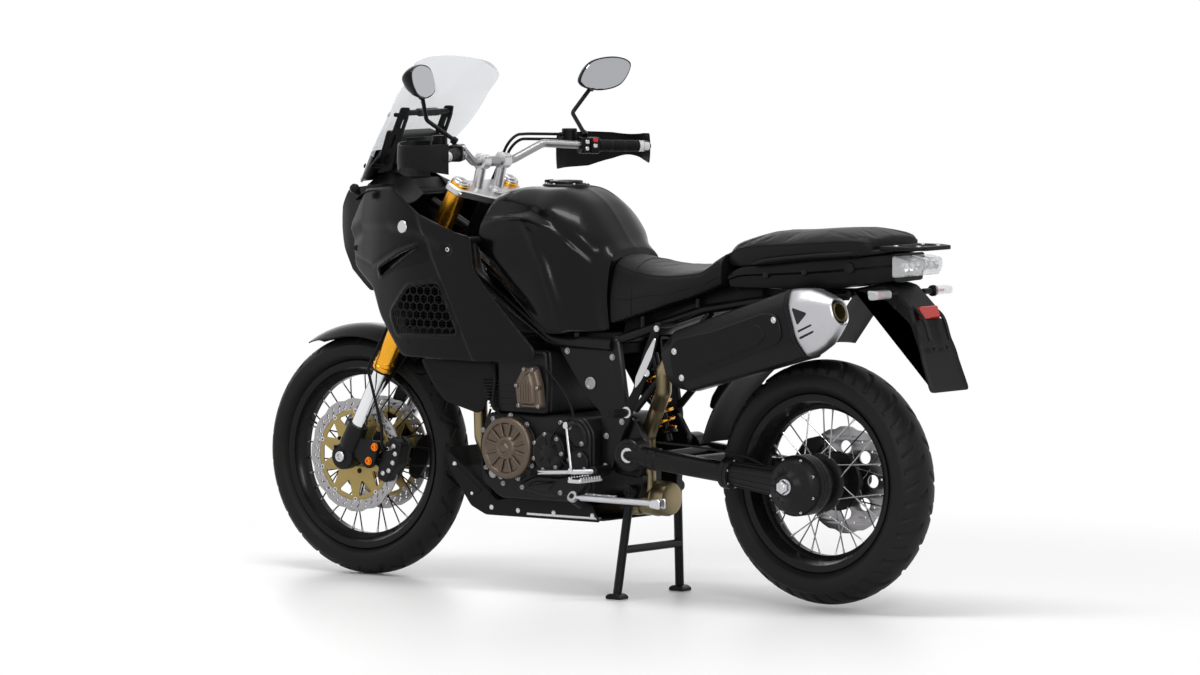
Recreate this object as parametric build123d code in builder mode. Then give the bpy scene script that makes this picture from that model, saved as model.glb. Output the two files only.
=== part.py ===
from build123d import *
from math import atan2, cos, degrees, hypot, pi, radians, sin, tan
import os

# Adventure motorcycle: a shaft-driven parallel twin on laced wheels, parked on its centre stand.
# Millimetres, +X forward, +Y to the rider's left, +Z up, origin on the floor at the middle.

os.makedirs("parts", exist_ok=True)

# ---------------------------------------------------------------- driving dimensions
WHEELBASE = 1540.0
FRONT_AXLE_X = 796.0
FRONT_TYRE_RADIUS = 329.0
FRONT_TYRE_HALF_WIDTH = 55.0
REAR_TYRE_RADIUS = 321.0
REAR_TYRE_HALF_WIDTH = 75.0
STAND_LIFT = 12.0  # gap under the rear tyre while the centre stand is down
CASTER = 28.0  # steering head angle from vertical, degrees
FORK_OFFSET = 43.2  # fork tubes ahead of the steering axis
FORK_HALF_SPREAD = 105.0
SLIDER_RADIUS = 21.5
SLEEVE_RADIUS = 27.0
FORK_LENGTH = 858.0  # front axle to the top of the fork sleeve
SLEEVE_START = 275.0  # front axle to the lower end of the sleeve
FRONT_RIM_FLANGE_RADIUS = 256.0
FRONT_RIM_HALF_WIDTH = FRONT_TYRE_HALF_WIDTH * 0.69
FRONT_RIM_INNER_RADIUS = 217.0
REAR_RIM_FLANGE_RADIUS = 232.0
REAR_RIM_HALF_WIDTH = REAR_TYRE_HALF_WIDTH * 0.76
REAR_RIM_INNER_RADIUS = 192.0
FRONT_AXLE_RADIUS = 10.0
REAR_AXLE_RADIUS = 12.0
RUNNING_GAP = 0.05  # radial clearance of a shaft turning in its bore
SEAT_GAP = 0.3  # clearance between curved faces of neighbouring pieces
SPOKE_COUNT = 32
SPOKE_RADIUS = 1.9
FRONT_DISC_RADIUS = 155.0
REAR_DISC_RADIUS = 141.0
DISC_THICKNESS = 4.5
BAR_RADIUS = 11.1
BAR_CLAMP_RADIUS = 14.3
BAR_SPAN = 836.0
ENGINE_HALF_WIDTH = 165.0
PIVOT_X = -205.0  # swingarm pivot
PIVOT_Z = 385.0
SCREEN_TOP = 1422.0
SCREEN_THICKNESS = 3.5
MIRROR_CENTRE_Y = 398.0
PANEL = 4.0  # moulded cowl wall
HOSE_RADIUS = 4.0
HOSE_BEND = 42.0  # a brake hose bends no tighter than ten times its radius

# ---------------------------------------------------------------- derived places
REAR_AXLE_X = FRONT_AXLE_X - WHEELBASE
REAR_AXLE_Z = REAR_TYRE_RADIUS + STAND_LIFT
TAIL_BACK = REAR_AXLE_X + 744.0  # carries the tail along when the rear axle moves
FRONT_AXLE_Z = FRONT_TYRE_RADIUS
LEAN = radians(CASTER)
UP = Vector(-sin(LEAN), 0, cos(LEAN))  # along the fork, upwards
AHEAD = Vector(cos(LEAN), 0, sin(LEAN))  # square to the fork, forwards
FRONT_AXLE = Vector(FRONT_AXLE_X, 0, FRONT_AXLE_Z)
REAR_AXLE = Vector(REAR_AXLE_X, 0, REAR_AXLE_Z)
PIVOT = Vector(PIVOT_X, 0, PIVOT_Z)


def side_plane(y):
    """Plane facing the right side at this y: x forward, y up, extrudes towards -Y."""
    return Plane(origin=(0, y, 0), x_dir=(1, 0, 0), z_dir=(0, -1, 0))


def cross_plane(x):
    """Plane square to the bike's length: x is +Y, y is +Z, extrudes forwards."""
    return Plane(origin=(x, 0, 0), x_dir=(0, 1, 0), z_dir=(1, 0, 0))


def wheel_plane(axle):
    """Half-plane through an axle for revolved profiles: x is +Y, y is the radius."""
    return Plane(origin=axle, x_dir=(0, 1, 0), z_dir=(1, 0, 0))


def fork_plane(height):
    """Plane square to the fork at a height along it above the axle: x is -Y, y is ahead."""
    return Plane(origin=FRONT_AXLE + UP * height, x_dir=(0, -1, 0), z_dir=UP)


def fork_point(height, y=0.0, ahead=0.0):
    """A point given by its height along the fork, its y and its distance ahead of the tubes."""
    return FRONT_AXLE + UP * height + AHEAD * ahead + Vector(0, y, 0)


def tail_x(x):
    """An x of the tail, which goes with the rear axle behind the seat's base."""
    return x + TAIL_BACK if x < -855 else x


def tail_points(points):
    """Points of the tail, given by x and one other value, carried along with the rear axle."""
    return [(tail_x(x), other) for x, other in points]


def axle_axis(axle):
    """Axis of a wheel."""
    return Axis(axle, (0, 1, 0))


def rod(start, end, radius, sides=0, mode=Mode.ADD):
    """Add a straight rod between two points, round or with a few flat sides."""
    start, end = Vector(start), Vector(end)
    with BuildSketch(Plane(origin=start, z_dir=end - start)) as section:
        if sides:
            RegularPolygon(radius, sides)
        else:
            Circle(radius)
    extrude(section.sketch, amount=(end - start).length, mode=mode)


def tube_path(points, bend, radius, bore=0.0):
    """Add a tube along straight runs joined by tangent arcs."""
    with BuildLine() as route:
        FilletPolyline(*points, radius=bend)
    wire = route.wires()[0]
    with BuildSketch(Plane(origin=wire @ 0, z_dir=wire % 0)) as ring:
        Circle(radius)
        if bore:
            Circle(bore, mode=Mode.SUBTRACT)
    sweep(sections=ring.sketch, path=wire)


def drum(axle, y_low, y_high, radius, bore=0.0, mode=Mode.ADD):
    """Add a drum or ring on an axis along Y between two y values."""
    with BuildSketch(side_plane(y_high).shift_origin((axle.X, y_high, axle.Z))) as ring:
        Circle(radius)
        if bore:
            Circle(bore, mode=Mode.SUBTRACT)
    extrude(ring.sketch, amount=y_high - y_low, mode=mode)


def side_slab(points, y_low, y_high, mode=Mode.ADD, corner=0.0):
    """Add a slab with this side outline between two y values."""
    with BuildSketch(side_plane(y_high)) as outline:
        with BuildLine():
            Polyline(*points, close=True)
        make_face()
        if corner:
            fillet(outline.vertices(), radius=corner)
    extrude(outline.sketch, amount=y_high - y_low, mode=mode)


def wave_disc(axle, y_low, y_high, outer, inner, waves=12, depth=5.0):
    """Add a brake disc with a scalloped rim."""
    with BuildSketch(side_plane(y_high).shift_origin((axle.X, y_high, axle.Z))) as disc:
        Circle(outer)
        Circle(inner, mode=Mode.SUBTRACT)
        with PolarLocations(outer + depth * 2.4, waves):
            Circle(depth * 3.4, mode=Mode.SUBTRACT)
    extrude(disc.sketch, amount=y_high - y_low)


def plan_slab(points, low, high, mode=Mode.ADD, corner=0.0):
    """Add a slab with this outline seen from above between two heights."""
    with BuildSketch(Plane.XY.offset(low)) as outline:
        with BuildLine():
            Polyline(*points, close=True)
        make_face()
        if corner:
            fillet(outline.vertices(), radius=corner)
    extrude(outline.sketch, amount=high - low, mode=mode)


def fork_axis_xz(height, ahead):
    """A side-view point given by its height along the fork and its distance ahead of it."""
    point = fork_point(height, 0, ahead)
    return (point.X, point.Z)


# ---------------------------------------------------------------- wheels
def tyre_profile(radius, half_width, flange_radius, rim_half_width):
    """Closed section of a tubeless tyre: crown, shoulders, sidewalls, beads and inner wall."""
    wall = 9.0
    bead = rim_half_width - 8.0
    bead_radius = flange_radius - 14.0
    lip = flange_radius + 1.5
    shoulder_y = half_width * 0.86
    shoulder = radius - half_width * 0.42
    waist = (shoulder + lip) / 2
    with BuildLine() as outline:
        for side in (1, -1):
            Polyline(
                (side * bead, lip),
                (side * bead, bead_radius),
                (side * (bead - 12), bead_radius),
                (side * (bead - 12), lip + wall),
            )
            widest = half_width - 0.4
            ThreePointArc((side * bead, lip), (side * widest, waist), (side * shoulder_y, shoulder))
            ThreePointArc(
                (side * (bead - 12), lip + wall),
                (side * (half_width - wall), waist),
                (side * (shoulder_y - wall), shoulder - wall),
            )
        ThreePointArc((-shoulder_y, shoulder), (0, radius), (shoulder_y, shoulder))
        ThreePointArc(
            (wall - shoulder_y, shoulder - wall), (0, radius - wall), (shoulder_y - wall, shoulder - wall)
        )
    make_face(outline.edges())


def rim_profile(flange_radius, half_width, inner_radius):
    """Closed section of a rim: flanges, bead seats, drop centre and the rib for the nipples."""
    seat = flange_radius - 14.0 - SEAT_GAP
    inside = half_width - 8.0 + SEAT_GAP
    right = [
        (half_width, flange_radius),
        (inside, flange_radius),
        (inside, seat),
        (half_width * 0.45, seat - 6.0),
        (9.0, seat - 16.0),
    ]
    rib = [(12.0, inner_radius), (12.0, inner_radius + 8.0), (half_width, flange_radius - 22.0)]
    left = [(-y, r) for y, r in reversed(right)]
    rib_left = [(-y, r) for y, r in reversed(rib)]
    with BuildLine() as outline:
        Polyline(*right, *left, *rib_left, *rib, close=True)
    make_face(outline.edges())


def lace_spokes(axle, hub_radius, hub_half, rim_radius, lean):
    """Add the laced spokes: each hub flange feeds leading and trailing spokes in turn."""
    for index in range(SPOKE_COUNT):
        side = 1 if index % 2 == 0 else -1
        trailing = 1 if (index // 2) % 2 == 0 else -1
        rim_angle = 2 * pi * (index + 0.5) / SPOKE_COUNT
        hub_angle = rim_angle + trailing * lean
        inner = hub_radius - 4.0
        outer = rim_radius + 4.0
        hub_y = side * (hub_half + trailing * SPOKE_STAGGER)
        start = axle + Vector(cos(hub_angle) * inner, hub_y, sin(hub_angle) * inner)
        end = axle + Vector(cos(rim_angle) * outer, side * 5.0, sin(rim_angle) * outer)
        rod(start, end, SPOKE_RADIUS, sides=6)
        rod(end + (start - end).normalized() * NIPPLE_LENGTH, end, NIPPLE_RADIUS, sides=6)
    with BuildSketch(side_plane(100).shift_origin((axle.X, 100, axle.Z))) as annulus:
        Circle(rim_radius - SEAT_GAP)
        Circle(hub_radius + SEAT_GAP, mode=Mode.SUBTRACT)
    extrude(annulus.sketch, amount=200, mode=Mode.INTERSECT)


FRONT_HUB_RADIUS = 50.0
FRONT_HUB_HALF = 33.0  # middle of a spoke flange
REAR_HUB_RADIUS = 78.0
REAR_HUB_HALF = 42.0
FLANGE_HALF = 8.0
SPOKE_STAGGER = 4.2  # leading and trailing spokes leave a flange this far off its middle
NIPPLE_LENGTH = 22.0
NIPPLE_RADIUS = 3.3
FRONT_DISC_Y = 59.0  # inner face of a front disc
REAR_DISC_Y = 80.0  # inner face of the rear disc, on the right
DISC_SEAT_RADIUS = 58.0
CARRIER_RADIUS = 124.0
FRONT_HUB_BORE = FRONT_AXLE_RADIUS + RUNNING_GAP
REAR_HUB_BORE = REAR_AXLE_RADIUS + RUNNING_GAP
HUB_DRIVE_Y = 84.0  # outer face of the rear hub's driven side, on the left

with BuildPart() as front_tyre:
    with BuildSketch(wheel_plane(FRONT_AXLE)):
        tyre_profile(FRONT_TYRE_RADIUS, FRONT_TYRE_HALF_WIDTH, FRONT_RIM_FLANGE_RADIUS, FRONT_RIM_HALF_WIDTH)
    revolve(axis=axle_axis(FRONT_AXLE))
front_tyre.part.label = "front_tyre"
export_step(front_tyre.part, "parts/front_tyre.step")

with BuildPart() as front_rim:
    with BuildSketch(wheel_plane(FRONT_AXLE)):
        rim_profile(FRONT_RIM_FLANGE_RADIUS, FRONT_RIM_HALF_WIDTH, FRONT_RIM_INNER_RADIUS)
    revolve(axis=axle_axis(FRONT_AXLE))
front_rim.part.label = "front_rim"
export_step(front_rim.part, "parts/front_rim.step")

with BuildPart() as front_spokes:
    lace_spokes(FRONT_AXLE, FRONT_HUB_RADIUS, FRONT_HUB_HALF, FRONT_RIM_INNER_RADIUS, 0.55)
front_spokes.part.label = "front_spokes"
export_step(front_spokes.part, "parts/front_spokes.step")

with BuildPart() as front_hub:
    drum(FRONT_AXLE, -FRONT_DISC_Y, FRONT_DISC_Y, 27.0)
    for side in (-1, 1):
        middle = side * FRONT_HUB_HALF
        drum(FRONT_AXLE, middle - FLANGE_HALF, middle + FLANGE_HALF, FRONT_HUB_RADIUS)
        drum(FRONT_AXLE, side * (FRONT_DISC_Y - 3) - 3, side * (FRONT_DISC_Y - 3) + 3, DISC_SEAT_RADIUS)
    drum(FRONT_AXLE, -FRONT_DISC_Y, FRONT_DISC_Y, FRONT_HUB_BORE, mode=Mode.SUBTRACT)
front_hub.part.label = "front_hub"
export_step(front_hub.part, "parts/front_hub.step")

with BuildPart() as front_disc_carriers:
    for side in (-1, 1):
        face_y = FRONT_DISC_Y + DISC_THICKNESS if side > 0 else -FRONT_DISC_Y
        with BuildSketch(side_plane(face_y).shift_origin((FRONT_AXLE.X, face_y, FRONT_AXLE.Z))) as star:
            Circle(CARRIER_RADIUS)
            Circle(30.0, mode=Mode.SUBTRACT)
            with PolarLocations(96.0, 10):
                Circle(20.0, mode=Mode.SUBTRACT)
        extrude(star.sketch, amount=DISC_THICKNESS)
front_disc_carriers.part.label = "front_disc_carriers"
export_step(front_disc_carriers.part, "parts/front_disc_carriers.step")

with BuildPart() as front_discs:
    for low in (-FRONT_DISC_Y - DISC_THICKNESS, FRONT_DISC_Y):
        wave_disc(FRONT_AXLE, low, low + DISC_THICKNESS, FRONT_DISC_RADIUS, CARRIER_RADIUS + SEAT_GAP)
front_discs.part.label = "front_discs"
export_step(front_discs.part, "parts/front_discs.step")

with BuildPart() as rear_tyre:
    with BuildSketch(wheel_plane(REAR_AXLE)):
        tyre_profile(REAR_TYRE_RADIUS, REAR_TYRE_HALF_WIDTH, REAR_RIM_FLANGE_RADIUS, REAR_RIM_HALF_WIDTH)
    revolve(axis=axle_axis(REAR_AXLE))
rear_tyre.part.label = "rear_tyre"
export_step(rear_tyre.part, "parts/rear_tyre.step")

with BuildPart() as rear_rim:
    with BuildSketch(wheel_plane(REAR_AXLE)):
        rim_profile(REAR_RIM_FLANGE_RADIUS, REAR_RIM_HALF_WIDTH, REAR_RIM_INNER_RADIUS)
    revolve(axis=axle_axis(REAR_AXLE))
rear_rim.part.label = "rear_rim"
export_step(rear_rim.part, "parts/rear_rim.step")

with BuildPart() as rear_spokes:
    lace_spokes(REAR_AXLE, REAR_HUB_RADIUS, REAR_HUB_HALF, REAR_RIM_INNER_RADIUS, 0.42)
rear_spokes.part.label = "rear_spokes"
export_step(rear_spokes.part, "parts/rear_spokes.step")

with BuildPart() as rear_hub:
    drum(REAR_AXLE, -REAR_DISC_Y, HUB_DRIVE_Y, 42.0)
    for side in (-1, 1):
        middle = side * REAR_HUB_HALF
        drum(REAR_AXLE, middle - FLANGE_HALF, middle + FLANGE_HALF, REAR_HUB_RADIUS)
    drum(REAR_AXLE, -REAR_DISC_Y, -REAR_DISC_Y + 8, DISC_SEAT_RADIUS)
    drum(REAR_AXLE, HUB_DRIVE_Y - 26, HUB_DRIVE_Y, 66.0)
    drum(REAR_AXLE, -REAR_DISC_Y, HUB_DRIVE_Y, REAR_HUB_BORE, mode=Mode.SUBTRACT)
rear_hub.part.label = "rear_hub"
export_step(rear_hub.part, "parts/rear_hub.step")

with BuildPart() as rear_disc:
    wave_disc(REAR_AXLE, -REAR_DISC_Y - DISC_THICKNESS, -REAR_DISC_Y, REAR_DISC_RADIUS, 40.0)
    disc_plane = side_plane(-REAR_DISC_Y).shift_origin((REAR_AXLE.X, -REAR_DISC_Y, REAR_AXLE.Z))
    with BuildSketch(disc_plane) as windows:
        with PolarLocations(87.0, 8):
            Circle(21.0)
    extrude(windows.sketch, amount=DISC_THICKNESS, mode=Mode.SUBTRACT)
rear_disc.part.label = "rear_disc"
export_step(rear_disc.part, "parts/rear_disc.step")

# ---------------------------------------------------------------- steering assembly
LOWER_CLAMP = (560.0, 600.0)  # heights along the fork
UPPER_CLAMP = (828.0, 850.0)
STEM_RADIUS = 15.0
HEAD_TUBE_RADIUS = 31.0
AXLE_END_Y = FORK_HALF_SPREAD + 29
BOTTOM_TOP = 100.0  # top of the axle lug, along the fork
GRIP_END = Vector(193, BAR_SPAN / 2, 1172)
GRIP_START = Vector(262, BAR_SPAN / 2 - 128, 1176)
BAR_BEND_HIGH = Vector(336, BAR_SPAN / 2 - 240, 1184)
BAR_BEND_LOW = Vector(368, 84, 1141)
BAR_CENTRE = Vector(368, 0, 1141)
RISER_Y = 45.0
HOSE_INNER_Y = FORK_HALF_SPREAD - 14  # the two brake hoses run down in front of the right fork tube
HOSE_OUTER_Y = FORK_HALF_SPREAD + 7
HOSE_AHEAD = 42.0
BANJO_END = -66.0  # along the grip, where the hoses leave the master cylinder
BANJO_RISES = (14.0, 28.0)


def mirror_y(point):
    """The same point on the other side of the bike."""
    return Vector(point.X, -point.Y, point.Z)


def on_side(point, side):
    """A left-side point, moved to the right side when side is -1."""
    return point if side > 0 else mirror_y(point)


with BuildPart() as fork_bottoms:
    for side in (-1, 1):
        y = side * FORK_HALF_SPREAD
        rod(fork_point(24, y), fork_point(BOTTOM_TOP, y), 29.0)
        drum(FRONT_AXLE, y - 19, y + 19, 36.0)
        low, high = sorted((y - 9, y + 9))
        side_slab(
            [
                fork_axis_xz(70, 0),
                fork_axis_xz(20, 0),
                fork_axis_xz(10, -88),
                fork_axis_xz(30, -100),
                fork_axis_xz(95, -88),
            ],
            low,
            high,
        )
    drum(FRONT_AXLE, -AXLE_END_Y - 10, AXLE_END_Y + 10, FRONT_AXLE_RADIUS + SEAT_GAP, mode=Mode.SUBTRACT)
fork_bottoms.part.label = "fork_bottoms"
export_step(fork_bottoms.part, "parts/fork_bottoms.step")

with BuildPart() as front_axle:
    drum(FRONT_AXLE, -AXLE_END_Y + 6, AXLE_END_Y - 6, FRONT_AXLE_RADIUS)
    drum(FRONT_AXLE, AXLE_END_Y - 9, AXLE_END_Y, 15.0)
    drum(FRONT_AXLE, -AXLE_END_Y, 9 - AXLE_END_Y, 15.0)
    for side in (-1, 1):
        low, high = sorted((side * (FRONT_DISC_Y + SEAT_GAP), side * (FORK_HALF_SPREAD - 19 - SEAT_GAP)))
        drum(FRONT_AXLE, low, high, 18.0)
front_axle.part.label = "front_axle"
export_step(front_axle.part, "parts/front_axle.step")

with BuildPart() as fork_tubes:
    for y in (-FORK_HALF_SPREAD, FORK_HALF_SPREAD):
        rod(fork_point(BOTTOM_TOP, y), fork_point(SLEEVE_START, y), SLIDER_RADIUS)
fork_tubes.part.label = "fork_tubes"
export_step(fork_tubes.part, "parts/fork_tubes.step")

with BuildPart() as fork_sleeves:
    for y in (-FORK_HALF_SPREAD, FORK_HALF_SPREAD):
        rod(fork_point(SLEEVE_START, y), fork_point(SLEEVE_START + 26, y), SLEEVE_RADIUS + 2.5)
        rod(fork_point(SLEEVE_START + 20, y), fork_point(FORK_LENGTH, y), SLEEVE_RADIUS)
        rod(fork_point(FORK_LENGTH - 4, y), fork_point(FORK_LENGTH + 10, y), 18.0, sides=6)
fork_sleeves.part.label = "fork_sleeves"
export_step(fork_sleeves.part, "parts/fork_sleeves.step")

with BuildPart() as triple_clamps:
    for low, high, ring in ((*LOWER_CLAMP, 40.0), (*UPPER_CLAMP, 38.0)):
        with BuildSketch(fork_plane(low)) as plan:
            with Locations((-FORK_HALF_SPREAD, 0), (FORK_HALF_SPREAD, 0), (0, -FORK_OFFSET)):
                Circle(ring - 4)
            make_hull()
            with Locations((0, 26)):
                Circle(34.0, mode=Mode.SUBTRACT)
            with Locations((-FORK_HALF_SPREAD, 0), (FORK_HALF_SPREAD, 0)):
                Circle(SLEEVE_RADIUS + SEAT_GAP, mode=Mode.SUBTRACT)
        extrude(plan.sketch, amount=high - low)
    stem_foot = fork_point(LOWER_CLAMP[0], 0, -FORK_OFFSET)
    rod(stem_foot, fork_point(UPPER_CLAMP[1] + 10, 0, -FORK_OFFSET), STEM_RADIUS)
    for y in (-RISER_Y, RISER_Y):
        foot = fork_point(UPPER_CLAMP[1] - 4, y, -14)
        rod(foot, (BAR_CENTRE.X, y, BAR_CENTRE.Z), 15.0)
        drum(BAR_CENTRE, y - 16, y + 16, BAR_CLAMP_RADIUS + 7)
    drum(BAR_CENTRE, -BAR_BEND_LOW.Y, BAR_BEND_LOW.Y, BAR_CLAMP_RADIUS + SEAT_GAP / 3, mode=Mode.SUBTRACT)
    with BuildSketch(fork_plane(LOWER_CLAMP[0] + 14)) as hose_guide:
        with Locations(((HOSE_INNER_Y + HOSE_OUTER_Y) / 2, HOSE_AHEAD - 4)):
            Rectangle(HOSE_OUTER_Y - HOSE_INNER_Y + 22, 24)
        with Locations((HOSE_INNER_Y, HOSE_AHEAD), (HOSE_OUTER_Y, HOSE_AHEAD)):
            Circle(HOSE_RADIUS + SEAT_GAP, mode=Mode.SUBTRACT)
        with Locations((FORK_HALF_SPREAD, 0)):
            Circle(SLEEVE_RADIUS + 2, mode=Mode.SUBTRACT)
    extrude(hose_guide.sketch, amount=8)
triple_clamps.part.label = "triple_clamps"
export_step(triple_clamps.part, "parts/triple_clamps.step")

with BuildPart() as handlebar:
    left = [GRIP_END, GRIP_START, BAR_BEND_HIGH, BAR_BEND_LOW]
    tube_path(left + [mirror_y(p) for p in reversed(left)], 26.0, BAR_RADIUS)
    drum(BAR_CENTRE, -66.0, 66.0, BAR_CLAMP_RADIUS)
handlebar.part.label = "handlebar"
export_step(handlebar.part, "parts/handlebar.step")

GRIP_DIRECTION = (GRIP_END - GRIP_START).normalized()


def grip_point(along, side, ahead=0.0, rise=0.0):
    """A point beside a grip: distance along it from its inner end, ahead of it and above it."""
    forward = Vector(0, 0, 1).cross(GRIP_DIRECTION) * -1
    return on_side(GRIP_START + GRIP_DIRECTION * along + forward * ahead + Vector(0, 0, rise), side)


GRIP_BORE = BAR_RADIUS + 0.1
POD_BORE = BAR_RADIUS + 3.0
GRIP_LENGTH = 118.0
BAR_RUN = (GRIP_END - GRIP_START).length

with BuildPart() as grips:
    for side in (-1, 1):
        start = grip_point(BAR_RUN - GRIP_LENGTH, side)
        end = grip_point(BAR_RUN, side)
        with BuildSketch(Plane(origin=start, z_dir=end - start)) as ring:
            Circle(16.5)
            Circle(GRIP_BORE, mode=Mode.SUBTRACT)
        extrude(ring.sketch, amount=GRIP_LENGTH)
        rod(end, grip_point(BAR_RUN + 30, side), 15.5)
grips.part.label = "grips"
export_step(grips.part, "parts/grips.step")

with BuildPart() as bar_controls:
    for side in (-1, 1):
        start = grip_point(-30, side)
        end = grip_point(BAR_RUN - GRIP_LENGTH - 2, side)
        with BuildSketch(Plane(origin=start, z_dir=end - start)) as pod:
            RectangleRounded(42, 46, 9)
            Circle(POD_BORE, mode=Mode.SUBTRACT)
        extrude(pod.sketch, amount=(end - start).length)
        lever_root = grip_point(-16, side, 34, -2)
        lever_tip = grip_point(BAR_RUN - 6, side, 72, -8)
        rod(grip_point(-16, side, 16, -2), grip_point(-16, side, 46, -2), 9.0)
        rod(lever_root, grip_point(30, side, 62, -4), 6.0)
        rod(grip_point(30, side, 62, -4), lever_tip, 5.0)
        rod(grip_point(-36, side, 52, 4), grip_point(-36, side, 52, 44), 21.0)
        rod(grip_point(-16, side, 40, 0), grip_point(-36, side, 52, 8), 9.0)
    for rise in BANJO_RISES:
        rod(grip_point(-36, -1, 52, rise), grip_point(BANJO_END, -1, 52, rise), 5.5)
bar_controls.part.label = "bar_controls"
export_step(bar_controls.part, "parts/bar_controls.step")

GUARD_SEAT = BAR_RUN + 30 + SEAT_GAP
GUARD_OUTLINE = [
    (175, 1122),
    (250, 1106),
    (400, 1112),
    (500, 1144),
    (500, 1202),
    (400, 1212),
    (250, 1208),
    (175, 1186),
]

with BuildPart() as hand_guards:
    for side in (-1, 1):
        plan_points = [
            grip_point(BAR_RUN + 33, side, -12),
            grip_point(BAR_RUN + 40, side, 96),
            grip_point(BAR_RUN - 26, side, 146),
            grip_point(-20, side, 122),
            grip_point(-66, side, 84),
        ]
        with BuildLine(Plane.XY.offset(1100)) as track:
            FilletPolyline(*[(p.X, p.Y) for p in plan_points], radius=24)
            offset(amount=3.5, side=Side.LEFT if side > 0 else Side.RIGHT)
        with BuildSketch(Plane.XY.offset(1100)) as band:
            make_face(track.edges())
        extrude(band.sketch, amount=115)
    with BuildSketch(cross_plane(0)) as face:
        for side in (-1, 1):
            with BuildLine():
                Polyline(*[(side * y, z) for y, z in GUARD_OUTLINE], close=True)
            make_face()
    extrude(face.sketch, amount=900, mode=Mode.INTERSECT)
    for side in (-1, 1):
        rod(grip_point(GUARD_SEAT, side), grip_point(BAR_RUN + 35, side), 8.0)
hand_guards.part.label = "hand_guards"
export_step(hand_guards.part, "parts/hand_guards.step")

# mirrors: arms and housings share a node, the glass has its own
MIRROR_CENTRE = Vector(288, MIRROR_CENTRE_Y, 1368)
MIRROR_YAW = 17.0  # the outer end of a mirror sits further back
MIRROR_HALF_WIDTH = 88.0
MIRROR_HALF_HEIGHT = 47.0


def mirror_plane(side, depth):
    """Plane of a mirror's face, at a depth in front of the glass: x is outwards, y is up."""
    yaw = radians(MIRROR_YAW)
    outwards = Vector(-sin(yaw), side * cos(yaw), 0)
    back = Vector(-cos(yaw), -side * sin(yaw), 0)
    centre = on_side(MIRROR_CENTRE, side) - back * depth
    return Plane(origin=centre, x_dir=outwards, z_dir=-back * side)


def mirror_outline(side, inset):
    """Add the slanted leaf outline of a mirror, shrunk by an inset."""
    wide = MIRROR_HALF_WIDTH - inset
    high = MIRROR_HALF_HEIGHT - inset
    with BuildLine() as leaf:
        points = [
            (-wide * 0.98, -high * 0.30),
            (-wide * 0.55, high * 0.72),
            (wide * 0.35, high * 0.98),
            (wide * 0.97, high * 0.55),
            (wide * 0.62, -high * 0.62),
            (-wide * 0.12, -high * 0.99),
            (-wide * 0.80, -high * 0.80),
        ]
        Spline(*points, periodic=True)
    make_face(leaf.edges())


with BuildPart() as mirrors:
    for side in (-1, 1):
        with BuildSketch(mirror_plane(side, 3.0)) as face:
            mirror_outline(side, 0)
        with BuildSketch(mirror_plane(side, 26.0)) as middle:
            mirror_outline(side, 9)
        with BuildSketch(mirror_plane(side, 40.0)) as back:
            mirror_outline(side, 30)
        loft([face.sketch, middle.sketch, back.sketch], ruled=True)
        knuckle = on_side(Vector(318, 366, 1326), side)
        elbow = on_side(Vector(342, 318, 1262), side)
        foot = grip_point(-12, side, 2, 28.6)
        neck = on_side(Vector(314, 382, 1350), side)
        rod(foot, elbow, 6.0)
        rod(elbow - (elbow - foot).normalized() * 5, knuckle, 6.0)
        rod(knuckle - (knuckle - elbow).normalized() * 5, neck, 9.0)
mirrors.part.label = "mirrors"
export_step(mirrors.part, "parts/mirrors.step")

with BuildPart() as mirror_glass:
    for side in (-1, 1):
        with BuildSketch(mirror_plane(side, 0.2)) as pane:
            mirror_outline(side, 4)
        extrude(pane.sketch, amount=side * 2.5)
mirror_glass.part.label = "mirror_glass"
export_step(mirror_glass.part, "parts/mirror_glass.step")

FENDER_RADIUS = 360.0
FENDER_HALF_WIDTH = 68.0
FENDER_WALL = 3.5
FENDER_FRONT = 57.0  # angle of the tip above the horizontal, ahead of the axle
FENDER_REAR = 128.0

with BuildPart() as front_fender:
    turn = radians(FENDER_FRONT)
    start_plane = Plane(origin=FRONT_AXLE, x_dir=(0, 1, 0), z_dir=(sin(turn), 0, -cos(turn)))
    with BuildSketch(start_plane) as arch:
        with BuildLine():
            for inset in (0, FENDER_WALL):
                wide = FENDER_HALF_WIDTH - inset
                ThreePointArc(
                    (-wide, FENDER_RADIUS - 34), (0, FENDER_RADIUS - inset), (wide, FENDER_RADIUS - 34)
                )
            for side in (-1, 1):
                Line(
                    (side * FENDER_HALF_WIDTH, FENDER_RADIUS - 34),
                    (side * (FENDER_HALF_WIDTH - FENDER_WALL), FENDER_RADIUS - 34),
                )
        make_face()
    revolve(arch.sketch, axis=axle_axis(FRONT_AXLE), revolution_arc=FENDER_FRONT - FENDER_REAR)
    for side in (-1, 1):
        low, high = sorted((side * (FENDER_HALF_WIDTH - 3), side * (FENDER_HALF_WIDTH + 2)))
        side_slab(
            [
                fork_axis_xz(345, 62),
                fork_axis_xz(345, -40),
                fork_axis_xz(290, -24),
                fork_axis_xz(120, 18),
                fork_axis_xz(88, 22),
                fork_axis_xz(88, 44),
                fork_axis_xz(230, 50),
            ],
            low,
            high,
        )
    for side in (-1, 1):
        start = fork_point(92, side * (FENDER_HALF_WIDTH + 2 - 0.2), 35.3)
        rod(start, fork_point(92, side * (FORK_HALF_SPREAD - 6), 35.3), 6.0)
front_fender.part.label = "front_fender"
export_step(front_fender.part, "parts/front_fender.step")

CALIPER_HEIGHT = 62.0  # along the fork
CALIPER_BACK = -122.0
CALIPER_OUTER_Y = FORK_HALF_SPREAD - 11
HOSE_END_BEND = 20.0  # the last bend into a caliper, round its banjo

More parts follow.
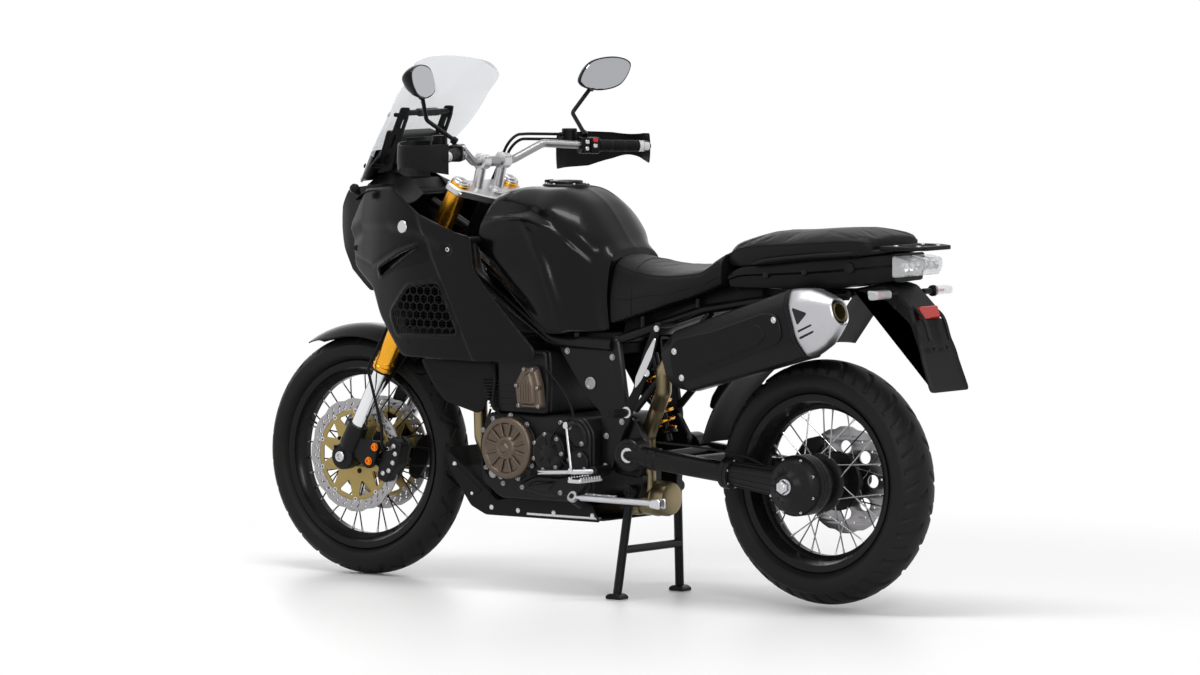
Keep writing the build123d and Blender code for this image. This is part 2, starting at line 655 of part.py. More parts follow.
with BuildPart() as front_calipers:
    for side in (-1, 1):
        low, high = sorted((side * 40.0, side * CALIPER_OUTER_Y))
        side_slab(
            [
                fork_axis_xz(CALIPER_HEIGHT - 62, CALIPER_BACK - 26),
                fork_axis_xz(CALIPER_HEIGHT - 66, CALIPER_BACK + 8),
                fork_axis_xz(CALIPER_HEIGHT - 30, CALIPER_BACK + 22),
                fork_axis_xz(CALIPER_HEIGHT + 34, CALIPER_BACK + 24),
                fork_axis_xz(CALIPER_HEIGHT + 66, CALIPER_BACK + 14),
                fork_axis_xz(CALIPER_HEIGHT + 60, CALIPER_BACK - 22),
                fork_axis_xz(CALIPER_HEIGHT, CALIPER_BACK - 34),
            ],
            low,
            high,
        )
    for side in (-1, 1):
        middle = side * (FRONT_DISC_Y + DISC_THICKNESS / 2)
        drum(FRONT_AXLE, middle - 4.5, middle + 4.5, FRONT_DISC_RADIUS + 5, mode=Mode.SUBTRACT)
    for side in (-1, 1):
        for height in (34, 78):
            start = fork_point(height, side * (FORK_HALF_SPREAD - 9 - 0.3), CALIPER_BACK + 40)
            rod(start, start - Vector(0, side * 14, 0), 8.0)
            low, high = sorted((side * (CALIPER_OUTER_Y - 14), side * (CALIPER_OUTER_Y - 4)))
            corners = [(height - 9, 10), (height + 9, 10), (height + 9, 44), (height - 9, 44)]
            side_slab([fork_axis_xz(along, CALIPER_BACK + ahead) for along, ahead in corners], low, high)
front_calipers.part.label = "front_calipers"
export_step(front_calipers.part, "parts/front_calipers.step")

# ---------------------------------------------------------------- frame
HEAD_LOW = 606.0
HEAD_HIGH = 822.0
SPAR_RADIUS = 18.0
SPAR_Y = 118.0

STAND_PIVOT = Vector(-176, 0, 286)
STAND_PIN_RADIUS = 7.0
SHOCK_TOP = Vector(-150, 0, 655)
SHOCK_FOOT = Vector(-206, 0, 408)
SHOCK_Y = -25.0

SIDE_PLATE = [
    (-186, 470),
    (-120, 330),
    (-90.3, 330),
    (-90.3, 490),
    (-40, 530),
    (8, 600),
    (50, 655),
    (44, 690),
    (-150, 690),
]

with BuildPart() as main_frame:
    rod(fork_point(HEAD_LOW, 0, -FORK_OFFSET), fork_point(HEAD_HIGH, 0, -FORK_OFFSET), HEAD_TUBE_RADIUS)
    for side in (-1, 1):
        spar = [
            fork_point(700, side * 14, -FORK_OFFSET - 12),
            Vector(330, side * 108, 838),
            Vector(70, side * SPAR_Y, 676),
            Vector(-130, side * SPAR_Y, 672),
        ]
        tube_path(spar, 40, SPAR_RADIUS)
        low, high = sorted((side * 104.0, side * 124.0))
        side_slab(SIDE_PLATE, low, high)
        low, high = sorted((side * 84.0, side * 106.5))
        side_slab([(-228, 360), (-200, 320), (-120, 330), (-120, 500), (-190, 480), (-228, 420)], low, high)
        low, high = sorted((side * 64.0, side * 90.0))
        side_slab([(-206, 330), (-150, 330), (-150, 286), (-162, 264), (-190, 264), (-202, 286)], low, high)
        low, high = sorted((side * 64.0, side * 119.0))
        drum(STAND_PIVOT, low, high, STAND_PIN_RADIUS)
        rod(fork_point(652, side * 12, -FORK_OFFSET - 14), (326, side * 96, 560), 13.0)
        rod((200, side * 111, 760), (200, side * 111, 800.9), 10.0)
        rod((-10, side * SPAR_Y, 676), (-10, side * SPAR_Y, 701.7), 10.0)
    drum(SHOCK_TOP + Vector(10, 0, 30), -118, 118, 12.0)
    rod(fork_point(720, 0, HEAD_TUBE_RADIUS - FORK_OFFSET - 4), fork_point(720, 0, 134.3), 13.0)
    for low in (SHOCK_Y - 30, SHOCK_Y + 22):
        side_slab([(-160, 690), (-130, 690), (-136, 640), (-164, 640)], low, low + 8)
    rod(
        fork_point(HEAD_LOW - 20, 0, -FORK_OFFSET),
        fork_point(HEAD_HIGH + 20, 0, -FORK_OFFSET),
        STEM_RADIUS + SEAT_GAP,
        mode=Mode.SUBTRACT,
    )
main_frame.part.label = "main_frame"
export_step(main_frame.part, "parts/main_frame.step")

with BuildPart() as brake_hoses:
    for rise, hose_y, side in ((BANJO_RISES[0], HOSE_OUTER_Y, -1), (BANJO_RISES[1], HOSE_INNER_Y, 1)):
        route = [
            grip_point(BANJO_END, -1, 52, rise),
            grip_point(BANJO_END - 92, -1, 52, rise),
            fork_point(946 + rise, -hose_y, HOSE_AHEAD),
        ]
        if side > 0:
            route += [fork_point(505, -hose_y, HOSE_AHEAD), fork_point(415, FORK_HALF_SPREAD - 9, HOSE_AHEAD)]
        else:
            route += [fork_point(350, -hose_y, HOSE_AHEAD)]
        route += [
            fork_point(270, side * (FORK_HALF_SPREAD + 41), 18),
            fork_point(150, side * (FORK_HALF_SPREAD + 41), CALIPER_BACK + 20),
            fork_point(96, side * (FORK_HALF_SPREAD + 33), CALIPER_BACK),
            fork_point(96, side * CALIPER_OUTER_Y, CALIPER_BACK),
        ]
        tube_path(route, [HOSE_BEND] * (len(route) - 3) + [HOSE_END_BEND], HOSE_RADIUS)
brake_hoses.part.label = "brake_hoses"
export_step(brake_hoses.part, "parts/brake_hoses.step")

# ---------------------------------------------------------------- engine
GENERATOR = Vector(176, 0, 388)
GEAR_COVER = Vector(36, 0, 384)
CASE_BOTTOM = 250.0

SIDE_PIVOT = Vector(-42, 180, 268)
SIDE_STOWED = Vector(-1, 0.08, 0).normalized()  # the side stand's leg as it lies folded
SIDE_DOWN = Vector(0.55, 0.367, -0.75).normalized()
SIDE_AXIS = SIDE_DOWN.cross(SIDE_STOWED).normalized()
SIDE_PIN_RADIUS = 7.0
SIDE_LUG = 6.0  # the lug's face, this far inside the pivot along its axis

CASE_SIDE = [
    (-90, 282),
    (-64, CASE_BOTTOM),
    (216, CASE_BOTTOM),
    (280, 292),
    (288, 400),
    (262, 478),
    (-60, 478),
    (-90, 440),
]

with BuildPart() as engine_case:
    side_slab(
        CASE_SIDE,
        -ENGINE_HALF_WIDTH,
        ENGINE_HALF_WIDTH,
        corner=12,
    )
    rod(SIDE_PIVOT - SIDE_AXIS * 40, SIDE_PIVOT - SIDE_AXIS * SIDE_LUG, 16.0)
    rod(SIDE_PIVOT - SIDE_AXIS * 12, SIDE_PIVOT + SIDE_AXIS * 9, SIDE_PIN_RADIUS)
    drum(GENERATOR, ENGINE_HALF_WIDTH - 5, ENGINE_HALF_WIDTH + 8, 88.0)
    drum(GEAR_COVER, ENGINE_HALF_WIDTH - 5, ENGINE_HALF_WIDTH + 22, 53.0)
    drum(GEAR_COVER + Vector(-84, 0, -30), ENGINE_HALF_WIDTH - 5, ENGINE_HALF_WIDTH + 8, 38.0)
    drum(GENERATOR + Vector(-40, 0, 0), -ENGINE_HALF_WIDTH - 34, 5 - ENGINE_HALF_WIDTH, 96.0)
    drum(GENERATOR + Vector(-180, 0, -16), -ENGINE_HALF_WIDTH - 16, 5 - ENGINE_HALF_WIDTH, 54.0)
engine_case.part.label = "engine_case"
export_step(engine_case.part, "parts/engine_case.step")

with BuildPart() as engine_covers:
    low = ENGINE_HALF_WIDTH + 8
    drum(GENERATOR, low, low + 26, 84.0)
    fillet(engine_covers.faces().sort_by(Axis.Y)[-1].edges(), radius=14)
    drum(GENERATOR, low + 20, low + 30, 17.0)
    with BuildSketch(side_plane(low + 30).shift_origin((GENERATOR.X, low + 30, GENERATOR.Z))) as ribs:
        with PolarLocations(44, 12):
            Rectangle(42, 4)
    extrude(ribs.sketch, amount=8)
    side_slab([(60, 492), (150, 492), (160, 560), (130, 612), (84, 612), (66, 560)], 158.3, 182, corner=6)
    side_slab([(78, 500), (136, 500), (142, 556), (118, 596), (92, 596), (80, 556)], 175, 190, corner=5)
engine_covers.part.label = "engine_covers"
export_step(engine_covers.part, "parts/engine_covers.step")

with BuildPart() as cylinder_head:
    side_slab([(62, 478.4), (262, 478.4), (300, 560), (310, 640), (66, 650), (58, 560)], -158, 158, corner=8)
    for low, high in ((-160.0, -140.0), (140.0, 160.0)):
        side_slab([(228, 470), (330, 470), (330, 660), (228, 660)], low, high, mode=Mode.SUBTRACT)
    side_slab([(60, 600), (300, 590), (296, 668), (80, 676)], -92, 92, corner=8)
cylinder_head.part.label = "cylinder_head"
export_step(cylinder_head.part, "parts/cylinder_head.step")

PLATE_WALL = 4.0
SKID_SIDE = [
    (432, 372),
    (414, 316),
    (342, 220),
    (290, 198),
    (-96, 198),
    (-64, 249.7),
    (206, 249.7),
    (250, 240),
    (330, 300),
]

with BuildPart() as skid_plate:
    keel = [(428, 372), (412, 318), (340, 222), (290, 202), (-96, 202), (-118, 205)]
    with BuildLine() as track:
        FilletPolyline(*keel, radius=18)
        offset(amount=PLATE_WALL, side=Side.RIGHT)
    with BuildSketch(side_plane(128)) as band:
        make_face(track.edges())
    extrude(band.sketch, amount=256)
    for low, high in ((-132.0, -128.0), (128.0, 132.0)):
        side_slab(SKID_SIDE, low, high)
skid_plate.part.label = "skid_plate"
export_step(skid_plate.part, "parts/skid_plate.step")

# ---------------------------------------------------------------- exhaust
MUFFLER_FRONT = Vector(-372, 178, 632)
MUFFLER_REAR = Vector(-806, 190, 762)
MUFFLER_AXIS = (MUFFLER_REAR - MUFFLER_FRONT).normalized()


def muffler_plane(distance):
    """Plane square to the silencer at a distance from its front end: x is +Y, y is upwards."""
    return Plane(origin=MUFFLER_FRONT + MUFFLER_AXIS * distance, x_dir=(0, 1, 0), z_dir=MUFFLER_AXIS * -1)


def muffler_section(plane, half_width, half_height):
    """Eight-sided section of the silencer with a flat outer face."""
    with BuildSketch(plane) as section:
        with BuildLine():
            Polyline(
                (-half_width * 0.55, -half_height),
                (half_width * 0.45, -half_height),
                (half_width, -half_height * 0.45),
                (half_width, half_height * 0.55),
                (half_width * 0.5, half_height),
                (-half_width * 0.55, half_height),
                (-half_width, half_height * 0.5),
                (-half_width, -half_height * 0.5),
                close=True,
            )
        make_face()
        fillet(section.vertices(), radius=10)
    return section.sketch


MUFFLER_LENGTH = (MUFFLER_REAR - MUFFLER_FRONT).length

with BuildPart() as muffler:
    loft(
        [
            muffler_section(muffler_plane(0), 46, 62),
            muffler_section(muffler_plane(50), 58, 84),
            muffler_section(muffler_plane(MUFFLER_LENGTH), 60, 94),
        ],
        ruled=True,
    )
muffler.part.label = "muffler"
export_step(muffler.part, "parts/muffler.step")

CAP_LENGTH = 118.0

with BuildPart() as muffler_cap:
    loft(
        [
            muffler_section(muffler_plane(MUFFLER_LENGTH + SEAT_GAP), 57, 91),
            muffler_section(muffler_plane(MUFFLER_LENGTH + 60), 50, 76),
            muffler_section(muffler_plane(MUFFLER_LENGTH + CAP_LENGTH), 34, 36),
        ],
        ruled=True,
    )
    outlet = MUFFLER_FRONT + MUFFLER_AXIS * (MUFFLER_LENGTH + CAP_LENGTH)
    rod(outlet - MUFFLER_AXIS * 70, outlet + MUFFLER_AXIS * 6, 25.0, mode=Mode.SUBTRACT)
muffler_cap.part.label = "muffler_cap"
export_step(muffler_cap.part, "parts/muffler_cap.step")

with BuildPart() as exhaust_pipes:
    for side in (-1, 1):
        tube_path(
            [
                (304.9, side * 48, 596),
                (352, side * 48, 590),
                (376, side * 47, 540),
                (372, side * 46, 400),
                (312, side * 40, 244),
                (210, side * 36, 226.5),
                (0, side * 24, 227),
                (-152, side * 21, 234),
            ],
            30,
            19.0,
        )
    rod((-150, 10, 262), (-250, 14, 262), 47.0)
    tube_path(
        [
            (-186, 38, 280),
            (-186, 40, 430),
            (-238, 62, 516),
            (-312, 138, 560),
            MUFFLER_FRONT + MUFFLER_AXIS * -34,
            MUFFLER_FRONT + MUFFLER_AXIS * -0.4,
        ],
        [40, 40, 40, 12],
        21.0,
    )
exhaust_pipes.part.label = "exhaust_pipes"
export_step(exhaust_pipes.part, "parts/exhaust_pipes.step")

# ---------------------------------------------------------------- rear suspension and drive
ARM_Y = 135.0
DRIVE = (REAR_AXLE - PIVOT).normalized()  # along the shaft, rearwards
ARM_LENGTH = (REAR_AXLE - PIVOT).length
SHAFT_FLANGE = 325.0  # pivot to the bolted flange
ARM_RADIUS = 28.0
BOSS_RADIUS = 44.0
HOUSING_RADIUS = 80.0


def arm_point(distance, y):
    """A point on the line from the swingarm pivot to the rear axle."""
    return PIVOT + DRIVE * distance + Vector(0, y, 0)


RIGHT_ARM = [
    (-205, 412),
    (-205, 356),
    (-620, 318),
    (-744, 300),
    (-782, 320),
    (-782, 346),
    (-744, 366),
    (-620, 368),
]
SHOCK_LUG = [(-272, 372), (-266, 394), (-216, 424), (-192, 424), (-196, 398), (-256, 364)]

with BuildPart() as swingarm:
    for side in (-1, 1):
        low, high = sorted((side * 106.8, side * 160.0))
        drum(PIVOT, low, high, BOSS_RADIUS)
    rod(arm_point(0, ARM_Y), arm_point(SHAFT_FLANGE - 6, ARM_Y), ARM_RADIUS)
    rod(arm_point(SHAFT_FLANGE - 14, ARM_Y), arm_point(SHAFT_FLANGE, ARM_Y), 42.0)
    rod(arm_point(62, -ARM_Y), arm_point(62, ARM_Y), 18.0)
    rod(arm_point(170, -ARM_Y), arm_point(170, ARM_Y), 20.0)
    for low in (SHOCK_Y - 30, SHOCK_Y + 22):
        side_slab(SHOCK_LUG, low, low + 8)
    side_slab(RIGHT_ARM, -150, -122)
    drum(REAR_AXLE, -160, -112, REAR_AXLE_RADIUS + SEAT_GAP, mode=Mode.SUBTRACT)
swingarm.part.label = "swingarm"
export_step(swingarm.part, "parts/swingarm.step")

with BuildPart() as final_drive:
    with BuildSketch(wheel_plane(REAR_AXLE)) as half:
        with BuildLine():
            Polyline(
                (HUB_DRIVE_Y + 4, REAR_AXLE_RADIUS + SEAT_GAP),
                (HUB_DRIVE_Y + 4, 70),
                (HUB_DRIVE_Y + 12, HOUSING_RADIUS),
                (152, HOUSING_RADIUS),
                (170, 66),
                (180, 42),
                (194, 30),
                (194, REAR_AXLE_RADIUS + SEAT_GAP),
                close=True,
            )
        make_face()
    revolve(half.sketch, axis=axle_axis(REAR_AXLE))
    cone_length = ARM_LENGTH - SHAFT_FLANGE - 52
    with BuildSketch(Plane(origin=arm_point(SHAFT_FLANGE, ARM_Y), x_dir=(0, 1, 0), z_dir=DRIVE)) as narrow:
        Circle(31)
        with PolarLocations(31, 14):
            Rectangle(9, 4)
    wide_end = arm_point(SHAFT_FLANGE + cone_length, ARM_Y)
    with BuildSketch(Plane(origin=wide_end, x_dir=(0, 1, 0), z_dir=DRIVE)) as wide:
        Circle(39)
        with PolarLocations(39, 14):
            Rectangle(9, 4)
    loft([narrow.sketch, wide.sketch], ruled=True)
    rod(arm_point(SHAFT_FLANGE, ARM_Y), arm_point(SHAFT_FLANGE + 12, ARM_Y), 42.0)
    drum(REAR_AXLE, 80, 200, REAR_AXLE_RADIUS + SEAT_GAP, mode=Mode.SUBTRACT)
final_drive.part.label = "final_drive"
export_step(final_drive.part, "parts/final_drive.step")

with BuildPart() as rear_axle:
    drum(REAR_AXLE, -158, 200, REAR_AXLE_RADIUS)
    rod(REAR_AXLE + Vector(0, 194.3, 0), REAR_AXLE + Vector(0, 210, 0), 19.0, sides=6)
    drum(REAR_AXLE, -160, -150.3, 19.0)
    drum(REAR_AXLE, -121.7, -REAR_DISC_Y - DISC_THICKNESS - 0.6, 18.0)
rear_axle.part.label = "rear_axle"
export_step(rear_axle.part, "parts/rear_axle.step")

with BuildPart() as rear_caliper:
    centre = REAR_AXLE + Vector(112, 0, 62)
    body = [(-52, 24), (-40, 52), (10, 40), (44, -6), (16, -30), (-16, -8)]
    side_slab([(centre.X + x, centre.Z + z) for x, z in body], -121.7, -62)
    slot_low = -REAR_DISC_Y - DISC_THICKNESS - 2.5
    drum(REAR_AXLE, slot_low, 2.5 - REAR_DISC_Y, REAR_DISC_RADIUS + 5, mode=Mode.SUBTRACT)
rear_caliper.part.label = "rear_caliper"
export_step(rear_caliper.part, "parts/rear_caliper.step")

with BuildPart() as rear_shock:
    shock_line = Vector(0, SHOCK_Y, 0)
    rod(SHOCK_FOOT + shock_line, SHOCK_TOP + shock_line, 17.0)
    rod(SHOCK_FOOT + shock_line + Vector(7, 0, 34), SHOCK_TOP + shock_line - Vector(9, 0, 42), 30.0)
    drum(SHOCK_FOOT, SHOCK_Y - 21.7, SHOCK_Y + 21.7, 13.0)
    drum(SHOCK_TOP, SHOCK_Y - 21.7, SHOCK_Y + 21.7, 13.0)
rear_shock.part.label = "rear_shock"
export_step(rear_shock.part, "parts/rear_shock.step")

# ---------------------------------------------------------------- tank, cowls and seats
TANK_HALF_WIDTH = 190.0


def body_section(x, points):
    """Closed section square to the bike: a smooth half ring, its mirror image and a flat bottom."""
    (last_y, last_z), (previous_y, previous_z) = points[-1], points[-2]
    fall = (last_y - previous_y, last_z - previous_z)
    with BuildSketch(cross_plane(x)) as section:
        with BuildLine():
            half = Spline(*points, tangents=[(1, 0), fall])
            mirror(half, about=Plane.YZ)
            Line((last_y, last_z), (-last_y, last_z))
        make_face()
    return section.sketch


CAP_X = 118.0
TANK_TOP = 1083.0
CAP_LOW = TANK_TOP + 5.3
CAP_HINGE = Vector(CAP_X + 58, 0, TANK_TOP + 10)
CAP_PIN_RADIUS = 2.0
COWL_STUB = Vector(274, 0, 940)  # where a side cowl meets the tank
COWL_STUB_RADIUS = 9.0
COWL_STUB_Y = 181.0
TANK_SECTIONS = [
    (284, [(0, 1060), (84, 1054), (160, 988), (178, 934), (168, 905), (150, 880)]),
    (200, [(0, 1082), (96, 1072), (174, 985), (TANK_HALF_WIDTH, 905), (180, 855), (160, 822)]),
    (130, [(0, 1085), (98, 1074), (176, 995), (TANK_HALF_WIDTH, 900), (182, 820), (164, 762)]),
    (60, [(0, 1083), (98, 1071), (176, 998), (TANK_HALF_WIDTH - 2, 885), (178, 780), (160, 702)]),
    (0, [(0, 1056), (90, 1043), (164, 980), (174, 868), (165, 770), (148, 702)]),
    (-40, [(0, 1018), (84, 1004), (148, 952), (156, 850), (146, 765), (130, 702)]),
    (-112, [(0, 926), (70, 918), (108, 890), (124, 810), (120, 755), (112, 712)]),
]

with BuildPart() as fuel_tank:
    loft([body_section(x, ring) for x, ring in TANK_SECTIONS])
    side_slab([(400, 900), (60, 740), (40, 690), (40, 600), (400, 600)], -142, 142, mode=Mode.SUBTRACT)
    side_slab([(290, 930), (60, 900), (-200, 760), (-200, 600), (290, 600)], -90, 90, mode=Mode.SUBTRACT)
    side_slab([(70, 702), (-130, 702), (-130, 600), (70, 600)], -142, 142, mode=Mode.SUBTRACT)
    for low, high in ((-COWL_STUB_Y - 40, -COWL_STUB_Y), (COWL_STUB_Y, COWL_STUB_Y + 40)):
        drum(COWL_STUB, low, high, COWL_STUB_RADIUS + 2, mode=Mode.SUBTRACT)
    with BuildSketch(Plane.XY.offset(TANK_TOP - 8)) as neck:
        with Locations((CAP_X, 0)):
            Circle(62)
    extrude(neck.sketch, amount=13)
    with BuildSketch(Plane.XY.offset(TANK_TOP + 5)) as flat_round_cap:
        with Locations((CAP_X, 0)):
            Circle(72)
    extrude(flat_round_cap.sketch, amount=30, mode=Mode.SUBTRACT)
    with BuildSketch(Plane.XY.offset(TANK_TOP + 10)) as mouth:
        with Locations((CAP_X, 0)):
            Circle(28)
    extrude(mouth.sketch, amount=-60, mode=Mode.SUBTRACT)
    drum(CAP_HINGE, -15, 15, CAP_PIN_RADIUS)
    for low in (-15.0, 10.0):
        drum(CAP_HINGE, low, low + 5, 4.4)
        foot = [(-4.4, -8), (4.4, -8), (4.4, 0), (-4.4, 0)]
        side_slab([(CAP_HINGE.X + x, CAP_HINGE.Z + z) for x, z in foot], low, low + 5)
fuel_tank.part.label = "fuel_tank"
export_step(fuel_tank.part, "parts/fuel_tank.step")

with BuildPart() as fuel_cap:
    with BuildSketch(Plane.XY.offset(CAP_LOW)) as lid:
        with Locations((CAP_X, 0)):
            Circle(45)
    extrude(lid.sketch, amount=8)
    with BuildSketch(Plane.XY.offset(CAP_LOW)) as tongue:
        with Locations((CAP_X + 50, 0)):
            Rectangle(16, 18)
    extrude(tongue.sketch, amount=7)
    drum(CAP_HINGE, -9, 9, 4.4)
    drum(CAP_HINGE, -12, 12, CAP_PIN_RADIUS + RUNNING_GAP, mode=Mode.SUBTRACT)
fuel_cap.part.label = "fuel_cap"
export_step(fuel_cap.part, "parts/fuel_cap.step")

COWL_SIDE = [
    (700, 1062),
    (560, 1074),
    (452, 1010),
    (309, 958),
    (266, 950),
    (256, 862),
    (84, 652),
    (84, 627),
    (230, 618),
    (502, 622),
    (600, 726),
    (640, 800),
    (742, 850),
    (770, 960),
]
COWL_PLAN = [(776, 114), (690, 162), (590, 208), (470, 238), (320, 238), (200, 222), (80, 186)]
GRILLE = [(541, 735), (474, 808), (375, 823), (309, 689), (513, 683)]
GRILLE_FRAME = [(553, 731), (479, 817), (369, 832), (298, 682), (516, 674)]
SLIT = [(594, 833), (601, 854), (509, 896), (442, 920)]
LOWER_FAIRING = [(500, 612), (250, 612), (236, 560), (300, 470), (420, 500), (470, 560)]
CELL_PITCH = 25.0
CELL_RADIUS = 12.4


def cowl_band(outer_back, inset, thickness):
    """Add both upright bands that follow the cowl plan, set back and inwards by a thickness."""
    with BuildSketch(Plane.XY.offset(600)) as band:
        for side in (-1, 1):
            outer = [(x - outer_back, side * (y - inset)) for x, y in COWL_PLAN]
            inner = [(x - outer_back - 2.0, side * (y - inset - thickness)) for x, y in reversed(COWL_PLAN)]
            with BuildLine():
                Spline(*outer)
                Spline(*inner)
                Line(outer[0], inner[-1])
                Line(outer[-1], inner[0])
            make_face()
    extrude(band.sketch, amount=500)


with BuildPart() as side_cowls:
    cowl_band(0.0, 0.0, PANEL + 1)
    side_slab(COWL_SIDE, -300, 300, mode=Mode.INTERSECT)
    for hole in (GRILLE, SLIT):
        side_slab(hole, -300, 300, mode=Mode.SUBTRACT)
    for side in (-1, 1):
        low, high = sorted((side * 115.6, side * 133.0))
        drum(Vector(735, 0, 900), low, high, 8.0)
        low, high = sorted((side * (COWL_STUB_Y + SEAT_GAP), side * 232.0))
        drum(COWL_STUB, low, high, COWL_STUB_RADIUS)
        low, high = sorted((side * 140.0, side * 147.0))
        drum(Vector(252, 0, 560), low, high, 9.0)
        low, high = sorted((side * 146.0, side * 150.0))
        side_slab(LOWER_FAIRING, low, high)
side_cowls.part.label = "side_cowls"
export_step(side_cowls.part, "parts/side_cowls.step")

with BuildPart() as grilles:
    cowl_band(2.0, PANEL + 1 + SEAT_GAP, 2.0)
    side_slab(GRILLE_FRAME, -300, 300, mode=Mode.INTERSECT)
    with BuildSketch(side_plane(300)) as cells:
        row_rise = CELL_PITCH * sin(radians(60))
        for row in range(7):
            shift = CELL_PITCH / 2 if row % 2 else 0.0
            centres = [(318 + shift + CELL_PITCH * column, 692 + row_rise * row) for column in range(10)]
            with Locations(*centres):
                RegularPolygon(CELL_RADIUS, 6, rotation=30)
    extrude(cells.sketch, amount=600, mode=Mode.SUBTRACT)
grilles.part.label = "grilles"
export_step(grilles.part, "parts/grilles.step")

with BuildPart() as radiator:
    side_slab([(530, 690), (320, 700), (384, 818), (478, 806)], 168, 200)
    rod((386.1, 71.1, 700.0), (402, 170, 706), 7.0)
    rod((335, 125.8, 830.4), (392, 170, 806), 7.0)
radiator.part.label = "radiator"
export_step(radiator.part, "parts/radiator.step")

NOSE_PLAN = [(560, 136), (700, 122), (800, 96), (880, 54), (880, -54), (800, -96), (700, -122), (560, -136)]
NOSE_SIDE = [
    (706, 742),
    (765, 740),
    (812, 800),
    (868, 905),
    (872, 1012),
    (820, 1060),
    (640, 1078),
    (566, 1062),
    (625, 905),
]


def inside_nose_plan():
    """Keep only what lies inside the nose as seen from above, its front corners rounded."""
    with BuildSketch(Plane.XY.offset(700)) as plan:
        with BuildLine():
            Polyline(*NOSE_PLAN, close=True)
        make_face()
        fillet([corner for corner in plan.vertices() if corner.X > 650], radius=30)
    extrude(plan.sketch, amount=400, mode=Mode.INTERSECT)


with BuildPart() as nose_cowl:
    side_slab(NOSE_SIDE, -140, 140)
    inside_nose_plan()
    for low, high in ((-78.0, -8.0), (8.0, 78.0)):
        side_slab([(800, 900), (900, 900), (900, 1000), (800, 1000)], low, high, mode=Mode.SUBTRACT)
nose_cowl.part.label = "nose_cowl"
export_step(nose_cowl.part, "parts/nose_cowl.step")

with BuildPart() as headlights:
    for low, high in ((-77.7, -8.3), (8.3, 77.7)):
        side_slab([(800.3, 900.3), (862, 900.3), (866, 999.7), (800.3, 999.7)], low, high)
    inside_nose_plan()
headlights.part.label = "headlights"
export_step(headlights.part, "parts/headlights.step")

SCREEN_BOSSES = [(1122.0, 668.0), (1262.0, 600.0)]  # height and start of each pair
SCREEN_LEVELS = [
    (1084.0, 790.0, 110.0, 60.0),
    (1200.0, 716.0, 168.0, 88.0),
    (1320.0, 628.0, 205.0, 96.0),
    (SCREEN_TOP, 548.0, 190.0, 76.0),
]


def screen_section(level, nose, half_width, depth):
    """Horizontal section of the windscreen: an arc bowed forwards."""
    with BuildSketch(Plane.XY.offset(level)) as section:
        with BuildLine():
            edge = nose - depth
            inner = nose - SCREEN_THICKNESS
            ThreePointArc((edge, -half_width), (nose, 0), (edge, half_width))
            ThreePointArc((inner - depth, -half_width), (inner, 0), (inner - depth, half_width))
            Line((edge, -half_width), (inner - depth, -half_width))
            Line((edge, half_width), (inner - depth, half_width))
        make_face()
    return section.sketch


def screen_room(level, nose, half_width, depth):
    """Horizontal section of everything ahead of the windscreen's inner face."""
    face = nose - SCREEN_THICKNESS - SEAT_GAP
    with BuildSketch(Plane.XY.offset(level)) as section:
        with BuildLine():
            ThreePointArc((face - depth, -half_width), (face, 0), (face - depth, half_width))
            Polyline(
                (face - depth, half_width),
                (nose + 200, half_width),
                (nose + 200, -half_width),
                (face - depth, -half_width),
            )
        make_face()
    return section.sketch


with BuildPart() as windscreen:
    loft([screen_section(*level) for level in SCREEN_LEVELS])
    with BuildSketch(cross_plane(400)) as outline:
        with BuildLine():
            Spline((0, SCREEN_TOP), (-130, SCREEN_TOP - 18), (-202, 1350), (-190, 1240), (-104, 1076))
            Line((-104, 1076), (104, 1076))
            Spline((104, 1076), (190, 1240), (202, 1350), (130, SCREEN_TOP - 18), (0, SCREEN_TOP))
        make_face()
    extrude(outline.sketch, amount=500, mode=Mode.INTERSECT)
windscreen.part.label = "windscreen"
export_step(windscreen.part, "parts/windscreen.step")

SCREEN_STAY = [
    (690, 1100),
    (682, 1140),
    (640, 1210),
    (606, 1284),
    (578, 1284),
    (584, 1254),
    (618, 1180),
    (640, 1110),
]

with BuildPart() as instrument_panel:
    side_slab([(652, 1110), (600, 1140), (618, 1208), (662, 1226), (690, 1150)], -96, 96, corner=8)
    side_slab([(690, 1078.3), (640, 1078.3), (652, 1140), (680, 1140)], -70, 70)
    for side in (-1, 1):
        low, high = sorted((side * 92.0, side * 100.0))
        side_slab(SCREEN_STAY, low, high)
    drum(Vector(592, 0, 1268), -100, 100, 8.0)
    for side in (-1, 1):
        for level, start in SCREEN_BOSSES:
            rod((start, side * 96, level), (start + 120, side * 96, level), 6.0)
    loft([screen_room(*level) for level in SCREEN_LEVELS], mode=Mode.SUBTRACT)
instrument_panel.part.label = "instrument_panel"
export_step(instrument_panel.part, "parts/instrument_panel.step")

with BuildPart() as rider_seat:
    loft(
        [
            body_section(-112.6, [(0, 912), (60, 908), (98, 880), (118, 780), (116, 722)]),
            body_section(-200, [(0, 892), (84, 888), (118, 862), (140, 790), (140, 748)]),
            body_section(-330, [(0, 884), (112, 880), (150, 858), (158, 812), (152, 786)]),
            body_section(-440, [(0, 896), (122, 892), (158, 872), (160, 838), (152, 820)]),
            body_section(-505, [(0, 940), (112, 934), (146, 912), (152, 866), (146, 846)]),
        ],
        ruled=True,
    )
rider_seat.part.label = "rider_seat"
export_step(rider_seat.part, "parts/rider_seat.step")

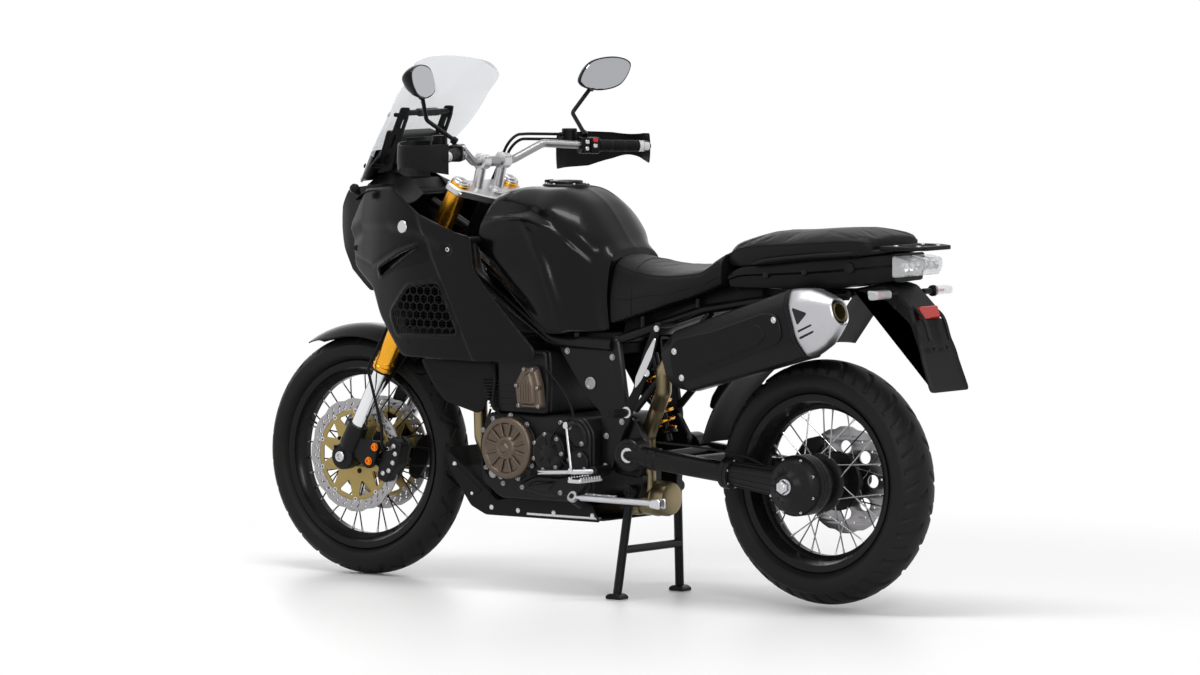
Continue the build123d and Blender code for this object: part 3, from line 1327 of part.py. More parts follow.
with BuildPart() as passenger_seat:
    loft(
        [
            body_section(-505.6, [(0, 944), (98, 938), (118, 920), (122, 908), (118, 898)]),
            body_section(-560, [(0, 975), (110, 968), (134, 944), (138, 912), (130, 896.4)]),
            body_section(-700, [(0, 988), (116, 982), (140, 960), (142, 930), (134, 912.4)]),
            body_section(tail_x(-900), [(0, 1000), (104, 994), (126, 974), (128, 950), (120, 934.4)]),
            body_section(tail_x(-958), [(0, 990), (86, 984), (106, 968), (108, 956), (100, 939.6)]),
        ],
        ruled=True,
    )
passenger_seat.part.label = "passenger_seat"
export_step(passenger_seat.part, "parts/passenger_seat.step")

TAIL_PLAN = [
    (-520, 142),
    (-760, 134),
    (-940, 104),
    (-1000, 74),
    (-1000, -74),
    (-940, -104),
    (-760, -134),
    (-520, -142),
]
TAIL_SIDE = [
    (-520, 876),
    (-560, 896),
    (-700, 912),
    (-900, 934),
    (-1000, 942),
    (-1000, 868),
    (-810, 842),
    (-560, 838),
]
LAMP_SIDE = [(-1000.3, 878), (-1046, 882), (-1052, 930), (-1000.3, 938)]

with BuildPart() as tail_cowl:
    plan_slab(tail_points(TAIL_PLAN), 800, 1000, corner=14)
    side_slab(tail_points(TAIL_SIDE), -200, 200, mode=Mode.INTERSECT)
tail_cowl.part.label = "tail_cowl"
export_step(tail_cowl.part, "parts/tail_cowl.step")

RACK_SIDE = [(-966, 942.3), (-966, 962), (-1094, 962), (-1094, 950), (-1040, 942.3)]

with BuildPart() as luggage_rack:
    side_slab(tail_points(RACK_SIDE), -96, 96, corner=4)
    with BuildSketch(Plane.XY.offset(980)) as slots:
        with Locations((tail_x(-1030), 0)):
            with GridLocations(60, 120, 2, 2):
                Circle(3.3)
            SlotOverall(90, 26)
    extrude(slots.sketch, amount=-60, mode=Mode.SUBTRACT)
luggage_rack.part.label = "luggage_rack"
export_step(luggage_rack.part, "parts/luggage_rack.step")

with BuildPart() as tail_light:
    for low, high in ((-82.0, -4.0), (4.0, 82.0)):
        side_slab(tail_points(LAMP_SIDE), low, high, corner=6)
tail_light.part.label = "tail_light"
export_step(tail_light.part, "parts/tail_light.step")

HOLDER_SIDE = [
    (-860, 841.5),
    (-960, 862),
    (-990, 856),
    (-1050, 800),
    (-1127, 590),
    (-1112, 584),
    (-1040, 760),
    (-960, 820),
    (-870, 828),
]
INNER_FENDER_RADIUS = REAR_TYRE_RADIUS + 51
INNER_FENDER_HALF_WIDTH = 78.0
INNER_FENDER_ANGLES = (14.0, 54.0, 95.0)  # above the horizontal ahead of the rear axle
INNER_FENDER_END = (-880.0, 838.0)


def around_rear(angle, radius):
    """A side-view point at an angle and radius about the rear axle."""
    turn = radians(angle)
    return (REAR_AXLE_X + cos(turn) * radius, REAR_AXLE_Z + sin(turn) * radius)


with BuildPart() as plate_holder:
    side_slab(tail_points(HOLDER_SIDE), -62, 62)
    side_slab(tail_points([(-1062, 776), (-1134, 590), (-1127, 586), (-1054, 770)]), -88, 88)
    with BuildSketch(side_plane(INNER_FENDER_HALF_WIDTH)) as sheet:
        outer = [around_rear(angle, INNER_FENDER_RADIUS) for angle in INNER_FENDER_ANGLES]
        inner = [around_rear(angle, INNER_FENDER_RADIUS - PANEL) for angle in INNER_FENDER_ANGLES]
        end = (tail_x(INNER_FENDER_END[0]), INNER_FENDER_END[1])
        end_low = (end[0] - PANEL, end[1] - PANEL)
        with BuildLine():
            ThreePointArc(*outer)
            ThreePointArc(*inner)
            Line(outer[0], inner[0])
            Polyline(outer[-1], end, end_low, inner[-1])
        make_face()
    extrude(sheet.sketch, amount=2 * INNER_FENDER_HALF_WIDTH)
plate_holder.part.label = "plate_holder"
export_step(plate_holder.part, "parts/plate_holder.step")

with BuildPart() as indicators:
    for side in (-1, 1):
        low, high = sorted((side * 62.3, side * 146.0))
        drum(Vector(tail_x(-1000), 0, 838), low, high, 8.0)
        low, high = sorted((side * 104.0, side * 172.0))
        side_slab(tail_points([(-990, 824), (-1022, 828), (-1022, 850), (-984, 852)]), low, high, corner=5)
        start = Vector(700, side * 118, 1040)
        rod(start + Vector(0, side * 45, 10), start + Vector(0, side * 72, 30), 8.0)
indicators.part.label = "indicators"
export_step(indicators.part, "parts/indicators.step")

with BuildPart() as subframe:
    for side in (-1, 1):
        rail = [(-151.8, 106, 689.2), (-420, 106, 776), (-700, 84, 822), (-850, 60, 828)]
        tube_path([(x, side * y, z) for x, y, z in rail], 60, 13.0)
        rod((-187.6, side * 98, 501), (-440, side * 104, 768), 10.0)
        rod((-400, side * 106, 772), (-400, side * 106, 804.9), 8.0)
        rod((-220, side * 106, 713), (-220, side * 106, 751.2), 8.0)
subframe.part.label = "subframe"
export_step(subframe.part, "parts/subframe.step")

# ---------------------------------------------------------------- rests, levers and stands
with BuildPart() as footrests:
    for side in (-1, 1):
        low, high = sorted((side * 124.0, side * 190.0))
        drum(Vector(-116, 0, 340), low, high, 14.0)
        low, high = sorted((side * 190.0, side * 290.0))
        side_slab([(-150, 316), (-106, 316), (-106, 332), (-150, 332)], low, high)
        elbow = Vector(-60, side * 207, 337)
        toe = Vector(50, side * 217, 331)
        rod((-116, side * 184, 340), elbow, 6.0)
        rod(elbow - (toe - elbow).normalized() * 4, toe, 6.0)
        rod(toe - Vector(5, side * 5, 0), toe + Vector(-5, side * 38, 0), 8.0)
    rod((-58, 207, 337), (-32, 196, 462), 4.0)
    drum(Vector(-32, 0, 462), ENGINE_HALF_WIDTH, 202.0, 6.5)
footrests.part.label = "footrests"
export_step(footrests.part, "parts/footrests.step")

PASSENGER_BRACKET = [
    (-322, 744),
    (-284, 660),
    (-250, 560),
    (-222, 520),
    (-214, 490),
    (-244, 484),
    (-272, 540),
    (-316, 640),
    (-346, 744),
]

with BuildPart() as passenger_rests:
    for side in (-1, 1):
        low, high = sorted((side * 190.0, side * 198.0))
        side_slab(PASSENGER_BRACKET, low, high)
        low, high = sorted((side * 119.3, side * 192.0))
        drum(Vector(-332, 0, 736), low, high, 8.0)
        low, high = sorted((side * 196.0, side * 262.0))
        drum(Vector(-230, 0, 502), low, high, 12.0)
passenger_rests.part.label = "passenger_rests"
export_step(passenger_rests.part, "parts/passenger_rests.step")

STAND_FOOT_X = -158.0

with BuildPart() as center_stand:
    for side in (-1, 1):
        low, high = sorted((side * 92.0, side * 116.0))
        drum(STAND_PIVOT, low, high, 16.0)
        rod(STAND_PIVOT + Vector(0, side * 104, 0), (STAND_FOOT_X, side * 138, 14), 12.0)
        drum(STAND_PIVOT, low - 1, high + 1, STAND_PIN_RADIUS + RUNNING_GAP, mode=Mode.SUBTRACT)
        low, high = sorted((side * 120.0, side * 160.0))
        foot = [(-26, 0), (26, 0), (20, 16), (-20, 16)]
        side_slab([(STAND_FOOT_X + x, z) for x, z in foot], low, high)
    rod((STAND_FOOT_X - 10, -124, 130), (STAND_FOOT_X - 10, 124, 130), 11.0)
center_stand.part.label = "center_stand"
export_step(center_stand.part, "parts/center_stand.step")

SIDE_LEG = 290.0
SIDE_NECK = 30.0  # the flat neck next to the pivot, which clears the lug

with BuildPart() as side_stand:
    rod(SIDE_PIVOT - SIDE_AXIS * (SIDE_LUG - 0.5), SIDE_PIVOT + SIDE_AXIS * SIDE_LUG, 15.0)
    rod(SIDE_PIVOT + SIDE_STOWED * 8, SIDE_PIVOT + SIDE_STOWED * SIDE_NECK, SIDE_LUG - 0.6)
    rod(SIDE_PIVOT + SIDE_STOWED * (SIDE_NECK - 4), SIDE_PIVOT + SIDE_STOWED * SIDE_LEG, 9.0)
    bore = SIDE_PIN_RADIUS + RUNNING_GAP
    rod(SIDE_PIVOT - SIDE_AXIS * 9, SIDE_PIVOT + SIDE_AXIS * 9, bore, mode=Mode.SUBTRACT)
    tip = SIDE_PIVOT + SIDE_STOWED * SIDE_LEG
    pad = [(-30, -14), (6, -10), (6, 10), (-30, 14)]
    side_slab([(tip.X + x, tip.Z + z) for x, z in pad], tip.Y - 12, tip.Y + 22)
side_stand.part.label = "side_stand"
export_step(side_stand.part, "parts/side_stand.step")
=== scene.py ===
"""Looks of an adventure motorcycle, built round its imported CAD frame.

Every sub-assembly is a class that makes its smooth pieces as parametric surfaces in millimetres, gives them a
finish and lets them ride on the CAD body that they belong to.
"""

import sys
import logging
import math
from collections.abc import Callable, Iterable, Sequence
from dataclasses import dataclass
from enum import Enum
from typing import Protocol

import bmesh
import bpy
import numpy as np
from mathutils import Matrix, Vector
from mathutils.bvhtree import BVHTree
from mathutils.geometry import delaunay_2d_cdt


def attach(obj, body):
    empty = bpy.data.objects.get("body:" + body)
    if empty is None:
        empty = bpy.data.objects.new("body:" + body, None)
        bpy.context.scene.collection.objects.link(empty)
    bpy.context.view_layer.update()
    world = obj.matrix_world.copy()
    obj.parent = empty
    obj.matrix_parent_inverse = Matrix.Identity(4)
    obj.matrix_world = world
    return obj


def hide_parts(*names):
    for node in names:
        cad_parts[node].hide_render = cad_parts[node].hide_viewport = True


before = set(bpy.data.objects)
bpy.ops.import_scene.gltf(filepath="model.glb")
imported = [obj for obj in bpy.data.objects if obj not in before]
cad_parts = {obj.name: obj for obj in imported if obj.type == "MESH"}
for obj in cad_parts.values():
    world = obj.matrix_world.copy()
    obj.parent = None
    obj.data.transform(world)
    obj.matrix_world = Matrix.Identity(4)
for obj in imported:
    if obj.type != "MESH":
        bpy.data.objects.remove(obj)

LOG = logging.getLogger("motorcycle")
MM = 0.001

# ------------------------------------------------------------------ places, in millimetres
FRONT_AXLE = np.array([796.0, 0.0, 329.0])
REAR_AXLE = np.array([-744.0, 0.0, 333.0])
LEAN = math.radians(28.0)
UP = np.array([-math.sin(LEAN), 0.0, math.cos(LEAN)])
AHEAD = np.array([math.cos(LEAN), 0.0, math.sin(LEAN)])
ACROSS = np.array([0.0, 1.0, 0.0])
FORK_SPREAD = 105.0
PIVOT = np.array([-205.0, 0.0, 385.0])
DRIVE = (REAR_AXLE - PIVOT) / np.linalg.norm(REAR_AXLE - PIVOT)
GRIP_START = np.array([262.0, 290.0, 1176.0])
GRIP_END = np.array([193.0, 418.0, 1172.0])
GRIP_ALONG = (GRIP_END - GRIP_START) / np.linalg.norm(GRIP_END - GRIP_START)
GRIP_RUN = float(np.linalg.norm(GRIP_END - GRIP_START))
SIDES = (1, -1)


def fork_point(height: float, y: float = 0.0, ahead: float = 0.0) -> np.ndarray:
    """A point by its height along the fork, its y and its distance ahead of the tubes."""
    return FRONT_AXLE + UP * height + AHEAD * ahead + ACROSS * y


def grip_point(along: float, side: int, ahead: float = 0.0, rise: float = 0.0) -> np.ndarray:
    """A point beside a grip: distance along it, ahead of it and above it."""
    forward = -np.cross([0.0, 0.0, 1.0], GRIP_ALONG)
    return flip(GRIP_START + GRIP_ALONG * along + forward * ahead + np.array([0.0, 0.0, rise]), side)


def arm_point(distance: float, y: float) -> np.ndarray:
    """A point on the line from the swingarm pivot to the rear axle."""
    return PIVOT + DRIVE * distance + ACROSS * y


def flip(point: Sequence[float], side: int) -> np.ndarray:
    """A left-side point, moved to the right side when side is -1."""
    return np.asarray(point, float) * np.array([1.0, side, 1.0])


def unit(vector: Sequence[float]) -> np.ndarray:
    """The vector at length one."""
    vector = np.asarray(vector, float)
    return vector / np.linalg.norm(vector)


def basis(direction: Sequence[float], hint: Sequence[float] = (0.0, 0.0, 1.0)) -> tuple[np.ndarray, np.ndarray]:
    """Two unit vectors square to a direction, the first one as near to the hint as it can be."""
    direction = unit(direction)
    hint = np.asarray(hint, float)
    if abs(direction @ hint) > 0.98:
        hint = np.array([1.0, 0.0, 0.0])
    first = unit(hint - direction * (hint @ direction))
    return first, np.cross(direction, first)


# ------------------------------------------------------------------ outlines
def rounded(points: Sequence[Sequence[float]], radius: float, steps: int = 5) -> np.ndarray:
    """A closed outline with every corner turned into an arc.

    Each corner is replaced by a quadratic curve that starts and ends at most the radius away from it along both
    edges, and at most 45 % of an edge.

    Args:
        points: Corners of the outline, in the plane.
        radius: Distance from a corner to where its curve starts.
        steps: Points on each curve.

    Returns:
        The outline's points, n rows of two.
    """
    p = np.asarray(points, float)
    before, after = np.roll(p, 1, 0) - p, np.roll(p, -1, 0) - p
    long_before = np.linalg.norm(before, axis=1, keepdims=True)
    long_after = np.linalg.norm(after, axis=1, keepdims=True)
    start = p + before / long_before * np.minimum(radius, 0.45 * long_before)
    end = p + after / long_after * np.minimum(radius, 0.45 * long_after)
    t = np.linspace(0, 1, steps)[None, :, None]
    curve = start[:, None] * (1 - t) ** 2 + 2 * p[:, None] * t * (1 - t) + end[:, None] * t**2
    return curve.reshape(-1, 2)


def inset(outline: np.ndarray, distance: float) -> np.ndarray:
    """The outline moved inwards by a distance, corner by corner along the bisectors."""
    ahead = np.roll(outline, -1, 0) - outline
    ahead /= np.maximum(np.linalg.norm(ahead, axis=1, keepdims=True), 1e-9)
    behind = np.roll(ahead, 1, 0)
    x, y = outline[:, 0], outline[:, 1]
    turn = np.sign(np.sum(x * np.roll(y, -1) - np.roll(x, -1) * y))
    normal = np.stack([-(ahead + behind)[:, 1], (ahead + behind)[:, 0]], 1) * turn
    length = np.linalg.norm(normal, axis=1, keepdims=True)
    normal = normal / np.maximum(length, 1e-9)
    return outline + normal * distance / np.maximum(length / 2, 0.5)


def smooth_line(points: Sequence[Sequence[float]], steps: int, closed: bool = False) -> np.ndarray:
    """Points along a Catmull-Rom curve through the given points, evenly spread between each pair."""
    p = np.asarray(points, float)
    if closed:
        p = np.concatenate([p[-1:], p, p[:2]])
    else:
        p = np.concatenate([2 * p[:1] - p[1:2], p, 2 * p[-1:] - p[-2:-1]])
    t = np.linspace(0, 1, steps, endpoint=False)[None, :, None]
    a, b, c, d = (p[i : len(p) - 3 + i][:, None] for i in range(4))
    curve = 0.5 * (2 * b + (c - a) * t + (2 * a - 5 * b + 4 * c - d) * t**2 + (3 * b - a - 3 * c + d) * t**3)
    curve = curve.reshape(-1, p.shape[1])
    return curve if closed else np.concatenate([curve, p[-2:-1]])


def bent(points: Sequence[Sequence[float]], radius: float, steps: int = 7) -> np.ndarray:
    """An open line whose inner corners are turned into curves of about this radius."""
    p = [np.asarray(q, float) for q in points]
    t = np.linspace(0, 1, steps)[:, None]
    out = [p[0][None]]
    for before, corner, after in zip(p[:-2], p[1:-1], p[2:]):
        back, on = before - corner, after - corner
        angle = math.acos(np.clip(unit(back) @ unit(on), -1, 1))
        reach = min(radius / max(math.tan(angle / 2), 1e-3), 0.48 * np.linalg.norm(back), 0.48 * np.linalg.norm(on))
        start, end = corner + unit(back) * reach, corner + unit(on) * reach
        out.append(start * (1 - t) ** 2 + 2 * corner * t * (1 - t) + end * t**2)
    return np.concatenate([*out, p[-1][None]])


def span(side: int, inner: float, outer: float) -> list[float]:
    """The lower and the higher Y of what lies between two distances from the middle, on one side."""
    return sorted((side * inner, side * outer))


# ------------------------------------------------------------------ shapes
class Assembly(Protocol):
    """A sub-assembly that makes its own pieces."""

    def build(self) -> None:
        """Make all of its pieces."""


class Shape:
    """Points in millimetres with their faces, grown part by part and turned into one object."""

    def __init__(self) -> None:
        """Start with nothing."""
        self.points: list[np.ndarray] = []
        self.faces: list[np.ndarray] = []
        self.count = 0

    def add(self, points: np.ndarray, faces: Iterable[np.ndarray]) -> "Shape":
        """Add points and the faces between them; each face array holds faces of one size."""
        points = np.asarray(points, float).reshape(-1, 3)
        self.points.append(points)
        self.faces += [np.atleast_2d(np.asarray(f, int)) + self.count for f in faces]
        self.count += len(points)
        return self

    def loft(self, rings: np.ndarray, caps: bool = True, around: bool = True, along: bool = False) -> "Shape":
        """Join rings of points into a skin.

        Point j of ring i joins its two neighbours on that ring and on the next one, as a grid of quads.

        Args:
            rings: Array of rings, each with the same number of points.
            caps: Close the first and last ring with a flat face.
            around: The last point of each ring joins the first.
            along: The last ring joins the first.

        Returns:
            This shape.
        """
        rings = np.asarray(rings, float)
        rows, columns = rings.shape[:2]
        index = np.arange(rows * columns).reshape(rows, columns)
        if around:
            index = np.concatenate([index, index[:, :1]], 1)
        if along:
            index = np.concatenate([index, index[:1]], 0)
        quads = np.stack([index[:-1, :-1], index[1:, :-1], index[1:, 1:], index[:-1, 1:]], -1).reshape(-1, 4)
        faces = [quads]
        if caps and not along:
            faces += [np.arange(columns)[None], (np.arange(columns)[::-1] + (rows - 1) * columns)[None]]
        return self.add(rings, faces)

    def tube(self, path: Sequence[Sequence[float]], radius: float | Sequence[float], sides: int = 20) -> "Shape":
        """Sweep a circle along a line, turning it as little as possible from point to point.

        Args:
            path: Points of the line.
            radius: One radius, or one for each point.
            sides: Points round the circle.

        Returns:
            This shape.
        """
        path = np.asarray(path, float)
        keep = np.concatenate([[True], np.linalg.norm(np.diff(path, axis=0), axis=1) > 1e-6])
        path = path[keep]
        radii = np.broadcast_to(np.asarray(radius, float), keep.shape)[keep] if np.ndim(radius) else radius
        radii = np.broadcast_to(radii, len(path))
        tangent = np.gradient(path, axis=0)
        tangent /= np.linalg.norm(tangent, axis=1, keepdims=True)
        first = [basis(tangent[0])[0]]
        for t in tangent[1:]:
            first.append(unit(first[-1] - t * (first[-1] @ t)))
        first = np.array(first)
        second = np.cross(tangent, first)
        turn = np.linspace(0, 2 * np.pi, sides, endpoint=False)[None, :, None]
        ring = first[:, None] * np.cos(turn) + second[:, None] * np.sin(turn)
        return self.loft(path[:, None] + ring * radii[:, None, None])

    def rod(self, start: Sequence[float], end: Sequence[float], radius: float, last: float | None = None,
            sides: int = 20, ease: float = 0.8) -> "Shape":
        """A straight bar, or a cone when the last radius differs, with its end edges eased."""
        start, end = np.asarray(start, float), np.asarray(end, float)
        last = radius if last is None else last
        long = float(np.linalg.norm(end - start))
        ease = min(ease, long / 3, radius / 2, last / 2)
        return self.lathe(start, end - start, [(0, radius - ease), (ease, radius), (long - ease, last),
                                               (long, last - ease)], sides)

    def lathe(self, origin: Sequence[float], direction: Sequence[float], profile: Sequence[Sequence[float]],
              sides: int = 48, closed: bool = False, twist: float = 0.0) -> "Shape":
        """Turn a profile round an axis.

        A point of the profile at (a, r) becomes the circle of radius r whose centre is a along the axis.

        Args:
            origin: A point of the axis.
            direction: The axis.
            profile: Rows of distance along the axis and radius.
            sides: Points round the axis.
            closed: The profile is a loop, such as a tyre's section; otherwise both ends are capped.
            twist: Angle of the first point round the axis, in radians.

        Returns:
            This shape.
        """
        direction = unit(direction)
        first, second = basis(direction)
        profile = np.asarray(profile, float)
        turn = np.linspace(0, 2 * np.pi, sides, endpoint=False)[None, :, None] + twist
        ring = first * np.cos(turn) + second * np.sin(turn)
        rings = np.asarray(origin, float) + direction * profile[:, 0, None, None] + ring * profile[:, 1, None, None]
        return self.loft(rings, caps=not closed, along=closed)

    def prism(self, outline: np.ndarray, origin: Sequence[float], x: Sequence[float], y: Sequence[float],
              low: float, high: float, ease: float = 1.5, draft: float = 0.0) -> "Shape":
        """A slab with this outline, its edges eased.

        Args:
            outline: Closed outline in the plane.
            origin: Where the plane's own origin lies.
            x: Direction of the outline's first number.
            y: Direction of the outline's second number.
            low: Where the slab starts, along x cross y.
            high: Where the slab ends.
            ease: Width of the eased edges.
            draft: How far the high face is drawn in, on top of that.

        Returns:
            This shape.
        """
        outline = np.asarray(outline, float)
        x, y = unit(x), unit(y)
        z = np.cross(x, y)
        ease = min(ease, abs(high - low) * 0.45)
        sign = 1 if high > low else -1
        levels = [(low, ease), (low + ease * sign, 0.0), (high - ease * sign, draft * 0.9), (high, draft + ease)]
        rings = []
        for level, distance in levels:
            flat = inset(outline, distance) if distance else outline
            rings.append(np.asarray(origin, float) + flat[:, :1] * x + flat[:, 1:] * y + z * level)
        return self.loft(np.array(rings))

    def slab(self, outline: Sequence[Sequence[float]], low: float, high: float, corner: float = 6.0,
             ease: float = 1.5, draft: float = 0.0) -> "Shape":
        """A slab with this side outline between two y values, its corners rounded; draft narrows the high face."""
        flat = rounded(outline, corner) if corner else np.asarray(outline, float)
        return self.prism(flat, (0, 0, 0), (1, 0, 0), (0, 0, 1), -low, -high, ease, draft)

    def bolt(self, centre: Sequence[float], direction: Sequence[float], radius: float = 6.0, high: float = 4.0,
             washer: bool = True) -> "Shape":
        """A socket-head bolt on a washer, pointing out along a direction."""
        centre, direction = np.asarray(centre, float), unit(direction)
        if washer:
            self.lathe(centre, direction, [(-1, radius * 1.3), (1.0, radius * 1.3), (1.2, radius * 1.22)], 20)
        self.lathe(centre, direction, [(-1, radius), (high - 0.8, radius), (high, radius * 0.86), (high, radius * 0.52),
                                       (high * 0.4, radius * 0.5)], 18)
        return self

    def hex_bolt(self, centre: Sequence[float], direction: Sequence[float], radius: float = 7.0,
                 high: float = 5.0) -> "Shape":
        """A hexagonal head on a flange, pointing out along a direction."""
        self.lathe(centre, direction, [(-1, radius * 1.35), (1.2, radius * 1.3), (1.6, radius * 1.1)], 24)
        return self.lathe(centre, direction, [(0, radius), (high - 0.8, radius), (high, radius * 0.8)], 6)

    def moved(self, change: Callable[[np.ndarray], np.ndarray]) -> "Shape":
        """Change every point with a function of the whole array of points."""
        self.points = [change(np.concatenate(self.points))]
        return self

    def build(self, name: str, finish: "Finish", body: str, replaces: Sequence[str] = (), sharp: float = 32.0,
              slot: str | None = None) -> bpy.types.Object:
        """Turn the shape into an object that rides on a CAD body.

        Args:
            name: Name of the piece.
            finish: Its finish.
            body: CAD body that it rides on.
            replaces: CAD nodes that it stands for.
            sharp: Edges that turn by more than this many degrees stay sharp.
            slot: Not used.

        Returns:
            The object.
        """
        points = np.concatenate(self.points) * MM
        mesh = bpy.data.meshes.new(name)
        mesh.vertices.add(len(points))
        mesh.vertices.foreach_set("co", points.astype(np.float32).ravel())
        loops = np.concatenate([f.ravel() for f in self.faces])
        sizes = np.concatenate([np.full(len(f), f.shape[1]) for f in self.faces])
        mesh.loops.add(len(loops))
        mesh.loops.foreach_set("vertex_index", loops.astype(np.int32))
        mesh.polygons.add(len(sizes))
        mesh.polygons.foreach_set("loop_start", (np.cumsum(sizes) - sizes).astype(np.int32))
        mesh.update(calc_edges=True)
        mesh.validate()
        work = bmesh.new()
        work.from_mesh(mesh)
        bmesh.ops.recalc_face_normals(work, faces=work.faces)
        work.to_mesh(mesh)
        work.free()
        return place(mesh, name, finish, body, replaces, sharp)


def place(mesh: bpy.types.Mesh, name: str, finish: "Finish", body: str, replaces: Sequence[str] = (),
          sharp: float = 32.0) -> bpy.types.Object:
    """Make an object of a mesh, shade it, finish it and let it ride on its body."""
    mesh.polygons.foreach_set("use_smooth", np.ones(len(mesh.polygons), bool))
    mesh.set_sharp_from_angle(angle=math.radians(sharp))
    obj = bpy.data.objects.new(name, mesh)
    bpy.context.scene.collection.objects.link(obj)
    obj.data.materials.append(finish.material())
    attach(obj, body)
    if replaces:
        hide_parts(*replaces)
    LOG.info("%s: %d faces", name, len(mesh.polygons))
    return obj


def pierced(outlines: Sequence[np.ndarray], place_at: Callable[[np.ndarray], np.ndarray], thick: float,
            ease: float = 0.6) -> bpy.types.Mesh:
    """A plate with holes, filled from flat outlines and then carried into place.

    Args:
        outlines: The outer outline first, then the holes, all in the plane in millimetres.
        place_at: Turns the plate's points, n rows of flat x, flat y and height, into places in the frame.
        thick: Thickness of the plate.
        ease: Width of the eased edges.

    Returns:
        The plate's mesh, in metres.
    """
    data = bpy.data.curves.new("outline", "CURVE")
    data.dimensions, data.fill_mode = "2D", "BOTH"
    data.extrude, data.bevel_depth, data.bevel_resolution = thick / 2 - ease, ease, 1
    data.offset = -ease
    for outline in outlines:
        spline = data.splines.new("POLY")
        spline.points.add(len(outline) - 1)
        flat = np.concatenate([outline, np.zeros((len(outline), 1)), np.ones((len(outline), 1))], 1)
        spline.points.foreach_set("co", flat.astype(np.float32).ravel())
        spline.use_cyclic_u = True
    carrier = bpy.data.objects.new("outline", data)
    bpy.context.scene.collection.objects.link(carrier)
    bpy.context.view_layer.update()
    evaluated = carrier.evaluated_get(bpy.context.evaluated_depsgraph_get())
    mesh = bpy.data.meshes.new_from_object(evaluated)
    bpy.data.objects.remove(carrier)
    work = bmesh.new()
    work.from_mesh(mesh)
    bmesh.ops.remove_doubles(work, verts=work.verts, dist=1e-4)
    work.to_mesh(mesh)
    work.free()
    points = np.zeros(len(mesh.vertices) * 3, np.float32)
    mesh.vertices.foreach_get("co", points)
    moved = place_at(points.reshape(-1, 3).astype(float)) * MM
    mesh.vertices.foreach_set("co", moved.astype(np.float32).ravel())
    mesh.update()
    return mesh


def ring(radius: float, steps: int = 48, centre: Sequence[float] = (0.0, 0.0), phase: float = 0.0) -> np.ndarray:
    """A circle's points in the plane."""
    turn = np.linspace(0, 2 * np.pi, steps, endpoint=False) + phase
    return np.stack([centre[0] + np.cos(turn) * radius, centre[1] + np.sin(turn) * radius], 1)


# ------------------------------------------------------------------ finishes
class Grain(Enum):
    """How far a finish's grain is drawn out: the scale of its noise along Z."""

    EVEN = 1.0
    BRUSHED = 0.05


def _number(group: bpy.types.NodeTree, name: str, into: bool, kind: str = "NodeSocketFloat",
            value: float = 0.0) -> None:
    """Add one socket to a node group."""
    socket = group.interface.new_socket(name=name, in_out="INPUT" if into else "OUTPUT", socket_type=kind)
    if into and kind == "NodeSocketFloat":
        socket.default_value = value


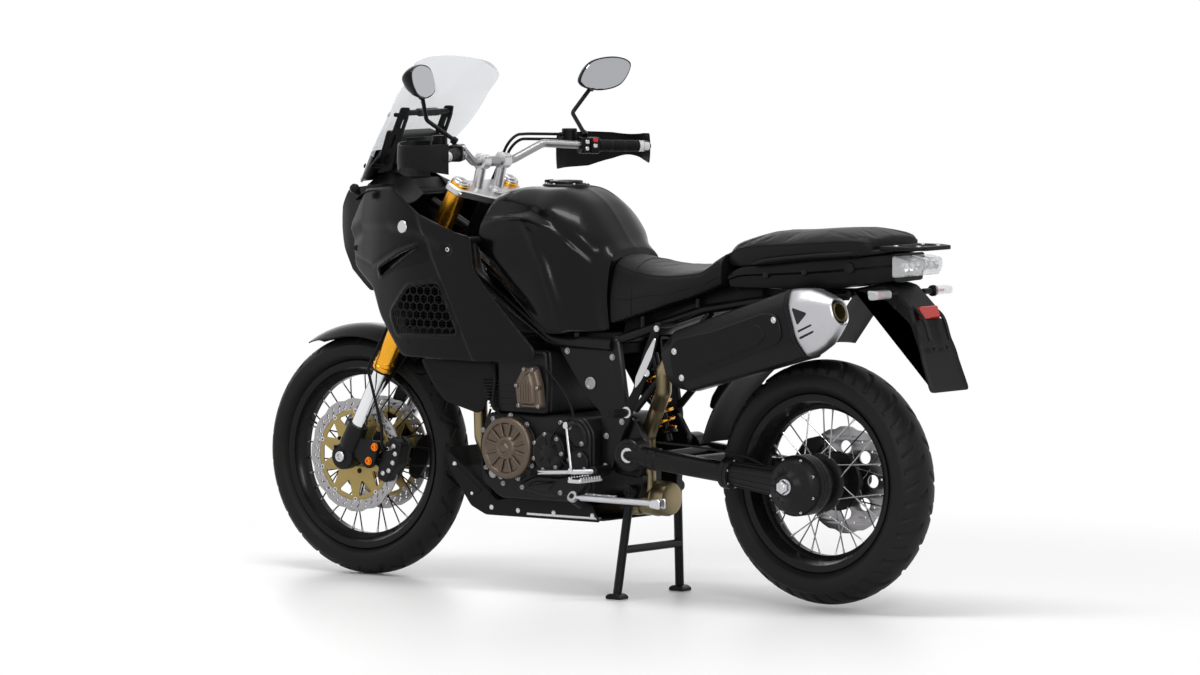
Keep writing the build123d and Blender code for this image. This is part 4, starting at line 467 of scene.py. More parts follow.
def surface_group() -> bpy.types.NodeTree:
    """The shared node group that varies a finish over its surface.

    Its noise is laid in Object coordinates at Scale points a metre. It puts out the colour with a slow change of
    tone, the roughness with a finer one, and the height of the grain. Stretch draws the noise out along Z, as
    brushing does. Dust is mixed in by the slow noise.

    Returns:
        The node group, made once.
    """
    if "surface" in bpy.data.node_groups:
        return bpy.data.node_groups["surface"]
    group = bpy.data.node_groups.new("surface", "ShaderNodeTree")
    _number(group, "Colour", True, "NodeSocketColor")
    _number(group, "Dust Colour", True, "NodeSocketColor")
    for name, value in (("Roughness", 0.5), ("Scale", 400.0), ("Tone", 0.05), ("Vary", 0.05), ("Stretch", 1.0),
                        ("Dust", 0.0)):
        _number(group, name, True, value=value)
    _number(group, "Colour", False, "NodeSocketColor")
    _number(group, "Roughness", False)
    _number(group, "Height", False)
    nodes, links = group.nodes, group.links
    source, sink = nodes.new("NodeGroupInput"), nodes.new("NodeGroupOutput")
    place_at = nodes.new("ShaderNodeTexCoord")
    stretch = nodes.new("ShaderNodeCombineXYZ")
    stretch.inputs["X"].default_value = stretch.inputs["Y"].default_value = 1.0
    links.new(source.outputs["Stretch"], stretch.inputs["Z"])
    scaled = nodes.new("ShaderNodeVectorMath")
    scaled.operation = "MULTIPLY"
    links.new(place_at.outputs["Object"], scaled.inputs[0])
    links.new(stretch.outputs[0], scaled.inputs[1])
    fine = nodes.new("ShaderNodeTexNoise")
    fine.inputs["Detail"].default_value = 3.0
    links.new(scaled.outputs[0], fine.inputs["Vector"])
    links.new(source.outputs["Scale"], fine.inputs["Scale"])
    slow = nodes.new("ShaderNodeTexNoise")
    slow.inputs["Scale"].default_value = 9.0
    slow.inputs["Detail"].default_value = 4.0
    links.new(place_at.outputs["Object"], slow.inputs["Vector"])

    def spread(value: bpy.types.NodeSocket, amount: bpy.types.NodeSocket, centre: float) -> bpy.types.NodeSocket:
        """The value less one half, times the amount, plus a centre."""
        less, times, plus = (nodes.new("ShaderNodeMath") for _ in range(3))
        less.operation, times.operation, plus.operation = "SUBTRACT", "MULTIPLY", "ADD"
        less.inputs[1].default_value, plus.inputs[1].default_value = 0.5, centre
        links.new(value, less.inputs[0])
        links.new(less.outputs[0], times.inputs[0])
        links.new(amount, times.inputs[1])
        links.new(times.outputs[0], plus.inputs[0])
        return plus.outputs[0]

    tone = nodes.new("ShaderNodeVectorMath")
    tone.operation = "SCALE"
    links.new(source.outputs["Colour"], tone.inputs[0])
    links.new(spread(slow.outputs["Fac"], source.outputs["Tone"], 1.0), tone.inputs["Scale"])
    patch = nodes.new("ShaderNodeMath")
    patch.operation = "MULTIPLY"
    links.new(slow.outputs["Fac"], patch.inputs[0])
    links.new(source.outputs["Dust"], patch.inputs[1])
    mix = nodes.new("ShaderNodeMix")
    mix.data_type = "RGBA"
    links.new(patch.outputs[0], mix.inputs["Factor"])
    links.new(tone.outputs[0], mix.inputs["A"])
    links.new(source.outputs["Dust Colour"], mix.inputs["B"])
    links.new(mix.outputs["Result"], sink.inputs["Colour"])
    rough = nodes.new("ShaderNodeMath")
    rough.operation = "ADD"
    links.new(source.outputs["Roughness"], rough.inputs[0])
    links.new(spread(fine.outputs["Fac"], source.outputs["Vary"], 0.0), rough.inputs[1])
    links.new(rough.outputs[0], sink.inputs["Roughness"])
    links.new(fine.outputs["Fac"], sink.inputs["Height"])
    return group


@dataclass(frozen=True)
class Finish:
    """One surface finish: colour, gloss and how they vary."""

    name: str
    colour: tuple[float, float, float]
    roughness: float = 0.5
    metallic: float = 0.0
    coat: float = 0.0
    grain: Grain = Grain.EVEN
    alpha: float = 1.0
    bump: float = 0.0
    scale: float = 400.0
    vary: float = 0.06
    tone: float = 0.08
    dust: float = 0.0
    glow: float = 0.0
    sheen: float = 0.5

    def material(self) -> bpy.types.Material:
        """The Blender material, made once."""
        if self.name in bpy.data.materials:
            return bpy.data.materials[self.name]
        material = bpy.data.materials.new(self.name)
        material.use_nodes = True
        nodes, links = material.node_tree.nodes, material.node_tree.links
        shader = nodes["Principled BSDF"]
        surface = nodes.new("ShaderNodeGroup")
        surface.node_tree = surface_group()
        surface.inputs["Colour"].default_value = (*self.colour, 1.0)
        surface.inputs["Dust Colour"].default_value = (0.30, 0.27, 0.23, 1.0)
        surface.inputs["Roughness"].default_value = self.roughness
        surface.inputs["Scale"].default_value = self.scale
        surface.inputs["Tone"].default_value = self.tone
        surface.inputs["Vary"].default_value = self.vary
        surface.inputs["Stretch"].default_value = self.grain.value
        surface.inputs["Dust"].default_value = self.dust
        links.new(surface.outputs["Colour"], shader.inputs["Base Color"])
        links.new(surface.outputs["Roughness"], shader.inputs["Roughness"])
        shader.inputs["Metallic"].default_value = self.metallic
        shader.inputs["Coat Weight"].default_value = self.coat
        shader.inputs["Coat Roughness"].default_value = 0.04
        shader.inputs["Specular IOR Level"].default_value = self.sheen
        shader.inputs["Alpha"].default_value = self.alpha
        if self.glow:
            shader.inputs["Emission Color"].default_value = (*self.colour, 1.0)
            shader.inputs["Emission Strength"].default_value = self.glow
        if self.bump:
            bump = nodes.new("ShaderNodeBump")
            bump.inputs["Strength"].default_value = self.bump
            bump.inputs["Distance"].default_value = 0.0006
            links.new(surface.outputs["Height"], bump.inputs["Height"])
            links.new(bump.outputs["Normal"], shader.inputs["Normal"])
        return material


GLOSS = Finish("gloss_black", (0.0022, 0.0022, 0.0026), 0.22, coat=0.08, vary=0.02, tone=0.02, sheen=0.12)
SHOULDER = Finish("shoulder_black", (0.0026, 0.0026, 0.0030), 0.22, coat=0.03, vary=0.03, tone=0.02, sheen=0.10)
SATIN = Finish("satin_black", (0.0045, 0.0045, 0.0048), 0.33, bump=0.06, scale=900.0, sheen=0.13)
MATTE = Finish("matte_black", (0.0060, 0.0060, 0.0063), 0.46, bump=0.12, scale=1100.0, sheen=0.12)
RUBBER = Finish("rubber", (0.0060, 0.0060, 0.0060), 0.52, bump=0.12, scale=700.0, sheen=0.12)
TYRE = Finish("tyre", (0.0075, 0.0075, 0.0076), 0.50, bump=0.18, scale=500.0, dust=0.015, sheen=0.15)
RIM = Finish("rim_black", (0.0040, 0.0040, 0.0045), 0.28, coat=0.05, bump=0.03, sheen=0.15)
CASTING = Finish("black_casting", (0.0075, 0.0075, 0.0080), 0.38, 0.04, bump=0.28, scale=800.0, sheen=0.17)
FRAME = Finish("frame_black", (0.0050, 0.0050, 0.0055), 0.30, coat=0.04, bump=0.05, scale=600.0, sheen=0.15)
GOLD = Finish("gold_anodised", (0.86, 0.40, 0.035), 0.26, 1.0, bump=0.04, scale=600.0)
ORANGE = Finish("orange_anodised", (0.85, 0.24, 0.02), 0.30, 1.0)
TITANIUM = Finish("titanium_grey", (0.30, 0.30, 0.31), 0.34, 0.95, bump=0.05, scale=900.0)
SPOKE = Finish("spoke_steel", (0.26, 0.26, 0.27), 0.20, 1.0, vary=0.03)
CHROME = Finish("chrome", (0.80, 0.81, 0.83), 0.08, 1.0, vary=0.03)
STEEL = Finish("steel", (0.58, 0.58, 0.60), 0.30, 1.0, bump=0.05, vary=0.12)
SILVER = Finish("silver_alloy", (0.62, 0.62, 0.63), 0.34, 0.9, bump=0.12, scale=900.0)
BRUSHED = Finish("brushed_steel", (0.50, 0.50, 0.52), 0.34, 1.0, grain=Grain.BRUSHED, bump=0.12, scale=900.0, vary=0.16)
DISC = Finish("disc_steel", (0.36, 0.35, 0.36), 0.32, 1.0, grain=Grain.BRUSHED, bump=0.10, scale=700.0, vary=0.15)
CARRIER = Finish("olive_gold", (0.36, 0.27, 0.10), 0.42, 0.85, bump=0.05)
BRONZE = Finish("bronze_cover", (0.120, 0.092, 0.070), 0.40, 0.80, bump=0.30, scale=900.0)
TINTED = Finish("tinted_steel", (0.26, 0.21, 0.12), 0.36, 0.95, bump=0.06, tone=0.5)
VINYL = Finish("seat_vinyl", (0.0060, 0.0060, 0.0062), 0.44, bump=0.30, scale=1400.0, vary=0.08, sheen=0.13)
SCREEN = Finish("clear_screen", (0.80, 0.86, 0.93), 0.05, alpha=0.26, vary=0.0, tone=0.02)
LENS = Finish("clear_lens", (0.78, 0.80, 0.82), 0.10, coat=1.0, alpha=0.45, vary=0.04)
# Red lens finish with a faint emission: a painted glow, also on the rear reflector, which is no lamp.
RED_LENS_PAINTED_GLOW = Finish("red_lens_painted_glow", (0.42, 0.012, 0.006), 0.14, coat=0.3, glow=0.15, sheen=0.3)
MIRROR = Finish("mirror", (0.40, 0.41, 0.43), 0.04, 1.0, vary=0.0, tone=0.0)
REFLECTOR = Finish("lamp_reflector", (0.72, 0.73, 0.74), 0.16, 1.0)
RED = Finish("red_switch", (0.55, 0.012, 0.012), 0.36)
# Near-black finish for painted shade: patches and a disc that stand in for the shade of a recess, slots and a pipe's
# bore.
PAINTED_SHADE = Finish("painted_shade_inside", (0.004, 0.004, 0.004), 0.80, tone=0.0)
DISPLAY = Finish("display", (0.006, 0.007, 0.008), 0.12, coat=0.1, sheen=0.15)


# ------------------------------------------------------------------ moulded panels
def inside(points: np.ndarray, outlines: Sequence[np.ndarray]) -> np.ndarray:
    """Whether each point lies in the first outline and in none of the others, by counting crossings."""
    count = np.zeros(len(points), int)
    x, y = points[:, 0][:, None], points[:, 1][:, None]
    for outline in outlines:
        a, b = outline, np.roll(outline, -1, 0)
        straddle = (a[None, :, 1] > y) != (b[None, :, 1] > y)
        rise = np.where(np.abs(b[:, 1] - a[:, 1]) < 1e-12, 1e-12, b[:, 1] - a[:, 1])
        cross = a[None, :, 0] + (y - a[None, :, 1]) / rise * (b[:, 0] - a[:, 0])
        count += np.sum(straddle & (x < cross), axis=1)
    return count % 2 == 1


def dense(outline: np.ndarray, step: float) -> np.ndarray:
    """The outline with points no further apart than a step."""
    parts = []
    for a, b in zip(outline, np.roll(outline, -1, 0)):
        count = max(1, int(np.ceil(np.linalg.norm(b - a) / step)))
        parts.append(a + (b - a) * np.linspace(0, 1, count, endpoint=False)[:, None])
    return np.concatenate(parts)


def away(points: np.ndarray, line: Sequence[Sequence[float]], closed: bool = False) -> np.ndarray:
    """Distance of each flat point from a line of straight runs."""
    line = np.asarray(line, float)
    a = line if closed else line[:-1]
    b = np.roll(line, -1, 0) if closed else line[1:]
    run = b - a
    share = np.clip(np.sum((points[:, None] - a) * run, -1) / np.maximum(np.sum(run * run, -1), 1e-9), 0, 1)
    return np.min(np.linalg.norm(points[:, None] - a - run * share[..., None], axis=-1), axis=1)


def arc_radius(half: np.ndarray | float, rise: np.ndarray | float) -> np.ndarray | float:
    """Radius of the circle whose arc has this half chord and this rise."""
    return (half**2 + rise**2) / (2 * rise)


def ease_step(value: np.ndarray, low: float, high: float) -> np.ndarray:
    """Zero below low, one above high and smooth between them."""
    t = np.clip((value - low) / (high - low), 0, 1)
    return t * t * (3 - 2 * t)


class Panel:
    """A moulded panel: a flat outline with holes, meshed finely and lifted by a relief function."""

    def __init__(self, outlines: Sequence[Sequence[Sequence[float]]], step: float = 7.0) -> None:
        """Mesh the outline by constrained triangulation of its edge points and a grid of inner points.

        Args:
            outlines: The outer outline first, then the holes.
            step: Distance between neighbouring points, in millimetres.
        """
        rims = [dense(np.asarray(o, float), step) for o in outlines]
        low, high = rims[0].min(0), rims[0].max(0)
        rows = np.arange(low[1] + step / 2, high[1], step * 0.87)
        grid = []
        for k, row in enumerate(rows):
            xs = np.arange(low[0] + step / 2 * (k % 2), high[0], step)
            grid.append(np.stack([xs, np.full(len(xs), row)], 1))
        grid = np.concatenate(grid)
        grid = grid[inside(grid, rims)]
        near = np.min([away(grid, rim, closed=True) for rim in rims], axis=0)
        grid = grid[near > step * 0.55]
        edges, start = [], 0
        for rim in rims:
            index = np.arange(len(rim)) + start
            edges += np.stack([index, np.roll(index, -1)], 1).tolist()
            start += len(rim)
        flat = np.concatenate([*rims, grid])
        done = delaunay_2d_cdt([Vector(p) for p in flat], edges, [], 0, 1e-5)
        self.flat = np.array([tuple(p) for p in done[0]])
        faces = np.array(done[2])
        self.faces = faces[inside(self.flat[faces].mean(1), rims)]
        pairs = np.concatenate([self.faces[:, [0, 1]], self.faces[:, [1, 2]], self.faces[:, [2, 0]]])
        key = np.sort(pairs, axis=1)
        _, first, count = np.unique(key, axis=0, return_index=True, return_counts=True)
        self.border = pairs[first[count == 1]]
        self.rims = rims

    def from_rim(self, which: int | None = None) -> np.ndarray:
        """Distance of every point from one outline, or from the nearest."""
        chosen = self.rims if which is None else [self.rims[which]]
        return np.min([away(self.flat, rim, closed=True) for rim in chosen], axis=0)

    def skin(self, shape: Shape, outer: np.ndarray, inner: np.ndarray) -> None:
        """Add the panel to a shape, given where its outer and inner points lie."""
        count = len(self.flat)
        a, b = self.border[:, 0], self.border[:, 1]
        walls = np.stack([b, a, a + count, b + count], 1)
        shape.add(np.concatenate([outer, inner]), [self.faces, self.faces[:, ::-1] + count, walls])

    def sideways(self, shape: Shape, y: np.ndarray, thick: float, side: int, curl: float = 0.0) -> None:
        """Stand the panel up on its side: its flat x and y become x and z, and y says how far out each point is.

        Args:
            shape: Shape to add it to.
            y: Distance from the middle of the bike to the outer face, for each point.
            thick: Thickness.
            side: 1 for the left, -1 for the right.
            curl: How far the edge is rolled inwards.
        """
        if curl:
            y = y - curl * (1 - ease_step(self.from_rim(), 0.0, curl * 1.6)) ** 2
        outer = np.stack([self.flat[:, 0], side * y, self.flat[:, 1]], 1)
        inner = np.stack([self.flat[:, 0], side * (y - thick), self.flat[:, 1]], 1)
        self.skin(shape, outer, inner)


# ------------------------------------------------------------------ front end
class Fork:
    """Fork legs, clamps, calipers and fender, all on the steering body."""

    body = "steering"

    def build(self) -> None:
        """Make all of its pieces."""
        self.legs()
        self.clamps()
        self.calipers()
        self.fender()
        self.hoses()

    def legs(self) -> None:
        """Gold sleeves with a stepped collar, chrome sliders, black lugs and the axle through them."""
        sleeves, tubes, lugs, seals = Shape(), Shape(), Shape(), Shape()
        caps = Shape()
        for side in SIDES:
            y = side * FORK_SPREAD
            base = fork_point(0, y)
            sleeves.lathe(base, UP, [(275, 23), (275.6, 28.6), (277, 29.4), (287, 29.4), (288.5, 28.2), (289, 27.2),
                                     (291, 27.2), (291.6, 28.6), (299, 28.8), (301, 27.4), (310, 26.9), (420, 26.9),
                                     (421, 26.2), (423, 26.2), (424, 26.9), (856, 26.9), (858, 25.5)], 64)
            seals.lathe(base, UP, [(268, 21.6), (268.5, 25.6), (275.2, 25.8), (275.4, 21.6)], 48)
            tubes.lathe(base, UP, [(98, 21.4), (277, 21.4)], 64)
            lugs.lathe(base, UP, [(22, 20), (26, 27), (36, 28.8), (88, 28.8), (94, 27.6), (96, 28.4), (99.5, 28.2),
                                  (100, 21.8)], 56)
            lugs.lathe(FRONT_AXLE + ACROSS * (y - 19), ACROSS, [(0, 30), (2, 34.5), (5, 35.8), (33, 35.8), (36, 34.5),
                                                                 (38, 30), (38, 16), (34, 15.6)], 48)
            shape = [fork_flat(70, -6), fork_flat(20, -6), fork_flat(10, -88), fork_flat(30, -100), fork_flat(95, -88)]
            low, high = sorted((y - 9, y + 9))
            lugs.slab(shape, low, high, 14, 3.0)
            for height in (34.0, 62.0):
                lugs.bolt(fork_point(height - 22, y + side * 17, 30), AHEAD, 4.5, 5)
            caps.lathe(base, UP, [(855, 25), (862, 25), (864, 23), (864, 17)], 40)
            caps.lathe(base, UP, [(860, 16.8), (867, 16.8), (868, 15.6)], 6)
            caps.lathe(base, UP, [(862, 7), (868, 7)], 16)
        sleeves.build("fork_sleeves_gold", GOLD, self.body, ["fork_sleeves"])
        seals.build("fork_seals", RUBBER, self.body)
        tubes.build("fork_sliders", CHROME, self.body, ["fork_tubes"])
        lugs.build("fork_lugs", CASTING, self.body, ["fork_bottoms"])
        caps.build("fork_caps", STEEL, self.body)
        axle = Shape().rod(FRONT_AXLE - ACROSS * 128, FRONT_AXLE + ACROSS * 128, 9.9)
        for side in SIDES:
            foot = FRONT_AXLE + ACROSS * side * 124
            axle.lathe(foot, ACROSS * side, [(0, 14.6), (8, 14.6), (9.6, 13.4), (9.8, 8.4), (5, 8)], 40)
            near, far = 59.6, 85.6
            axle.rod(FRONT_AXLE + ACROSS * side * near, FRONT_AXLE + ACROSS * side * far, 17.8)
        axle.build("front_axle_bar", STEEL, self.body, ["front_axle"])

    def clamps(self) -> None:
        """Forged clamps with their pinch bolts, the stem and the bar's risers."""
        metal, bolts = Shape(), Shape()
        outline = rounded([(-138, 22), (-118, 33), (-60, 24), (60, 24), (118, 33), (138, 22), (138, -24), (112, -34),
                           (38, -76), (-38, -76), (-112, -34), (-138, -24)], 14)
        for low, high, grow in ((560.0, 600.0, 1.0), (828.0, 850.0, 0.985)):
            metal.prism(outline * grow, fork_point(0), -ACROSS, AHEAD, low, high, 3.5)
        metal.rod(fork_point(560, 0, -43.2), fork_point(860, 0, -43.2), 15)
        metal.lathe(fork_point(850, 0, -43.2), UP, [(0, 22), (6, 22), (8, 20)], 6)
        for side in SIDES:
            foot = fork_point(846, side * 45, -14)
            top = np.array([368.0, side * 45.0, 1141.0])
            metal.rod(foot, top, 14.6, 13.6, sides=28)
            metal.lathe(top - ACROSS * 15.5, ACROSS, [(0, 18), (1.5, 21), (29.5, 21), (31, 18)], 40)
            rise = unit(top - foot)
            first = unit(np.cross(ACROSS, rise))
            for ahead in (-14, 14):
                bolts.bolt(top + first * ahead + rise * 16 + ACROSS * 7, rise, 4.2, 4, washer=False)
                bolts.bolt(top + first * ahead + rise * 16 - ACROSS * 7, rise, 4.2, 4, washer=False)
            for height in (570.0, 590.0, 839.0):
                bolts.bolt(fork_point(height, side * 128, -26), -AHEAD, 4.5, 6)
        metal.build("fork_clamps", SILVER, self.body, ["triple_clamps"])
        bolts.build("clamp_bolts", STEEL, self.body)
        guide = Shape().prism(rounded([(80, 28), (80, 50), (123, 50), (123, 28)], 5), fork_point(0), -ACROSS, AHEAD,
                              574, 582, 1.0)
        guide.build("hose_guide", FRAME, self.body)

    def calipers(self) -> None:
        """Four-piston calipers: a split body over the disc with its bolts and the gold fixing bolts."""
        bodies, bolts, gold = Shape(), Shape(), Shape()
        outline = [fork_flat(62 + a, -122 + b) for a, b in ((-62, -26), (-66, 8), (-30, 22), (34, 24), (66, 14),
                                                             (60, -22), (0, -34))]
        for side in SIDES:
            for low, high in ((66.5, 93.0), (41.0, 56.0)):
                edge = sorted((side * low, side * high))
                bodies.slab(outline, *edge, 12, 3.5)
            bridge = [fork_flat(62 + a, -122 + b) for a, b in ((-58, -24), (-60, -12), (0, -22), (58, -10), (56, -20),
                                                                (0, -33))]
            edge = sorted((side * 52.0, side * 70.0))
            bodies.slab(bridge, *edge, 4, 1.0)
            for height, ahead in ((20, -4), (104, -2), (62, -20), (36, -18), (88, -16)):
                at = fork_point(height, side * 93, -122 + ahead)
                bolts.bolt(at, ACROSS * side, 5.0, 4.0)
            for height in (44, 82):
                at = fork_point(height, side * 92.0, -122 + 2)
                bodies.lathe(at, ACROSS * side, [(0, 17), (1.5, 15.8)], 32)
            for height in (34, 78):
                start = fork_point(height, side * 95.7, -82)
                bodies.rod(start, start - ACROSS * side * 14, 7.6)
                gold.bolt(fork_point(height, side * 114.4, -82), ACROSS * side, 8.6, 7.0)
                edge = sorted((side * 80.5, side * 89.5))
                corners_at = [(height - 9, 12), (height + 9, 12), (height + 9, 44), (height - 9, 44)]
                bodies.slab([fork_flat(a, -122 + b) for a, b in corners_at], *edge, 4, 1.0)
        bodies.build("caliper_bodies", CASTING, self.body, ["front_calipers"])
        bolts.build("caliper_bolts", STEEL, self.body)
        gold.build("caliper_fixings", ORANGE, self.body)

    def fender(self) -> None:
        """The front fender.

        Its crown is swept round the axle: at angle a the section is an arc of the wheel's width whose middle stands
        on a radius that dips a little at both ends, with a soft ridge along the middle.
        """
        angle = np.radians(np.linspace(57.6, 127.4, 56))[:, None]
        share = (angle - angle[0]) / (angle[-1] - angle[0])
        t = np.linspace(-1, 1, 41)[None, :]
        narrow = 1 - 0.50 * np.clip(1 - share * 3.2, 0, 1) ** 2 - 0.16 * np.clip(share * 3 - 2, 0, 1) ** 2
        half = 67.6 * narrow
        radius = 359.5 - 34.0 * np.abs(t * narrow) ** 2.1 - 2.0 * np.exp(-((t / 0.22) ** 2)) + 1.2
        outer = np.stack(np.broadcast_arrays(796 + np.cos(angle) * radius, t * half, 329 + np.sin(angle) * radius), -1)
        inner_radius = radius - 3.0
        inner = np.stack(np.broadcast_arrays(796 + np.cos(angle) * inner_radius, t * (half - 1.5),
                                             329 + np.sin(angle) * inner_radius), -1)
        shell = Shape().loft(np.concatenate([outer, inner[:, ::-1]], 1))
        leg = [fork_flat(345, 58), fork_flat(347, 20), fork_flat(343, -36), fork_flat(290, -24), fork_flat(120, 18),
               fork_flat(88, 22), fork_flat(88, 44), fork_flat(230, 50)]
        bolts = Shape()
        for side in SIDES:
            edge = sorted((side * 65.2, side * 69.8))
            shell.slab(leg, *edge, 12, 1.2)
            shell.rod(fork_point(92, side * 69, 35.3), fork_point(92, side * 98.5, 35.3), 5.8)
            for height, ahead in ((300, 14), (200, 34), (120, 34)):
                bolts.bolt(fork_point(height, side * 69.8, ahead), ACROSS * side, 5.0, 2.6)
        shell.build("fender_shell", SATIN, self.body, ["front_fender"], sharp=40)
        bolts.build("fender_bolts", CASTING, self.body)

    def hoses(self) -> None:
        """The two brake hoses' crimped ends; the hoses themselves are the CAD's."""
        ends = Shape()
        for side in SIDES:
            foot = fork_point(96, side * 94.5, -122)
            ends.rod(foot, foot + ACROSS * side * 20, 5.2)
        ends.build("hose_ends", STEEL, self.body)


def fork_flat(height: float, ahead: float) -> tuple[float, float]:
    """A side-view point by its height along the fork and its distance ahead of it."""
    point = fork_point(height, 0, ahead)
    return float(point[0]), float(point[2])


class Cockpit:
    """Handlebar, grips, switches, guards and mirrors."""

    body = "steering"

    def build(self) -> None:
        """Make all of its pieces."""
        self.bar()
        self.controls()
        self.guards()
        self.mirrors()

    def bar(self) -> None:
        """The bar, thick at its clamps, with ribbed grips and end weights."""
        high, low = np.array([336.0, 178.0, 1184.0]), np.array([368.0, 84.0, 1141.0])
        half = [GRIP_END, GRIP_START, high, low]
        path = bent(half + [flip(p, -1) for p in reversed(half)], 40, 9)
        bar = Shape().tube(path, 11.0, 28)
        bar.lathe((368, -66, 1141), ACROSS, [(0, 11), (8, 14.2), (124, 14.2), (132, 11)], 40)
        bar.build("bar_tube", TITANIUM, self.body, ["handlebar"])
        grips, weights = Shape(), Shape()
        start = GRIP_RUN - 118.0
        t = np.linspace(0, 116, 233)
        ribs = 15.2 + 0.9 * (np.sin(t * 2 * np.pi / 5.0) > -0.2) * (np.abs((t % 38) - 19) < 15)
        ribs[:9] = 16.4
        ribs[-6:] = 16.4
        for side in SIDES:
            along = grip_point(1, side) - grip_point(0, side)
            grips.lathe(grip_point(start, side), along, np.stack([t, ribs], 1), 40)
            weights.lathe(grip_point(start + 118, side), along,
                          [(0, 12), (0.5, 15.2), (9, 15.2), (10, 13.4), (13, 13.4), (14, 15.2), (28, 15.0), (30, 13.4),
                           (30, 6), (27, 5.6)], 36)
        grips.build("grip_rubbers", RUBBER, self.body, ["grips"], sharp=50)
        weights.build("bar_end_weights", STEEL, self.body)

    def controls(self) -> None:
        """Switch pods in two halves, buttons, levers, reservoirs and their caps."""
        pods, levers, caps, buttons, red = Shape(), Shape(), Shape(), Shape(), Shape()
        pod_end = GRIP_RUN - 120.0
        for side in SIDES:
            along = grip_point(1, side) - grip_point(0, side)
            up = np.array([0.0, 0.0, 1.0])
            up = unit(up - along * (along @ up))
            ahead = np.cross(up, along) * side
            ahead *= np.sign(ahead @ (grip_point(0, side, 10) - grip_point(0, side)))
            outline = rounded([(-20.5, -22.5), (20.5, -22.5), (20.5, 22.5), (-20.5, 22.5)], 11, 7)
            origin = grip_point(0, side)
            flat = np.cross(ahead, up) @ along
            for low, high in ((-29.5, -4.0), (-3.0, pod_end - 0.5)):
                pods.prism(outline, origin, ahead, up, low * flat, high * flat, 3.0)
            for k, (at, rise, wide) in enumerate(((8, 15, 7), (8, 0, 6), (-16, 10, 6), (-16, -8, 5))):
                centre = grip_point(at, side) - ahead * 20 + up * rise
                target = red if side < 0 and k == 0 else buttons
                target.prism(rounded([(-wide, -5), (wide, -5), (wide, 5), (-wide, 5)], 3), centre, along * side, up,
                             -2.0, 4.5, 1.0)
                target.prism(rounded([(-wide, -5), (wide, -5), (wide, 5), (-wide, 5)], 3), centre, along * side, up,
                             2.0, -4.5, 1.0)
            blade = bent([grip_point(-16, side, 34, -2), grip_point(30, side, 61, -4),
                          grip_point(GRIP_RUN - 8, side, 71, -8)], 60)
            radii = np.interp(np.linspace(0, 1, len(blade)), [0, 0.2, 0.9, 1.0], [6.0, 5.4, 4.6, 5.0])
            levers.tube(blade, radii, 18)
            levers.lathe(grip_point(-16, side, 34, -11), up, [(0, 9), (1, 10), (17, 10), (18, 9)], 24)
            pods.rod(grip_point(-16, side, 16, -2), grip_point(-16, side, 46, -2), 8.6)
            pods.rod(grip_point(-16, side, 40, 0), grip_point(-36, side, 52, 8), 8.6)
            foot = grip_point(-36, side, 52, 4)
            pods.lathe(foot, (0, 0, 1), [(0, 17), (3, 20.4), (33, 20.6)], 40)
            caps.lathe(foot, (0, 0, 1), [(33, 20.8), (38, 20.8), (40, 19), (40, 6)], 40)
        for rise in (14.0, 28.0):
            levers.rod(grip_point(-36, -1, 52, rise), grip_point(-66, -1, 52, rise), 5.4)
        pods.build("switch_pods", SATIN, self.body, ["bar_controls"])
        levers.build("bar_levers", CASTING, self.body)
        caps.build("reservoir_caps", MATTE, self.body)
        buttons.build("switch_buttons", STEEL, self.body)
        red.build("kill_switch", RED, self.body)

    def guards(self) -> None:
        """The hand guards.

        In plan the guard follows a smooth line from the bar end round the front of the grip; its lower and upper
        edges are curves of the distance along that line, and a raised rib runs along its middle.
        """
        shell = Shape()
        for side in SIDES:
            plan = [grip_point(GRIP_RUN + 33.5, side, -10), grip_point(GRIP_RUN + 39, side, 60),
                    grip_point(GRIP_RUN + 20, side, 118), grip_point(GRIP_RUN - 34, side, 141),
                    grip_point(30, side, 129), grip_point(-22, side, 119), grip_point(-62, side, 86)]
            line = smooth_line([p[:2] for p in plan], 12)
            reach = np.abs(line[:, 1])
            low = np.interp(reach, [175, 250, 400, 470, 500], [1124, 1108, 1114, 1132, 1146]) + 1.0
            high = np.interp(reach, [175, 250, 400, 470, 500], [1184, 1206, 1210, 1206, 1200]) - 1.0
            step = np.gradient(line, axis=0)
            out = np.stack([step[:, 1], -step[:, 0]], 1) * side
            out /= np.linalg.norm(out, axis=1, keepdims=True)
            centre = line.mean(0)
            out *= np.sign(np.sum(out * (line - centre), axis=1))[:, None]
            t = np.linspace(0, 1, 25)[None, :]
            bulge = 3.0 * np.sin(np.pi * t) ** 0.7 - 4.0
            z = low[:, None] + (high - low)[:, None] * t
            faces = []
            for depth in (0.0, -3.0):
                flat = line[:, None] + out[:, None] * (bulge + depth)[..., None]
                faces.append(np.concatenate([flat, z[..., None]], -1))
            shell.loft(np.concatenate([faces[0], faces[1][:, ::-1]], 1))
            seat = grip_point(GRIP_RUN + 30.3, side)
            shell.rod(seat, grip_point(GRIP_RUN + 36, side), 8.0)
        shell.build("guard_shells", MATTE, self.body, ["hand_guards"], sharp=45)

